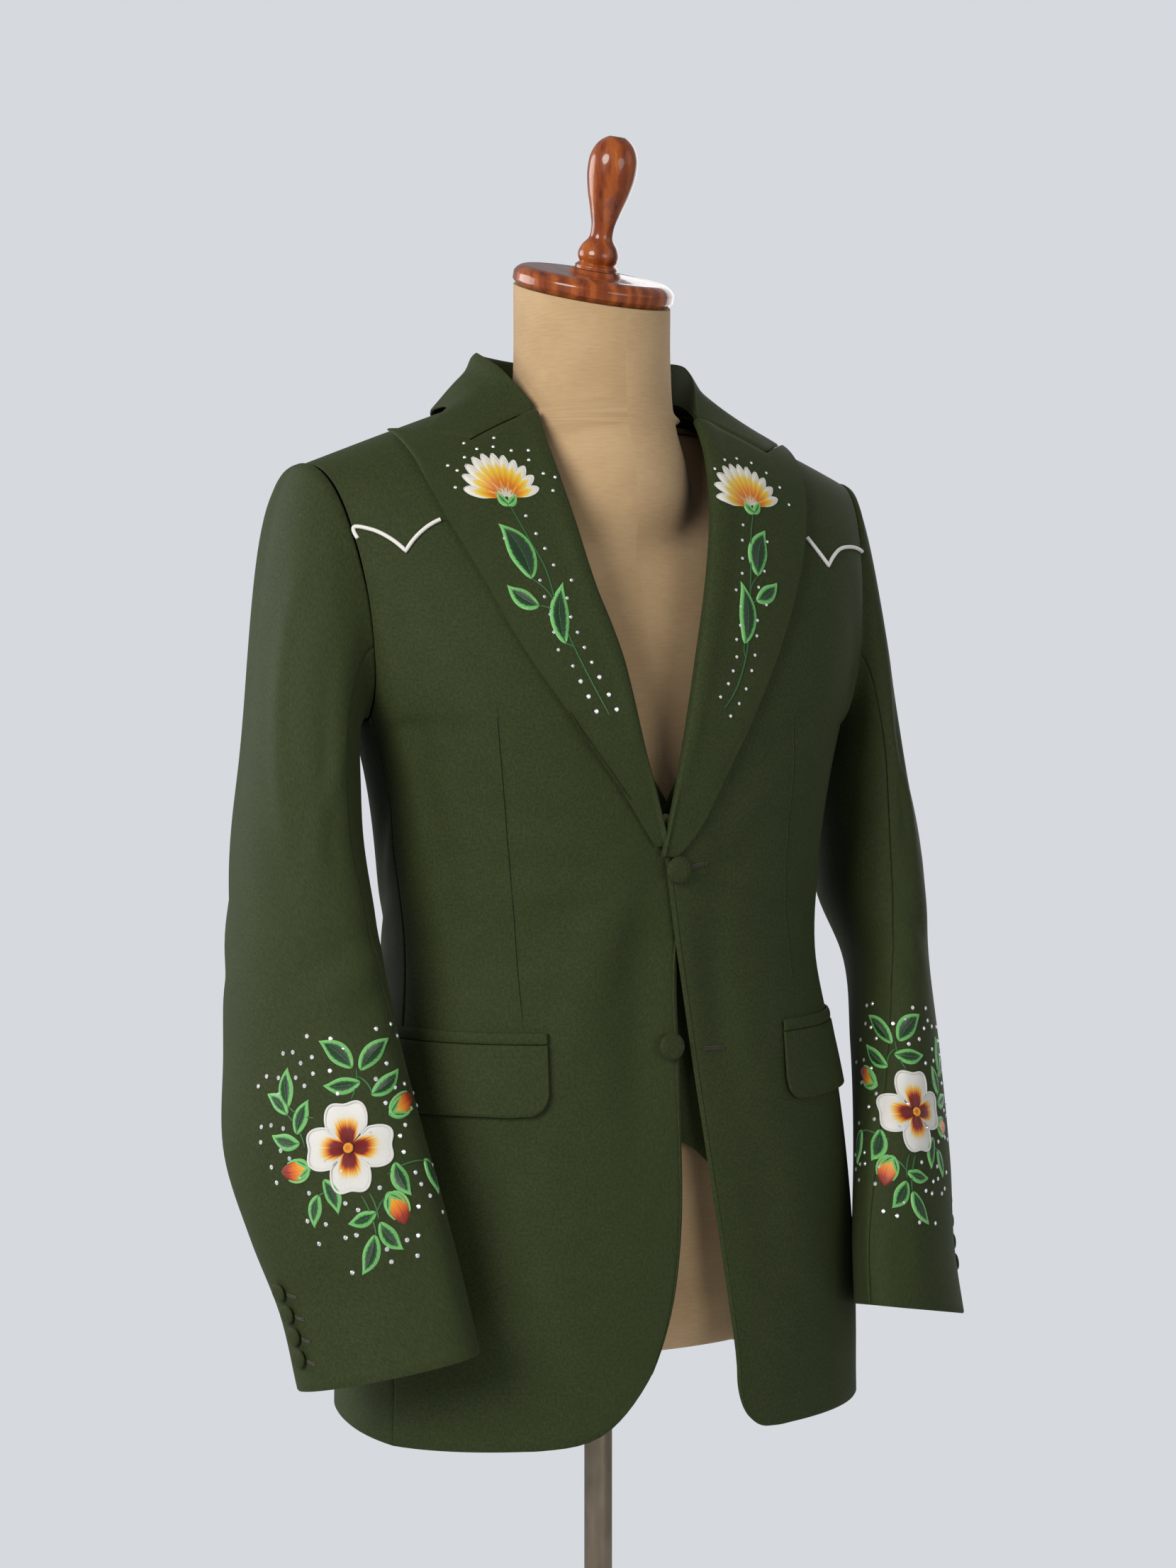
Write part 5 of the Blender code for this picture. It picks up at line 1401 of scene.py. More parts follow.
def make_cord_thread():
    """White satin cord: the slanted strands of its cover."""
    s = Shader("white_piping", 0.46, Sheen_Weight=0.2, Sheen_Roughness=0.4, Specular_IOR_Level=0.4)
    base = s.uv("weave")
    strands = s.waves(s.mapped(base, turn=(0, 0, math.radians(40))), 0.0010, 0.3)
    soil = s.noise(base, 0.01, 2.0)
    s.colour(s.mix(strands, (0.66, 0.645, 0.60), (0.86, 0.85, 0.81)))
    s.roughness(soil, 0.16, 0.38)
    s.bump((strands, 0.55, 0.0002))
    return s.material


THREAD_PERIOD = 0.00055  # between two threads of satin stitch


def thread(name, stops, jagged=0.10):
    """Satin stitch: side by side threads, their colour by the tone layer with a ragged change."""
    s = Shader(name, 0.36, Sheen_Weight=0.10, Sheen_Roughness=0.35, Specular_IOR_Level=0.5)
    stitch = s.uv("stitch")
    lines = s.waves(stitch, THREAD_PERIOD, 0.4)
    ragged = s.noise(s.mapped(stitch, scale=(1, 0.02, 1)), 0.0010, 1.0)
    tone = s.node("SeparateXYZ", None, Vector=s.uv("tone")).outputs[0]
    moved = s.math("ADD", tone, s.math("MULTIPLY", s.math("SUBTRACT", ragged, 0.5), jagged * 2))
    # painted shade: the thread colour is darkened in the grooves between the threads, where the
    # bump sinks
    between = s.ramp(lines, ((0.05, (0.42, 0.42, 0.42)), (0.5, (1, 1, 1))))
    s.colour(s.multiplied(s.ramp(moved, stops, smooth=False), between, 0.55))
    s.bump((lines, 0.6, 0.00022), (ragged, 0.3, 0.0002))
    return s.material


def make_stone():
    """A foil-backed glass stone."""
    s = Shader("rhinestone", 0.18, 0.55, Coat_Weight=1.0, Coat_Roughness=0.05)
    cloudy = s.noise(s.place(), 0.004, 1.0)
    s.colour(s.ramp(cloudy, ((0.3, (0.72, 0.76, 0.82)), (0.7, (0.95, 0.95, 0.93)))))
    s.roughness(cloudy, 0.12, 0.14)
    return s.material


def make_floor():
    """The room's pale floor."""
    s = Shader("studio_floor", 0.9, Specular_IOR_Level=0.1)
    patches = s.noise(s.place(), 0.8, 3.0)
    s.colour(s.ramp(patches, ((0.3, (0.70, 0.725, 0.76)), (0.7, (0.72, 0.745, 0.78)))))
    return s.material


SUITING = twill("green_suiting", lambda s: s.uv("weave"))
SEAM_SHADE = twill("seam_shade", lambda s: s.uv("weave"), scaled(OLIVE, 0.30))
BUTTON_CLOTH = twill("covered_button_cloth", lambda s: s.place(), scaled(OLIVE, 0.92))
LINING = make_lining()
LINEN = make_linen()
WOOD = make_wood()
STEEL = make_steel()
IRON = make_iron()
CORD = make_cord_thread()
STONE = make_stone()
FLOOR = make_floor()
BUTTONHOLE = thread("buttonhole_silk", ((0.0, (0.016, 0.015, 0.006)), (1.0, (0.060, 0.054, 0.026))))
STEM = thread("stem_thread", ((0.0, (0.020, 0.090, 0.024)), (1.0, (0.045, 0.190, 0.050))))
LEAF_STOPS = (
    (0.00, (0.008, 0.030, 0.010)),
    (0.42, (0.012, 0.055, 0.014)),
    (0.52, (0.050, 0.230, 0.050)),
    (0.60, (0.140, 0.500, 0.120)),
    (1.00, (0.250, 0.640, 0.210)),
)
LEAF = thread("leaf_thread", LEAF_STOPS, 0.20)
PETAL_STOPS = (
    (0.00, (0.15, 0.008, 0.006)),
    (0.42, (0.24, 0.009, 0.008)),
    (0.49, (0.76, 0.16, 0.010)),
    (0.58, (0.92, 0.52, 0.045)),
    (0.70, (0.84, 0.80, 0.66)),
    (0.78, (0.83, 0.82, 0.79)),
    (1.00, (0.83, 0.82, 0.79)),
)
PETAL = thread("petal_thread", PETAL_STOPS, 0.14)
CROWN_STOPS = (
    (0.00, (0.84, 0.82, 0.74)),
    (0.16, (0.84, 0.78, 0.55)),
    (0.24, (0.72, 0.15, 0.012)),
    (0.40, (0.86, 0.27, 0.012)),
    (0.60, (0.92, 0.55, 0.030)),
    (0.72, (0.90, 0.66, 0.110)),
    (0.80, (0.85, 0.81, 0.66)),
    (1.00, (0.84, 0.83, 0.80)),
)
CROWN = thread("crown_petal_thread", CROWN_STOPS, 0.12)
BUD_STOPS = (
    (0.00, (0.16, 0.010, 0.007)),
    (0.28, (0.36, 0.030, 0.010)),
    (0.42, (0.72, 0.110, 0.012)),
    (0.68, (0.88, 0.33, 0.018)),
    (1.00, (0.90, 0.56, 0.060)),
)
BUD = thread("bud_thread", BUD_STOPS, 0.20)
HEART_STOPS = (
    (0.00, (0.78, 0.13, 0.015)),
    (0.45, (0.84, 0.30, 0.02)),
    (1.00, (0.86, 0.50, 0.04)),
)
HEART = thread("flower_heart_thread", HEART_STOPS)


# The garment's cloth pieces.

EDGE_DROP = 0.0008  # how far a pressed edge or a seam sinks below the cloth beside it
UNEVEN = 0.0007  # height of the cloth's slow unevenness
BODY_SEED = 1  # of the jacket's unevenness, one for all panels, so it runs on over their seams
VEST_SEED = 7

# Creases of the body, the same for both sides: round from the centre front and up, in metres.
BODY_CREASES = (
    # round, height, to round, to height, width, depth, bow
    (0.030, 1.128, 0.150, 1.172, 0.010, -0.0011, 0.006),
    (0.030, 1.110, 0.165, 1.092, 0.012, -0.0012, -0.006),
    (0.040, 1.140, 0.120, 1.215, 0.011, 0.0008, 0.008),
    (0.213, 1.340, 0.196, 1.160, 0.013, 0.0026, 0.006),
    (0.205, 1.300, 0.172, 1.120, 0.012, -0.0016, 0.010),
    (0.226, 1.190, 0.262, 1.110, 0.011, -0.0018, 0.006),
    (0.238, 1.110, 0.300, 1.070, 0.010, -0.0016, 0.004),
    (0.236, 1.060, 0.292, 1.020, 0.012, 0.0014, 0.004),
    (0.120, 0.940, 0.175, 0.760, 0.022, -0.0014, 0.010),
    (0.205, 0.990, 0.222, 0.770, 0.022, 0.0020, -0.008),
    (0.095, 0.900, 0.088, 0.740, 0.020, 0.0012, 0.004),
    (0.352, 1.330, 0.338, 1.130, 0.014, 0.0030, -0.008),
    (0.372, 1.300, 0.372, 1.110, 0.013, -0.0026, 0.010),
    (0.330, 1.105, 0.455, 1.082, 0.011, -0.0015, -0.010),
    (0.345, 1.070, 0.460, 1.112, 0.012, 0.0012, 0.012),
    (0.405, 0.980, 0.395, 0.760, 0.024, 0.0018, 0.006),
    (0.352, 0.960, 0.362, 0.750, 0.018, -0.0018, -0.006),
)
# Creases of one front alone, where it hangs from its button.
FRONT_CREASES = {
    -1: (
        (0.020, 1.114, 0.030, 0.930, 0.018, -0.0046, 0.003),
        (0.034, 1.118, 0.082, 0.985, 0.015, 0.0030, 0.005),
        (0.030, 1.122, 0.140, 1.128, 0.009, -0.0014, 0.003),
        (0.060, 1.100, 0.130, 1.060, 0.016, -0.0016, 0.004),
        (0.085, 0.985, 0.150, 1.075, 0.018, -0.0016, 0.004),
    ),
    1: (
        (0.026, 1.105, 0.050, 0.960, 0.016, -0.0022, -0.004),
        (0.030, 1.124, 0.130, 1.130, 0.010, -0.0014, 0.003),
        (0.070, 1.200, 0.165, 1.250, 0.018, -0.0014, 0.006),
        (0.060, 0.930, 0.100, 0.780, 0.024, -0.0020, 0.004),
    ),
}
# Creases of a sleeve: degrees round from its front and height.
SLEEVE_CREASES = {
    -1: (
        # turn, height, to turn, to height, width, depth, bow
        (58, 1.330, 44, 1.150, 0.010, 0.0022, 0.006),
        (40, 1.150, 46, 1.060, 0.014, 0.0012, -0.004),
        (20, 1.290, 10, 1.140, 0.012, -0.0024, -0.005),
        (95, 1.280, 100, 1.080, 0.020, -0.0016, 0.008),
        (-10, 1.215, 30, 1.115, 0.010, 0.0018, 0.005),
        (-30, 1.085, 52, 1.052, 0.012, -0.0022, 0.008),
        (-24, 1.050, 34, 1.018, 0.010, -0.0017, 0.005),
        (-14, 1.068, 60, 1.030, 0.009, 0.0012, 0.006),
        (10, 0.905, 28, 0.800, 0.014, 0.0014, 0.004),
        (78, 0.880, 96, 0.800, 0.016, -0.0012, 0.004),
        (150, 1.180, 120, 1.070, 0.014, -0.0024, 0.008),
        (200, 1.090, 135, 1.040, 0.013, -0.0022, -0.006),
        (205, 1.240, 190, 1.110, 0.013, 0.0022, 0.006),
    ),
    1: (
        (62, 1.310, 50, 1.130, 0.012, 0.0020, 0.006),
        (24, 1.260, 8, 1.120, 0.012, -0.0022, -0.006),
        (-34, 1.100, 40, 1.062, 0.012, -0.0024, 0.008),
        (-26, 1.062, 30, 1.030, 0.010, -0.0018, 0.005),
        (-12, 1.230, 26, 1.150, 0.010, 0.0016, 0.004),
        (-34, 0.960, -16, 0.810, 0.010, 0.0022, 0.003),
        (6, 0.900, 24, 0.805, 0.014, -0.0013, 0.004),
        (96, 1.250, 104, 1.080, 0.018, -0.0018, 0.008),
        (155, 1.190, 122, 1.070, 0.014, -0.0024, 0.008),
        (200, 1.080, 138, 1.040, 0.013, -0.0022, -0.006),
        (210, 1.240, 188, 1.120, 0.013, 0.0020, 0.006),
    ),
}
SLEEVE_ACROSS = 0.060  # metres of cloth for one radian round a sleeve, about
VEST_CREASES = (
    (0.020, 1.040, 0.100, 1.075, 0.010, -0.0010, 0.004),
    (0.020, 0.985, 0.100, 0.965, 0.010, -0.0010, -0.004),
)

CALM = 0.05  # the two backs meet in one line, so they are even this far beside it
INSIDE = 0.4  # the share of a pressed edge that shows on the inside
YOKE_TIP = 6  # the yoke's point, in the steps along its seam
LIP = (
    # the front edge's pressed lip: distance from the edge, height
    (0.0024, 0.0004),
    (0.0034, -0.0004),
    (0.0046, -0.0001),
)


def edge_lines(grid, measure, distances):
    """The grid with more lines at some distances from its first edge."""
    places = measure(grid)
    round_ = np.cumsum(np.linalg.norm(np.diff(places[:4], axis=0), axis=2), axis=0)
    lines = []
    for distance in distances:
        share = np.clip(distance / np.maximum(round_[1], 1e-6), 0.1, 0.9)[:, None]
        lines.append(grid[1] * (1 - share) + grid[2] * share)
    return np.vstack([grid[:2], np.array(lines), grid[2:]])


def fine_panel(
    name, skin, side, where, steps_of, sharp=((), ()), out=0.0, wall=WALL, rows=(), lip=False,
    inside=None, seed=0,
):
    """A cloth piece on a skin, from its coarse grid of (d, t) and how far it stands out."""
    extra = np.broadcast_to(out, where.shape[:2])[..., None]
    grid = finer(np.concatenate([where, extra], axis=-1), steps_of, sharp, (1, LEVEL, 0))
    grid = edged(grid, skin.places)
    if lip:
        grid = edge_lines(grid, skin.places, [row[0] for row in LIP])
    d, stand = grid[..., 0], grid[..., 2]
    if lip:
        stand = lap_of_front(side, grid[..., :2])
    p, n = skin.both(grid)
    height = p[..., 2]
    calm = np.clip(np.abs(p[..., 0]) / CALM, 0, 1) if name.startswith("cloth_back") else 1
    body = creases(np.abs(d), height, rows) + calm * unevenness(d * side, height, UNEVEN, seed)
    drop = border_drop(d.shape) * EDGE_DROP
    if lip:
        body[2 : 2 + len(LIP)] += np.array([row[1] for row in LIP])[:, None]
    outer = p + n * (stand + body - drop)[..., None]
    inner = p + n * (stand + body - wall + drop * INSIDE)[..., None]
    weave = np.stack([d, gone_along(p)], axis=-1)
    return shell(name, outer, inner, weave, [SUITING, inside or LINING]), outer


def make_jacket_body(side):
    """Half of the jacket's body; gives its front."""
    where, out = front_grid(side)
    panels = (
        # solid, piece, grid, stand-out, steps, bends
        ("jacket_front_", "cloth_front_", where, out, (6, 5), ((YOKE_TIP,), (10, 11))),
        ("front_yoke_", "cloth_yoke_", yoke_grid(side), 0.0, (6, 7), ((YOKE_TIP,), ())),
        ("jacket_side_", "cloth_side_", side_grid(side), 0.0, (6, 7), ((), ())),
        ("jacket_back_", "cloth_back_", back_grid(side), 0.0, (6, 5), ((4,), (10,))),
    )
    for node, name, where, out, steps_of, sharp in panels:
        is_front = node == "jacket_front_"
        rows = BODY_CREASES + FRONT_CREASES[side] * is_front
        piece, outer = fine_panel(
            name + NAMES[side], JACKET, side, where, steps_of, sharp, out, rows=rows,
            lip=is_front, seed=BODY_SEED,
        )
        put(piece, "green_suiting", node + NAMES[side])
        if is_front:
            front = piece
    return front


def folded_piece(name, points, outwards, bend, soft, seed):
    """A lapel or the collar, through its coarse grid of points in space."""
    grid = edged(finer(points, (4, 5), ((bend,), ())), lambda g: g)
    n = grid_normals(grid, outwards)
    drop = border_drop(grid.shape[:2], 0)[..., None] * EDGE_DROP
    wave = unevenness(grid[..., 0], grid[..., 2], soft, seed)[..., None]
    outer = grid + n * (wave - drop)
    inner = grid - n * (LAPEL_WALL - wave - drop * INSIDE)
    across = gone_along(np.moveaxis(grid, 1, 0)).T
    weave = np.stack([across, gone_along(grid)], axis=-1)
    return shell(name, outer, inner, weave, [SUITING, SUITING]), outer


LAPEL_EASE = 0.30  # the share of the lapel's length over which it rises from its front
LAPEL_CLEAR = 0.0004  # a lapel's inside lies this far off its front, at least


def make_lapel(side):
    """A lapel that rolls out of its front."""
    where, lift, over = lapel_grid(side)
    rising = np.clip(np.linspace(0, 1, LAPEL_STEPS) / LAPEL_EASE, 0, 1)
    low = LAPEL_WALL + LAPEL_CLEAR + over * OVERLAP[side]
    lift = low + (lift - low) * (rising**2 * (3 - 2 * rising))
    points = lapel_points(side, where, lift, over)
    middle = where[where.shape[0] // 2, where.shape[1] // 2]
    piece, outer = folded_piece(
        "cloth_lapel_" + NAMES[side], points, JACKET.normal(*middle), bend=6, soft=0.0005, seed=3
    )
    put(piece, "green_suiting", "lapel_" + NAMES[side])
    return piece


def make_fine_collar():
    """The collar, from its stand over the fold to its outer edge."""
    up = np.array((0, 0, 1.0))
    piece, outer = folded_piece("cloth_collar", collar_points(), up, bend=7, soft=0.0003, seed=5)
    put(piece, "green_suiting", "jacket_collar")


SLEEVE_LEVELS = np.r_[0, 0.02, np.linspace(0.04, 1, 26), np.linspace(1, 2, 66)[1:-1], 1.997, 2]
SLEEVE_TURN = 3.0  # degrees between its lines of points
SLEEVE_NARROW = 0.035  # half of its depth at the wrist
SLEEVE_SEAM_DROP = 0.0007
ROPE = 0.0016  # the roped sleeve head stands up a little beside its seam
ROPE_AT, ROPE_WIDTH = 0.075, 0.05  # in levels of the sleeve


def make_fine_sleeve(side):
    """A sleeve's two panels, the upper one first."""
    sleeve = SLEEVES[side]
    spread = math.degrees(SEAM / SLEEVE_NARROW)
    made = []
    parts = (
        ("_top", FRONT_SLEEVE_SEAM, BACK_SLEEVE_SEAM),
        ("_under", BACK_SLEEVE_SEAM, FRONT_SLEEVE_SEAM + 360),
    )
    for tail, start, stop in parts:
        degrees = np.arange(start, stop + 0.1, SLEEVE_TURN)
        first, last = degrees[0] + spread, degrees[-1] - spread
        degrees = np.r_[first, first + 1.0, degrees[1:-1], last - 1.0, last]
        turn, s = np.meshgrid(np.radians(degrees), SLEEVE_LEVELS, indexing="ij")
        p, n = sleeve.both(turn, s)
        rows = [
            (math.radians(a) * SLEEVE_ACROSS, z, math.radians(b) * SLEEVE_ACROSS, w, *rest)
            for a, z, b, w, *rest in SLEEVE_CREASES[side]
        ]
        across = ((turn + np.pi / 2) % (2 * np.pi) - np.pi / 2) * SLEEVE_ACROSS
        height = p[..., 2]
        stand = creases(across, height, rows) * np.clip(s / 0.25, 0, 1)
        wave = unevenness(turn * SLEEVE_ACROSS, height, UNEVEN, side + 4)
        stand = stand + wave * np.clip(s / 0.3, 0, 1)
        head = np.clip(np.sin(turn), 0, 1) ** 2
        stand = stand + ROPE * head * np.exp(-(((s - ROPE_AT) / ROPE_WIDTH) ** 2))
        drop = border_drop(s.shape) * SLEEVE_SEAM_DROP
        outer = p + n * (stand - drop)[..., None]
        inner = p + n * (stand - WALL + drop * INSIDE)[..., None]
        weave = np.stack([turn * SLEEVE_ACROSS, gone_along(p)], axis=-1)
        name = "cloth_sleeve_" + NAMES[side] + tail
        piece = shell(name, outer, inner, weave, [SUITING, LINING])
        put(piece, "green_suiting", "sleeve_" + NAMES[side] + tail)
        made.append(piece)
    return made


FLAP_WALL = 0.0020
FLAP_OUT, FLAP_FLARE = 0.0030, 0.0022  # how far it stands out at its top, and more at its foot
WELT_OUT = (0.0021, 0.0030, 0.0021)  # how far the welt stands out over its height


def make_fine_pocket(side):
    """A hip pocket's flap and the welt over it."""
    name = NAMES[side]
    where, height = flap_grid(side, FLAP_LOW, FLAP_TOP, True)
    out = FLAP_OUT + FLAP_FLARE * (FLAP_TOP - height) / (FLAP_TOP - FLAP_LOW)
    flap, outer = fine_panel(
        "cloth_flap_" + name, JACKET, side, where, (6, 6), out=out, wall=FLAP_WALL,
        rows=BODY_CREASES, seed=BODY_SEED,
    )
    put(flap, "green_suiting", "pocket_flap_" + name)
    where, _ = flap_grid(side, FLAP_TOP + GAP, FLAP_TOP + WELT_TALL, False, rows=len(WELT_OUT))
    welt, outer = fine_panel(
        "cloth_welt_" + name, JACKET, side, where, (6, 4), out=WELT_OUT, rows=BODY_CREASES,
        inside=SUITING, seed=BODY_SEED,
    )
    put(welt, "green_suiting", "pocket_welt_" + name)


def make_fine_vest():
    """The waistcoat's fronts and back; gives its left front, which lies on top."""
    for side in (-1, 1):
        where, out = vest_front_grid(side)
        piece, outer = fine_panel(
            "cloth_vest_" + NAMES[side], VEST, side, where, (8, 5), ((), (6, 7)), out,
            rows=VEST_CREASES, seed=VEST_SEED,
        )
        put(piece, "green_suiting", "vest_front_" + NAMES[side])
        left_front = piece
    half = finer(vest_back_grid(), (6, 5), ((2,), (7,)), (1, LEVEL))
    p, n = VEST.both(half)
    n[-1, :, 0] = 0
    inner = p - unit(n) * WALL
    flip = np.array([-1, 1, 1])
    outer, inner = (np.vstack([points, points[:-1][::-1] * flip]) for points in (p, inner))
    across = np.r_[half[..., 0], 2 * half[-1:, :, 0] - half[:-1, :, 0][::-1]]
    weave = np.stack([across, outer[..., 2]], axis=-1)
    piece = shell("cloth_vest_back", outer, inner, weave, [LINING, LINING])
    put(piece, "green_suiting", "vest_back")
    return left_front


# The form, its stand and the trim.

FORM_TUCK = 0.0008 / 0.12  # the share by which the form's cover is smaller under the shoulders
TUCKED = ((1.22, 1.30, 1.44, 1.50), (0, 1, 1, 0))  # heights, and how much of it they take
FORM_SIDES = 160
FOOT_ROUND = (0.985, 0.985, 1), (0, 0, 0.002)  # the cover's lowest ring: its size and its lift


def make_fine_torso():
    """The form's cover, from its lower rim to the cut of its neck."""
    turns = np.linspace(0, 2 * np.pi, FORM_SIDES + 1)
    rings = []
    for z in finer_line(TORSO_LEVELS[:, None], 4, range(len(TORSO_LEVELS)))[:, 0]:
        x, y = section(z, turns).T
        tuck = 1 - FORM_TUCK * np.interp(z, *TUCKED)
        rings.append(np.column_stack([x * tuck, y * tuck, z + neck_lean(x, y, z)]))
    rings = np.array(rings)
    rings[0] = rings[0] * FOOT_ROUND[0] + FOOT_ROUND[1]
    verts = np.vstack([rings.reshape(-1, 3), [rings[0].mean(0), rings[-1].mean(0)]])
    faces = grid_faces(len(rings), FORM_SIDES + 1, 0, True).tolist()
    low, high, last = len(verts) - 2, len(verts) - 1, len(verts) - 3 - FORM_SIDES
    faces += [(low, j + 1, j) for j in range(FORM_SIDES)]
    faces += [(high, last + j, last + j + 1) for j in range(FORM_SIDES)]
    weave = np.stack([gone_along(rings), rings[..., 2]], axis=-1).reshape(-1, 2)
    weave = np.vstack([weave, [[0, rings[0, 0, 2]], [0, rings[-1, 0, 2]]]])
    piece = mesh_object("form_cover", verts, faces, [LINEN], {"weave": weave})
    merge_close(piece)
    put(piece, "form_linen", "form_torso")


def merge_close(piece):
    """Joins the first and last column of a tube into one."""
    mesh = bmesh.new()
    mesh.from_mesh(piece.data)
    bmesh.ops.remove_doubles(mesh, verts=mesh.verts, dist=0.00002)
    bmesh.ops.recalc_face_normals(mesh, faces=mesh.faces)
    mesh.to_mesh(piece.data)
    mesh.free()


def turned_faces(rings, sides):
    """The side faces and the foot of a turned piece."""
    faces = []
    for i in range(rings - 1):
        for j in range(sides):
            a, b = i * sides + j, i * sides + (j + 1) % sides
            faces.append((a, b, b + sides, a + sides))
    return faces + [tuple(range(sides - 1, -1, -1))]


def lathe(name, profile, sides, material, place=(0, 0, 0), tip=(0, 0), sharp=(), k=5):
    """A fine turned piece through the profile of its solid."""
    rows = finer_line(np.array(profile, float), k, sharp)
    turns = np.linspace(0, 2 * np.pi, sides, endpoint=False)
    verts = [(r * math.cos(a), r * math.sin(a), h) for r, h in rows for a in turns]
    faces = turned_faces(len(rows), sides)
    faces.append(tuple(range((len(rows) - 1) * sides, len(rows) * sides)))
    turn = np.array(Euler((*tip, 0)).to_matrix())
    verts = np.array(verts) @ turn.T + np.array(place)
    return mesh_object(name, verts, faces, [material], smooth_angle=60)


def make_fine_stand():
    """Neck cap, knob, pole and round base."""
    tip = (NECK_TIP_FORWARD, NECK_TIP_SIDE)
    up = np.array([math.sin(NECK_TIP_SIDE), -math.sin(NECK_TIP_FORWARD), 0])
    up[2] = math.sqrt(1 - up @ up)
    foot = np.array([NECK_X, 0, NECK_TOP]) + up * GAP
    cap = lathe("neck_cap", CAP_PROFILE, 96, WOOD, foot, tip, (1, 2, 4, 5))
    put(cap, "polished_wood", "form_neck_cap")
    high = foot + up * (CAP_PROFILE[-1][1] + GAP)
    knob = lathe("finial", KNOB_PROFILE, 64, WOOD, high, tip, (1, 2), 6)
    put(knob, "polished_wood", "form_finial")
    base = lathe("round_base", BASE_PROFILE, 128, IRON, sharp=(1, 2, 3), k=4)
    put(base, "painted_iron", "stand_base")
    ends = ((POLE_RADIUS, POLE_FOOT + GAP), (POLE_RADIUS, FORM_RINGS[0][0] - GAP))
    pole = lathe("drawn_pole", ends, 64, STEEL, k=12)
    put(pole, "brushed_steel", "stand_pole")


def frame_along(path, normals):
    """The ways across and up at each point of a path on a surface."""
    along = unit(np.gradient(path, axis=0))
    across = unit(np.cross(along, normals))
    return across, unit(np.cross(across, along))


def rings_along(path, normals, radius, sides, squash=1.0):
    """Rings of points round a path on a surface, squashed against it, and their turns."""
    across, up = (way[:, None] for way in frame_along(path, normals))
    turns = np.linspace(0, 2 * np.pi, sides + 1)
    ring = np.cos(turns)[:, None] * across + squash * np.sin(turns)[:, None] * up
    return path[:, None] + np.reshape(radius, (-1, 1, 1)) * ring, turns


def cord_along(name, path, normals, radius, sides, material):
    """A round cord lying along a path."""
    points, turns = rings_along(path, normals, radius, sides)
    verts = np.vstack([points.reshape(-1, 3), path[:1], path[-1:]])
    faces = grid_faces(len(path), sides + 1, 0, True).tolist()
    low, high, last = len(verts) - 2, len(verts) - 1, len(verts) - 3 - sides
    faces += [(low, j, j + 1) for j in range(sides)]
    faces += [(high, last + j + 1, last + j) for j in range(sides)]
    along = gone(path)
    weave = np.stack(np.broadcast_arrays(along[:, None], turns * radius), axis=-1)
    weave = np.vstack([weave.reshape(-1, 2), [[0, 0], [along[-1], 0]]])
    piece = mesh_object(name, verts, faces, [material], {"weave": weave})
    merge_close(piece)
    return piece


def make_fine_piping(side):
    """The cord in the yoke's seam, where the lapel leaves it bare."""
    line = piping_path(side)
    tip = int(np.argmin(JACKET.places(line)[:, 2]))
    fine = finer_line(line, 8, (tip,), (1, LEVEL))
    p, n = JACKET.both(fine)
    height = creases(np.abs(fine[:, 0]), p[:, 2], BODY_CREASES)
    height = height + unevenness(fine[:, 0] * side, p[:, 2], UNEVEN, BODY_SEED)
    height = height + PIPING_RADIUS * PIPING_OUT
    path = p + n * height[:, None]
    piece = cord_along("piping_" + NAMES[side], path, n, PIPING_RADIUS, 14, CORD)
    put(piece, "white_piping", "yoke_piping_" + NAMES[side])


BUTTON_SIDES = 48
PUCKERS, PUCKER_DEPTH = 12, 0.016  # folds round a button's rim, and their depth in radii


def covered_button(name, radius, thick, place, normal):
    """A domed button in the suit's cloth, which puckers where it is drawn in under the rim."""
    rows = finer_line(np.array(button_profile(radius, thick), float), 3)
    rows = np.vstack([rows, [[radius * 0.13, thick * 1.015]]])
    turns = np.linspace(0, 2 * np.pi, BUTTON_SIDES, endpoint=False)
    verts = []
    for r, h in rows:
        pucker = PUCKER_DEPTH * np.cos(PUCKERS * turns) * np.clip(1 - h / (thick * 0.6), 0, 1)
        reach = r * (1 + pucker)
        verts += list(np.stack([reach * np.cos(turns), reach * np.sin(turns), 0 * turns + h], 1))
    verts.append((0, 0, thick * 1.02))
    last, top = (len(rows) - 1) * BUTTON_SIDES, len(verts) - 1
    faces = turned_faces(len(rows), BUTTON_SIDES)
    faces += [(last + j, last + (j + 1) % BUTTON_SIDES, top) for j in range(BUTTON_SIDES)]
    turn = np.array(Vector(normal).normalized().to_track_quat("Z", "Y").to_matrix())
    verts = np.array(verts) @ turn.T + np.array(place)
    return mesh_object(name, verts, faces, [BUTTON_CLOTH], smooth_angle=70)


def sew_on(name, radius, thick, surface, where, out):
    """A covered button at a spot of a skin or a sleeve, standing off it by out."""
    p, n = surface.at(*where), surface.normal(*where)
    put(covered_button("covered_" + name, radius, thick, p + n * out, n), "covered_button", name)


FRONT_BUTTONS_OUT = (LAP + 0.0008, 0.0006)
CUFF_BUTTONS_OUT = 0.0008
VEST_BUTTONS_OUT = LAP + 0.0004


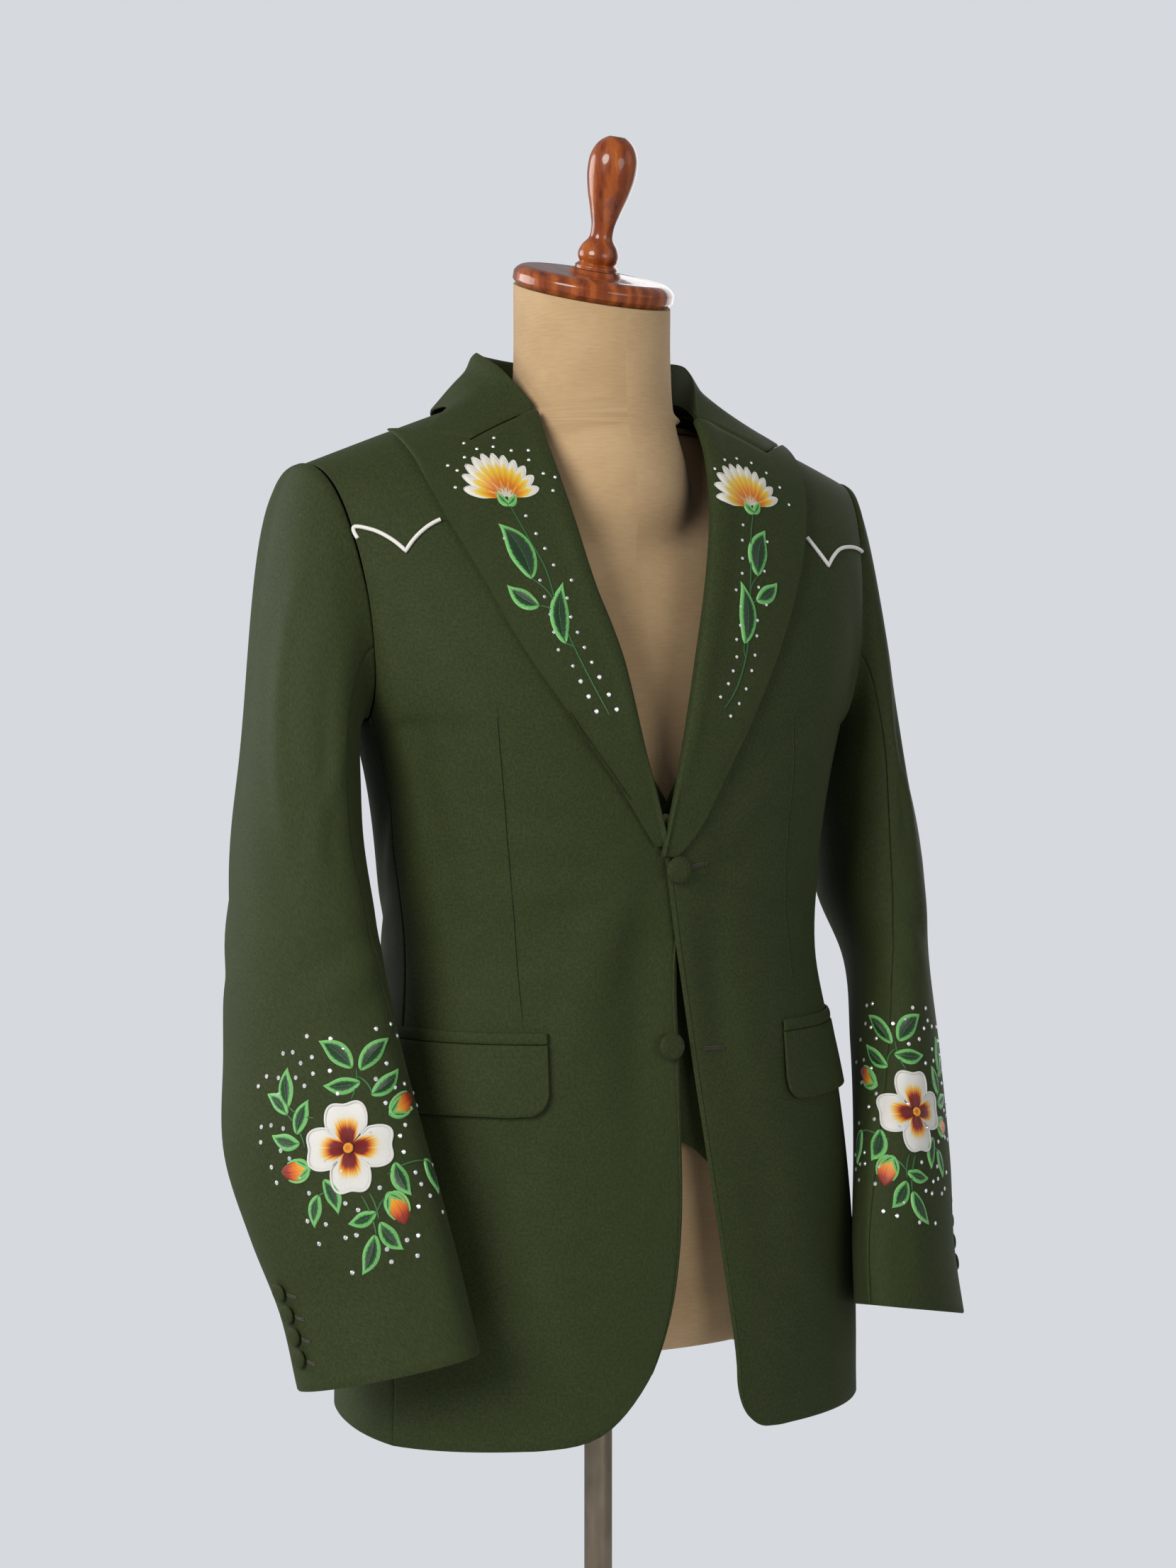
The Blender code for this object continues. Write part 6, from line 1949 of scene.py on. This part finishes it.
def make_fine_buttons():
    """All covered buttons: two in front, four on each cuff, four inside."""
    size = FRONT_BUTTON_RADIUS, FRONT_BUTTON_THICK
    for i, ((x, z), out) in enumerate(zip(FRONT_BUTTONS, FRONT_BUTTONS_OUT, strict=True), 1):
        sew_on(f"front_button_{i}", *size, JACKET, JACKET.spot(x, z), out)
    size = CUFF_BUTTON_RADIUS, CUFF_BUTTON_THICK
    for side, sleeve in SLEEVES.items():
        for i in range(4):
            name = f"cuff_button_{NAMES[side]}_{i + 1}"
            sew_on(name, *size, sleeve, cuff_button_spot(side, i), CUFF_BUTTONS_OUT)
    size = VEST_BUTTON_RADIUS, CUFF_BUTTON_THICK
    for i, z in enumerate(VEST_BUTTONS, 1):
        sew_on(f"vest_button_{i}", *size, VEST, VEST.spot(0.0, z), VEST_BUTTONS_OUT)


# Embroidery, stones, buttonholes and darts, laid on the finished shells.


def tree_of(*pieces):
    """The surfaces of some pieces, for laying things on them."""
    verts, faces = [], []
    for piece in pieces:
        start = len(verts)
        verts += [v.co[:] for v in piece.data.vertices]
        faces += [tuple(start + k for k in f.vertices) for f in piece.data.polygons]
    return BVHTree.FromPolygons(verts, faces)


REACH = 0.03  # metres off a surface from which points are dropped on it


def dropped(tree, p, n):
    """Each point moved along its normal onto the first surface met from outside, and if one was."""
    found, met = [], []
    for point, normal in zip(p.reshape(-1, 3), n.reshape(-1, 3)):
        hit = tree.ray_cast(Vector(point + normal * REACH), Vector(-normal), REACH * 1.6)[0]
        found.append(point if hit is None else tuple(hit))
        met.append(hit is not None)
    return np.array(found).reshape(p.shape), np.array(met)


class OnBody:
    """Lays points, given as x and height from a start, on the cloth of the jacket or waistcoat."""

    def __init__(self, skin, pieces, x, z, side=1, across=1.0):
        self.skin, self.tree = skin, tree_of(*pieces)
        self.x, self.z, self.side, self.across = x, z, side, across

    def __call__(self, flat):
        x = self.x + flat[..., 0] * self.side * self.across
        where = self.skin.spot(x, self.z + flat[..., 1])
        p, n = self.skin.both(where)
        p, self.met = dropped(self.tree, p, n)
        return p, n


class OnSleeve:
    """Lays points, given as distance toward the wearer's front and up, on a sleeve."""

    LEAN = 0.28  # the motif's upright leans this much toward the front
    LONG = 0.43  # metres of cloth from s 1 to s 2

    def __init__(self, side, pieces, turn, s):
        self.sleeve, self.tree, self.s = SLEEVES[side], tree_of(*pieces), s
        self.turns = np.radians(np.linspace(-100, 230, 331))
        self.round_ = gone(self.sleeve.at(self.turns, s))
        self.start = np.interp(math.radians(turn), self.turns, self.round_)

    def __call__(self, flat):
        inward, up = flat[..., 0], flat[..., 1]
        turn = np.interp(self.start - inward - self.LEAN * up, self.round_, self.turns)
        p, n = self.sleeve.both(turn, self.s - up / self.LONG)
        p, self.met = dropped(self.tree, p, n)
        return p, n


class Stitchery:
    """Threads and stones of one place, gathered into one piece. Flat sizes are millimetres."""

    CORD_SIDES = 8
    CUT = ((1, -0.15), (1, 0.18), (0.5, 0.62))  # a stone's rings: size and height, in its radius
    TABLE = ((16, 17, 18, 19), (16, 19, 20, 23), (20, 21, 22, 23))  # its flat top, in three faces

    def __init__(self, name, slot, lay, materials):
        self.name, self.slot, self.lay, self.materials = name, slot, lay, materials
        self.verts, self.faces, self.stitch, self.tone, self.slots = [], [], [], [], []
        self.count = 0

    def add(self, verts, faces, stitch, tone, material):
        """Adds points and faces, with both uv layers."""
        self.verts.append(np.asarray(verts, float).reshape(-1, 3))
        self.faces += (np.asarray(faces) + self.count).tolist()
        self.stitch.append(np.asarray(stitch, float).reshape(-1, 2))
        self.tone.append(np.column_stack([np.ravel(tone)] * 2))
        self.slots += [self.materials.index(material)] * len(faces)
        self.count += len(self.verts[-1])

    def patch(self, flat, height, tone, stitch, material):
        """Satin stitch on a grid of flat points: a dome whose border sinks into the cloth."""
        p, n = self.lay(flat / 1000)
        points = p + n * (height / 1000)[..., None]
        faces = grid_faces(*flat.shape[:2], 0, turned_in(points, n))
        self.add(points, faces, stitch / 1000, tone, material)

    def cord(self, flat, radius, material, lift=0.25, tone=0.5, taper=0.0, squash=0.75):
        """A stitched line through flat points, half sunk in the cloth."""
        p, n = self.lay(flat / 1000)
        path = p + n * (lift * radius / 1000)
        thin = 1 - taper * np.abs(np.linspace(-1, 1, len(path))) ** 4
        points, turns = rings_along(path, n, radius / 1000 * thin, self.CORD_SIDES, squash)
        along = gone(path)[:, None] + turns * radius / 1500
        slant = np.stack(np.broadcast_arrays(along, turns * 0.001), -1)
        tones = np.full(points.shape[:2], tone)
        self.add(points, grid_faces(*points.shape[:2]), slant, tones, material)

    def stone(self, spots, across):
        """Round stones with eight sides: a flat table over slanted faces."""
        p, n = self.lay(np.array(spots, float) / 1000)
        turns = np.linspace(0, 2 * np.pi, 8, endpoint=False)
        rows = zip(p, n, np.broadcast_to(across, len(p)) / 2000, self.lay.met)
        for point, normal, size, met in rows:
            if not met:
                continue
            one = unit(np.cross(normal, (0.3, 0.2, 1.0)))
            two = np.cross(normal, one)
            ring = np.cos(turns)[:, None] * one + np.sin(turns)[:, None] * two
            verts = [point + ring * size * r + normal * size * h for r, h in self.CUT]
            faces = turned_faces(len(self.CUT), 8)[:-1]
            self.add(np.vstack(verts), faces, np.zeros((24, 2)), np.zeros(24), STONE)
            self.faces += (np.array(self.TABLE) + self.count - 24).tolist()
            self.slots += [self.materials.index(STONE)] * len(self.TABLE)

    def finish(self):
        """Makes the piece."""
        layers = {"stitch": np.vstack(self.stitch), "tone": np.vstack(self.tone)}
        piece = mesh_object(
            self.name, np.vstack(self.verts), self.faces, self.materials, layers, self.slots, 35
        )
        put(piece, self.slot)


def bent(start, end, bow, count=24):
    """Points on a bowed line; bow is its share of the length, to the left of its way."""
    start, end = np.array(start, float), np.array(end, float)
    f = np.linspace(0, 1, count)[:, None]
    off = np.array([start[1] - end[1], end[0] - start[0]])
    return start + (end - start) * f + off * bow * 4 * f * (1 - f)


def circle(turns, reach=1.0):
    """Points round a middle, at some turns in radians."""
    return reach * np.stack([np.cos(turns), np.sin(turns)], -1)


def blade(base, tip, bow, wide, low, power, rows, cols):
    """A pointed shape on a bowed line: flat points, half widths, length, and places up and across.

    low moves its widest place toward the base, and power says how full its two ends are.
    """
    middle = bent(base, tip, bow, rows)
    along = unit(np.gradient(middle, axis=0))
    aside = np.stack([-along[:, 1], along[:, 0]], -1)
    long = np.linalg.norm(np.subtract(tip, base))
    u, v = np.linspace(0, 1, rows), np.linspace(-1, 1, cols)
    half = long * wide / 2 * np.sin(np.pi * u**low) ** np.linspace(*power, rows)
    flat = middle[:, None] + aside[:, None] * (half[:, None] * v)[..., None]
    return flat, half[:, None], long, u[:, None], v


LEAF_BORDER = 6.2  # about how wide the border's light threads are


def leaf(work, tip, base, wide, bow, rows=26, cols=13):
    """A leaf of satin stitch: a bright border with a ragged inner edge round a dark heart."""
    flat, half, long, u, v = blade(base, tip, bow, wide, 0.88, (0.70, 1.15), rows, cols)
    ends = np.clip(np.minimum(u, 1 - u) / 0.08, 0, 1) ** 0.5
    height = 1.15 * np.clip(1 - np.abs(v) ** 8, 0, 1) * ends - 0.12
    height = height - 0.28 * np.exp(-((v / 0.10) ** 2)) * ends
    reach = half * np.abs(v)
    tone = np.clip(1 - (half - reach) / LEAF_BORDER, 0.12, 1)
    tone = np.maximum(tone, np.interp(u, (0, 0.07, 0.86, 1), (0.7, 0, 0, 1.0)))
    stitch = np.stack([u * long - reach * 0.8, reach], -1)
    work.patch(flat, height, tone, stitch, LEAF)
    work.cord(bent(base, tip, bow, 14)[:11], 0.32, LEAF, 3.0, 0.47, 0.8)


def petal(
    work, centre, angle, reach, spread, low, lobes=0.045, rows=20, cols=25, point=0.0, fill=PETAL
):
    """A petal of long threads from the flower's middle, with a raised satin edge."""
    u, v = np.linspace(0, 1, rows)[:, None], np.linspace(-1, 1, cols)
    fall = 0.36 if lobes else 0.25
    end = 1 - fall * np.abs(v) ** 3.4 - point * np.abs(v) ** 1.2 - lobes * np.cos(v * np.pi * 2.2)
    turn = math.radians(angle) + math.radians(spread) * v * (0.90 + 0.10 * np.abs(v))
    far = low + (reach * end - low) * u
    flat = np.array(centre) + far[..., None] * circle(turn)
    height = 0.95 * np.sin(np.pi * np.clip(u, 0.02, 1)) ** 0.35
    height = height * (0.25 + 0.75 * (1 - np.abs(v) ** 6))
    height = height + 0.10 * np.sin(9 * v) * u * (lobes > 0)
    stitch = np.stack([v * math.radians(spread) * reach * 0.75 + 0 * u, far], -1)
    tone = u + (0.26 if lobes else 0.0) * np.square(v)
    work.patch(flat, height, np.clip(tone, 0, 1), stitch, fill)
    begin = rows * 3 // 5 if lobes else rows * 3 // 4
    edge = np.vstack([flat[begin:, 0], flat[-1, 1:-1], flat[begin:, -1][::-1]])
    count, radius = (64, 0.95) if lobes else (24, 0.35)
    work.cord(through(edge, count), radius, fill, 0.7, 1.0, 0.5)


def bud(work, base, tip):
    """An egg-shaped bud, dark red at its tip, in a green calyx."""
    flat, half, long, u, v = blade(base, tip, 0.05, 0.62, 0.80, (0.62, 0.62), 16, 11)
    dome = np.sin(np.pi * np.clip(u, 0.03, 0.97)) ** 0.4
    height = 1.25 * (1 - np.abs(v) ** 4) * dome - 0.10
    stitch = np.stack([v * half, u * long + 0 * v], -1)
    work.patch(flat, height, np.broadcast_to(1 - u, height.shape), stitch, BUD)
    green = len(flat) * 4 // 5  # the calyx goes up this far
    ring = np.vstack([flat[:green, 0][::-1], flat[1:green, -1]])
    work.cord(ring, 1.05, LEAF, 0.5, 0.85, 0.55)
    for turn in (-0.55, 0.55):
        way = (np.array(tip) - base) * 0.62
        way = np.array([way[0] - turn * way[1], way[1] + turn * way[0]])
        leaf(work, base + way * 0.85, base - way * 0.12, 0.36, 0.10 * turn, 14, 9)


def knot_ring(work, centre, radius, bead):
    """A ring of knots round a satin heart, at the middle of a flower."""
    round_ = circle(np.linspace(0, 2 * np.pi, 15), radius)
    work.cord(round_ + centre, bead, CROWN, 1.6, 0.48, 0.0, 0.9)
    u, v = np.linspace(0.02, 1, 6)[:, None], np.linspace(0, 2 * np.pi, 17)
    stitch = radius * u[..., None] * circle(v)
    height = 1.2 + 0.9 * np.sqrt(1 - u**2 * 0.9) + 0 * v
    work.patch(stitch + centre, height, 0.55 * u + 0 * v, stitch, HEART)


DRAWS = 6000


def scattered(middle, reach, avoid, count, apart, near, far, seed):
    """Seeded places for stones: near to the motif's points but not on them, and apart."""
    draw = np.random.default_rng(seed)
    found = []
    for spot in draw.uniform(-1, 1, (DRAWS, 2)) * reach + middle:
        gap = np.linalg.norm(avoid - spot, axis=1).min()
        if not near < gap < far:
            continue
        if found and np.linalg.norm(np.array(found) - spot, axis=1).min() < apart:
            continue
        found.append(spot)
        if len(found) == count:
            break
    return np.array(found)


# The sleeve's spray: places in millimetres toward the wearer's front and up, from the flower.
SLEEVE_LEAVES = (
    # tip, base, width, bow
    ((-21, 77), (4, 56), 0.47, -0.08),
    ((33, 76), (10, 54), 0.47, 0.08),
    ((-18, 45), (10, 46), 0.45, 0.06),
    ((40, 53), (17, 36), 0.47, -0.06),
    ((-47, 59), (-46, 31), 0.48, 0.08),
    ((-66, 41), (-47, 26), 0.47, -0.08),
    ((-29, 36), (-39, 12), 0.48, 0.06),
    ((-61, 13), (-37, 6), 0.48, 0.08),
    ((-13, -45), (-21, -20), 0.48, 0.08),
    ((-34, -52), (-26, -30), 0.48, -0.08),
    ((43, -40), (32, -14), 0.46, -0.08),
    ((70, -44), (56, -16), 0.46, 0.08),
    ((-7, -52), (16, -47), 0.47, 0.06),
    ((34, -76), (18, -54), 0.47, -0.08),
    ((-2, -88), (13, -62), 0.47, 0.08),
)
SLEEVE_PETALS = ((94, 32), (-2, 31), (-91, 31), (178, 31))  # angle and reach
SLEEVE_BUDS = (((55, 31), (31, 21)), ((-55, -12), (-31, -11)), ((37, -59), (26, -36)))  # tip, base
SLEEVE_STEMS = (
    # start, end, bow
    ((3, 34), (7, 56), -0.08),
    ((8, 50), (18, 36), 0.12),
    ((-25, 23), (-46, 32), 0.10),
    ((-33, 3), (-47, 26), -0.10),
    ((12, -33), (17, -52), 0.06),
    ((17, -46), (27, -36), 0.10),
    ((-18, -29), (-27, -31), -0.08),
    ((26, -22), (56, -17), 0.10),
    ((6, -34), (14, -63), 0.06),
)
SLEEVE_FLOWER = {-1: (55, 1.6275), 1: (26, 1.6425)}  # turn and s of the flower's middle
FLOWER_COLOURS = [PETAL, CROWN, HEART, LEAF, BUD, STEM, STONE]


def embroider_sleeve(side, pieces, turn, s):
    """A sleeve's spray: a four-petalled flower with stems, leaves and buds, among stones."""
    lay = OnSleeve(side, pieces, turn, s)
    work = Stitchery("embroidery_sleeve_" + NAMES[side], "white_piping", lay, FLOWER_COLOURS)
    motif = []
    for start, end, bow in SLEEVE_STEMS:
        work.cord(bent(start, end, bow), 0.75, STEM, 0.4, 0.5, 0.6)
        motif.append(bent(start, end, bow, 8))
    for tip, base, wide, bow in SLEEVE_LEAVES:
        leaf(work, tip, base, wide, bow)
        motif.append(bent(base, tip, 0, 6))
    for tip, base in SLEEVE_BUDS:
        bud(work, base, tip)
        motif.append(bent(base, tip, 0, 5))
    for angle, reach in SLEEVE_PETALS:
        petal(work, (0, 0), angle, reach, 45.5, 1.5)
        motif.append(bent((0, 0), circle(math.radians(angle), reach), 0, 8))
    knot_ring(work, (0, 0), 2.6, 1.1)
    motif.append(circle(np.radians(np.arange(0, 360, 15)), 27))
    stones = scattered((0, -4), (78, 90), np.vstack(motif), 66, 8.5, 6.0, 13.0, 11 + side)
    work.stone(stones, 3.3)
    work.finish()


# The lapel's spray, in millimetres from its flower's base; x grows toward the centre front.
CROWN_TIPS = (
    # angle, reach
    (168, 33), (151, 35), (136, 36), (121, 36), (107, 35), (93, 34),
    (79, 33), (64, 32), (49, 32), (33, 31), (16, 29),
)
LAPEL_STEM = {
    -1: ((0, -2), (10, -26), (21, -50), (27, -78), (38, -107), (50, -131), (63, -154)),
    1: ((0, -2), (8, -22), (13, -43), (20, -76), (28, -112), (42, -140), (50, -149)),
}
LAPEL_LEAVES = {
    # tip, base, width, bow
    -1: (
        ((-11, -18), (9, -58), 0.47, -0.10),
        ((-11, -62), (13, -77), 0.49, 0.08),
        ((34, -60), (31, -104), 0.36, 0.10),
    ),
    1: (
        ((-7, -17), (8, -52), 0.47, -0.10),
        ((-9, -56), (13, -70), 0.49, 0.08),
        ((25, -56), (28, -102), 0.34, 0.10),
    ),
}
LAPEL_TWIGS = {
    # start, end, bow
    -1: (((9, -58), (27, -80), 0.12), ((13, -77), (28, -84), 0.10), ((31, -104), (37, -106), 0.05)),
    1: (((8, -52), (18, -66), 0.1), ((13, -70), (22, -84), 0.1), ((28, -102), (28, -112), 0.1)),
}
LAPEL_AT = {-1: (-0.110, 1.393), 1: (0.085, 1.392)}  # x and height of the flower's base
LAPEL_ACROSS = {-1: 0.87, 1: 1.0}  # how wide the motif is drawn
LAPEL_FLOWER = {-1: 1.0, 1: 0.98}  # its flower's size
LAPEL_ARCS = {
    # stones over the flower: reach, and first turn, end and step in degrees
    -1: ((39, 8, 176, 20), (46, 20, 150, 32)),
    1: ((38, 6, 176, 21),),
}
LAPEL_LARGE = {-1: 6, 1: 0}  # how many of the lowest stones are large
STONE_SMALL, STONE_LARGE = 2.6, 3.4
STONE_STEP = 12.5  # between the stones on one side of a stem


def crown_flower(work, tips, size):
    """A half-open flower: a fan of pointed petals over a small calyx."""
    for angle, reach in tips[::2] + tips[1::2]:
        petal(work, (0, 0), angle, reach * size, 11.5, 1.5, 0.0, 14, 9, 0.20, CROWN)
    for angle, reach in tips[1::2]:
        petal(work, (0, 0), angle + 7, reach * size * 0.55, 6.0, 2.0, 0.0, 8, 7, 0.25, CROWN)
    leaf(work, (-7 * size, 5 * size), (1 * size, -5 * size), 0.55, 0.1, 12, 9)
    leaf(work, (8 * size, 4 * size), (-1 * size, -5 * size), 0.55, -0.1, 12, 9)


def stones_beside(stem, motif):
    """Places for stones on both sides of a stem, moved out where a leaf lies there."""
    passed = gone(stem)
    along = unit(np.gradient(stem, axis=0))
    found = []
    for k, far in enumerate(np.arange(14, passed[-1] + 4, STONE_STEP / 2)):
        i = min(int(np.searchsorted(passed, far)), len(stem) - 1)
        aside = np.array([-along[i, 1], along[i, 0]]) * (-1 if k % 2 else 1)
        for off in (7.5, 10, 12.5, 15, 17.5, 20):
            spot = stem[i] + aside * off
            if np.linalg.norm(motif - spot, axis=1).min() > 5.6:
                break
        else:
            continue
        if all(np.linalg.norm(spot - other) > 7.0 for other in found):
            found.append(spot)
    return found


def embroider_lapel(side, piece):
    """A lapel's spray: a half-open flower on a long stem with three leaves, and stones."""
    lay = OnBody(JACKET, [piece], *LAPEL_AT[side], -side, LAPEL_ACROSS[side])
    work = Stitchery("embroidery_lapel_" + NAMES[side], "white_piping", lay, FLOWER_COLOURS)
    stem = through(LAPEL_STEM[side], 70)
    work.cord(stem, 0.70, STEM, 0.4, 0.3, 0.4)
    for start, end, bow in LAPEL_TWIGS[side]:
        work.cord(bent(start, end, bow), 0.6, STEM, 0.4, 0.3, 0.5)
    motif = [stem]
    for tip, base, wide, bow in LAPEL_LEAVES[side]:
        leaf(work, tip, base, wide, bow)
        motif.append(bent(base, tip, bow, 8))
    tips = CROWN_TIPS if side < 0 else tuple((180 - a, reach) for a, reach in CROWN_TIPS[::-1])
    crown_flower(work, tips, LAPEL_FLOWER[side])
    stones = []
    for reach, *arc in LAPEL_ARCS[side]:
        stones += list(circle(np.radians(np.arange(*arc)), reach))
    stones += stones_beside(stem, np.vstack(motif))
    large = LAPEL_LARGE[side]
    work.stone(stones, [STONE_SMALL] * (len(stones) - large) + [STONE_LARGE] * large)
    work.finish()


def embroider_vest(piece):
    """The one petal of the waistcoat's embroidery that its fronts leave in sight, and stones."""
    lay = OnBody(VEST, [piece], 0.0, 1.155)
    work = Stitchery("embroidery_waistcoat", "white_piping", lay, FLOWER_COLOURS)
    petal(work, (2, -2), 112, 15, 24, 1.0, 0.0, 12, 9, 0.10, CROWN)
    work.stone([(-20, 25), (-13, 14), (-6, 30)], STONE_SMALL)
    work.finish()


DARTS = {
    # x and height of each front's dart, downwards
    -1: ((-0.131, 1.251), (-0.124, 1.183), (-0.115, 1.091), (-0.111, 1.012)),
    1: ((0.108, 1.243), (0.106, 1.180), (0.104, 1.112), (0.113, 1.030)),
}
DART_ACROSS = np.array((-1.6, -0.9, -0.34, 0.0, 0.34, 0.9, 1.6))  # in millimetres, as its height
DART_HEIGHT = np.array((-0.05, 0.50, 0.40, 0.02, 0.25, 0.275, -0.05))
DART_SUNK = 0.05  # how far a dart's two ends lie in the cloth
DART_SEAM = 2, 3  # the lanes of faces in the shade of the seam
DART_STEPS, DART_FADE = 60, 6  # steps along it, and those in which it rises from the cloth


def sewn_darts(side, piece):
    """The pressed seam of a dart: two low lips with the seam sunk between them."""
    lay = OnBody(JACKET, [piece], 0.0, 0.0)
    line = through(DARTS[side], DART_STEPS) * 1000
    aside = unit(np.gradient(line, axis=0))[:, ::-1] * (-1, 1)
    flat = line[:, None] + aside[:, None] * DART_ACROSS[:, None]
    from_end = np.arange(DART_STEPS)
    from_end = np.minimum(from_end, from_end[::-1])
    fade = np.clip(from_end / DART_FADE, 0, 1)[:, None]
    p, n = lay(flat / 1000)
    points = p + n * (DART_HEIGHT * fade - DART_SUNK * (1 - fade))[..., None] / 1000
    faces = grid_faces(*flat.shape[:2], 0, turned_in(points, n))
    lane = np.arange(len(faces)) % (len(DART_ACROSS) - 1)
    piece = mesh_object(
        "dart_" + NAMES[side], points.reshape(-1, 3), faces.tolist(), [SUITING, SEAM_SHADE],
        {"weave": flat.reshape(-1, 2) / 1000}, np.isin(lane, DART_SEAM).astype(int),
    )
    put(piece, "green_suiting")


FRONT_BUTTONHOLES = (((9, 1129), (24, 1131)), ((20, 996), (40, 995)))  # millimetres: x, height
CUFF_BUTTONHOLE = ((7, -2), (18, -5))  # from its button: toward the front, up


def buttonholes(fronts, sleeves):
    """Corded buttonholes: a bar of close stitches beside each button, with a slit along it."""
    lay = OnBody(JACKET, fronts, 0.0, 0.0)
    work = Stitchery("buttonholes_front", "green_suiting", lay, [BUTTONHOLE])
    for start, end in FRONT_BUTTONHOLES:
        for off in (-0.75, 0.75):
            work.cord(bent(start, end, 0, 14) + (0, off), 0.85, BUTTONHOLE, 0.35, 0.35, 0.5)
        work.cord(np.array([end, end]) + ((0.4, -1.6), (0.4, 1.6)), 0.8, BUTTONHOLE, 0.4, 0.4)
    work.finish()
    for side, pieces in sleeves.items():
        lay = OnSleeve(side, pieces, CUFF_BUTTON_TURN, 1.0)
        work = Stitchery("buttonholes_cuff_" + NAMES[side], "green_suiting", lay, [BUTTONHOLE])
        for i in range(4):
            _, s = cuff_button_spot(side, i)
            up = -(s - 1) * OnSleeve.LONG * 1000
            line = bent(*CUFF_BUTTONHOLE, 0, 10) + (-OnSleeve.LEAN * up, up)
            for off in (-0.6, 0.6):
                work.cord(line + (0, off), 0.65, BUTTONHOLE, 0.35, 0.35, 0.5)
        work.finish()


# The floor, the light and the camera.

FLOOR_RADIUS, FLOOR_SIDES, FLOOR_LOW = 1.6, 96, -0.0005
BACKDROP = (0.672, 0.694, 0.730)
ROOM_LIGHT = 0.37  # how much of the backdrop's brightness reaches the suit from the room
LAMPS = (
    # name, place, aim, size, power, colour
    ("key", (-2.7, -1.5, 2.3), (0, 0, 1.1), 1.8, 90, (1.0, 0.97, 0.92)),
    ("fill", (2.2, -1.8, 2.2), (0, 0, 1.1), 2.0, 4, (1.0, 0.98, 0.94)),
    ("front", (0.7, -3.2, 1.4), (0, 0, 1.0), 1.8, 22, (1.0, 0.97, 0.92)),
    ("right_rear", (2.2, 1.9, 1.8), (0, 0, 1.0), 2.6, 26, (1, 1, 1)),
    ("left_rear", (-2.2, 2.2, 2.0), (0, 0, 1.1), 2.2, 50, (1, 1, 1)),
)


def area_light(name, place, aim, size, power, colour):
    """A round lamp that looks at a point."""
    light = bpy.data.lights.new(name, "AREA")
    light.shape = "DISK"
    light.size = size
    light.energy = power
    light.color = colour
    lamp = bpy.data.objects.new(name, light)
    bpy.context.scene.collection.objects.link(lamp)
    lamp.location = place
    lamp.rotation_euler = (Vector(aim) - Vector(place)).to_track_quat("-Z", "Y").to_euler()


def make_floor_disc():
    """The floor of the studio, which isn't part of the object."""
    turns = np.linspace(0, 2 * np.pi, FLOOR_SIDES, endpoint=False)
    verts = np.column_stack([circle(turns, FLOOR_RADIUS), np.full(FLOOR_SIDES, FLOOR_LOW)])
    floor = mesh_object("studio_floor", verts, [tuple(range(FLOOR_SIDES))], [FLOOR])
    floor.location = (0, 0, 0)


def make_world():
    """An even backdrop, and a little of its light on the suit."""
    world = bpy.data.worlds.new("studio")
    world.use_nodes = True
    nodes, links = world.node_tree.nodes, world.node_tree.links
    back = nodes["Background"]
    back.inputs["Color"].default_value = (*BACKDROP, 1)
    seen = nodes.new("ShaderNodeMapRange")
    seen.inputs["To Min"].default_value = ROOM_LIGHT
    links.new(nodes.new("ShaderNodeLightPath").outputs["Is Camera Ray"], seen.inputs["Value"])
    links.new(seen.outputs["Result"], back.inputs["Strength"])
    bpy.context.scene.world = world
    bpy.context.scene.view_settings.view_transform = "Standard"


CAMERA_FAR, CAMERA_HIGH = 2.1, 1.25
CAMERA_TURN = math.radians(-25)
FOCAL = 3850.0  # of the photograph, in its pixels
AIM_RIGHT, AIM_DOWN = 14.5, 118.0  # from the frame's middle to the point at the camera's own height
FRAME_TALL = 2212


def make_camera():
    """The photograph's camera."""
    data = bpy.data.cameras.new("photo_view")
    data.sensor_fit = "VERTICAL"
    data.sensor_height = 24.0
    data.lens = data.sensor_height * FOCAL / FRAME_TALL
    data.clip_start, data.clip_end = 0.05, 50
    camera = bpy.data.objects.new("photo_view", data)
    bpy.context.scene.collection.objects.link(camera)
    x, y = CAMERA_FAR * math.sin(CAMERA_TURN), -CAMERA_FAR * math.cos(CAMERA_TURN)
    aim = CAMERA_TURN + math.atan(AIM_RIGHT / FOCAL)
    way = Vector((-math.sin(aim), math.cos(aim), -AIM_DOWN / FOCAL))
    camera.location = Vector((x, y, CAMERA_HIGH)) + Vector(SHIFT)
    camera.rotation_euler = way.to_track_quat("-Z", "Y").to_euler()
    bpy.context.scene.camera = camera


def main():
    """Makes all pieces, side by side, and then the studio."""
    fronts, sleeves = {}, {}
    for side in (-1, 1):
        fronts[side] = make_jacket_body(side)
        lapel = make_lapel(side)
        sleeves[side] = make_fine_sleeve(side)
        make_fine_pocket(side)
        make_fine_piping(side)
        embroider_lapel(side, lapel)
        sewn_darts(side, fronts[side])
        embroider_sleeve(side, sleeves[side], *SLEEVE_FLOWER[side])
    make_fine_collar()
    embroider_vest(make_fine_vest())
    make_fine_buttons()
    buttonholes(fronts.values(), sleeves)
    make_fine_torso()
    make_fine_stand()
    make_floor_disc()
    make_world()
    for row in LAMPS:
        area_light(*row)
    make_camera()


main()
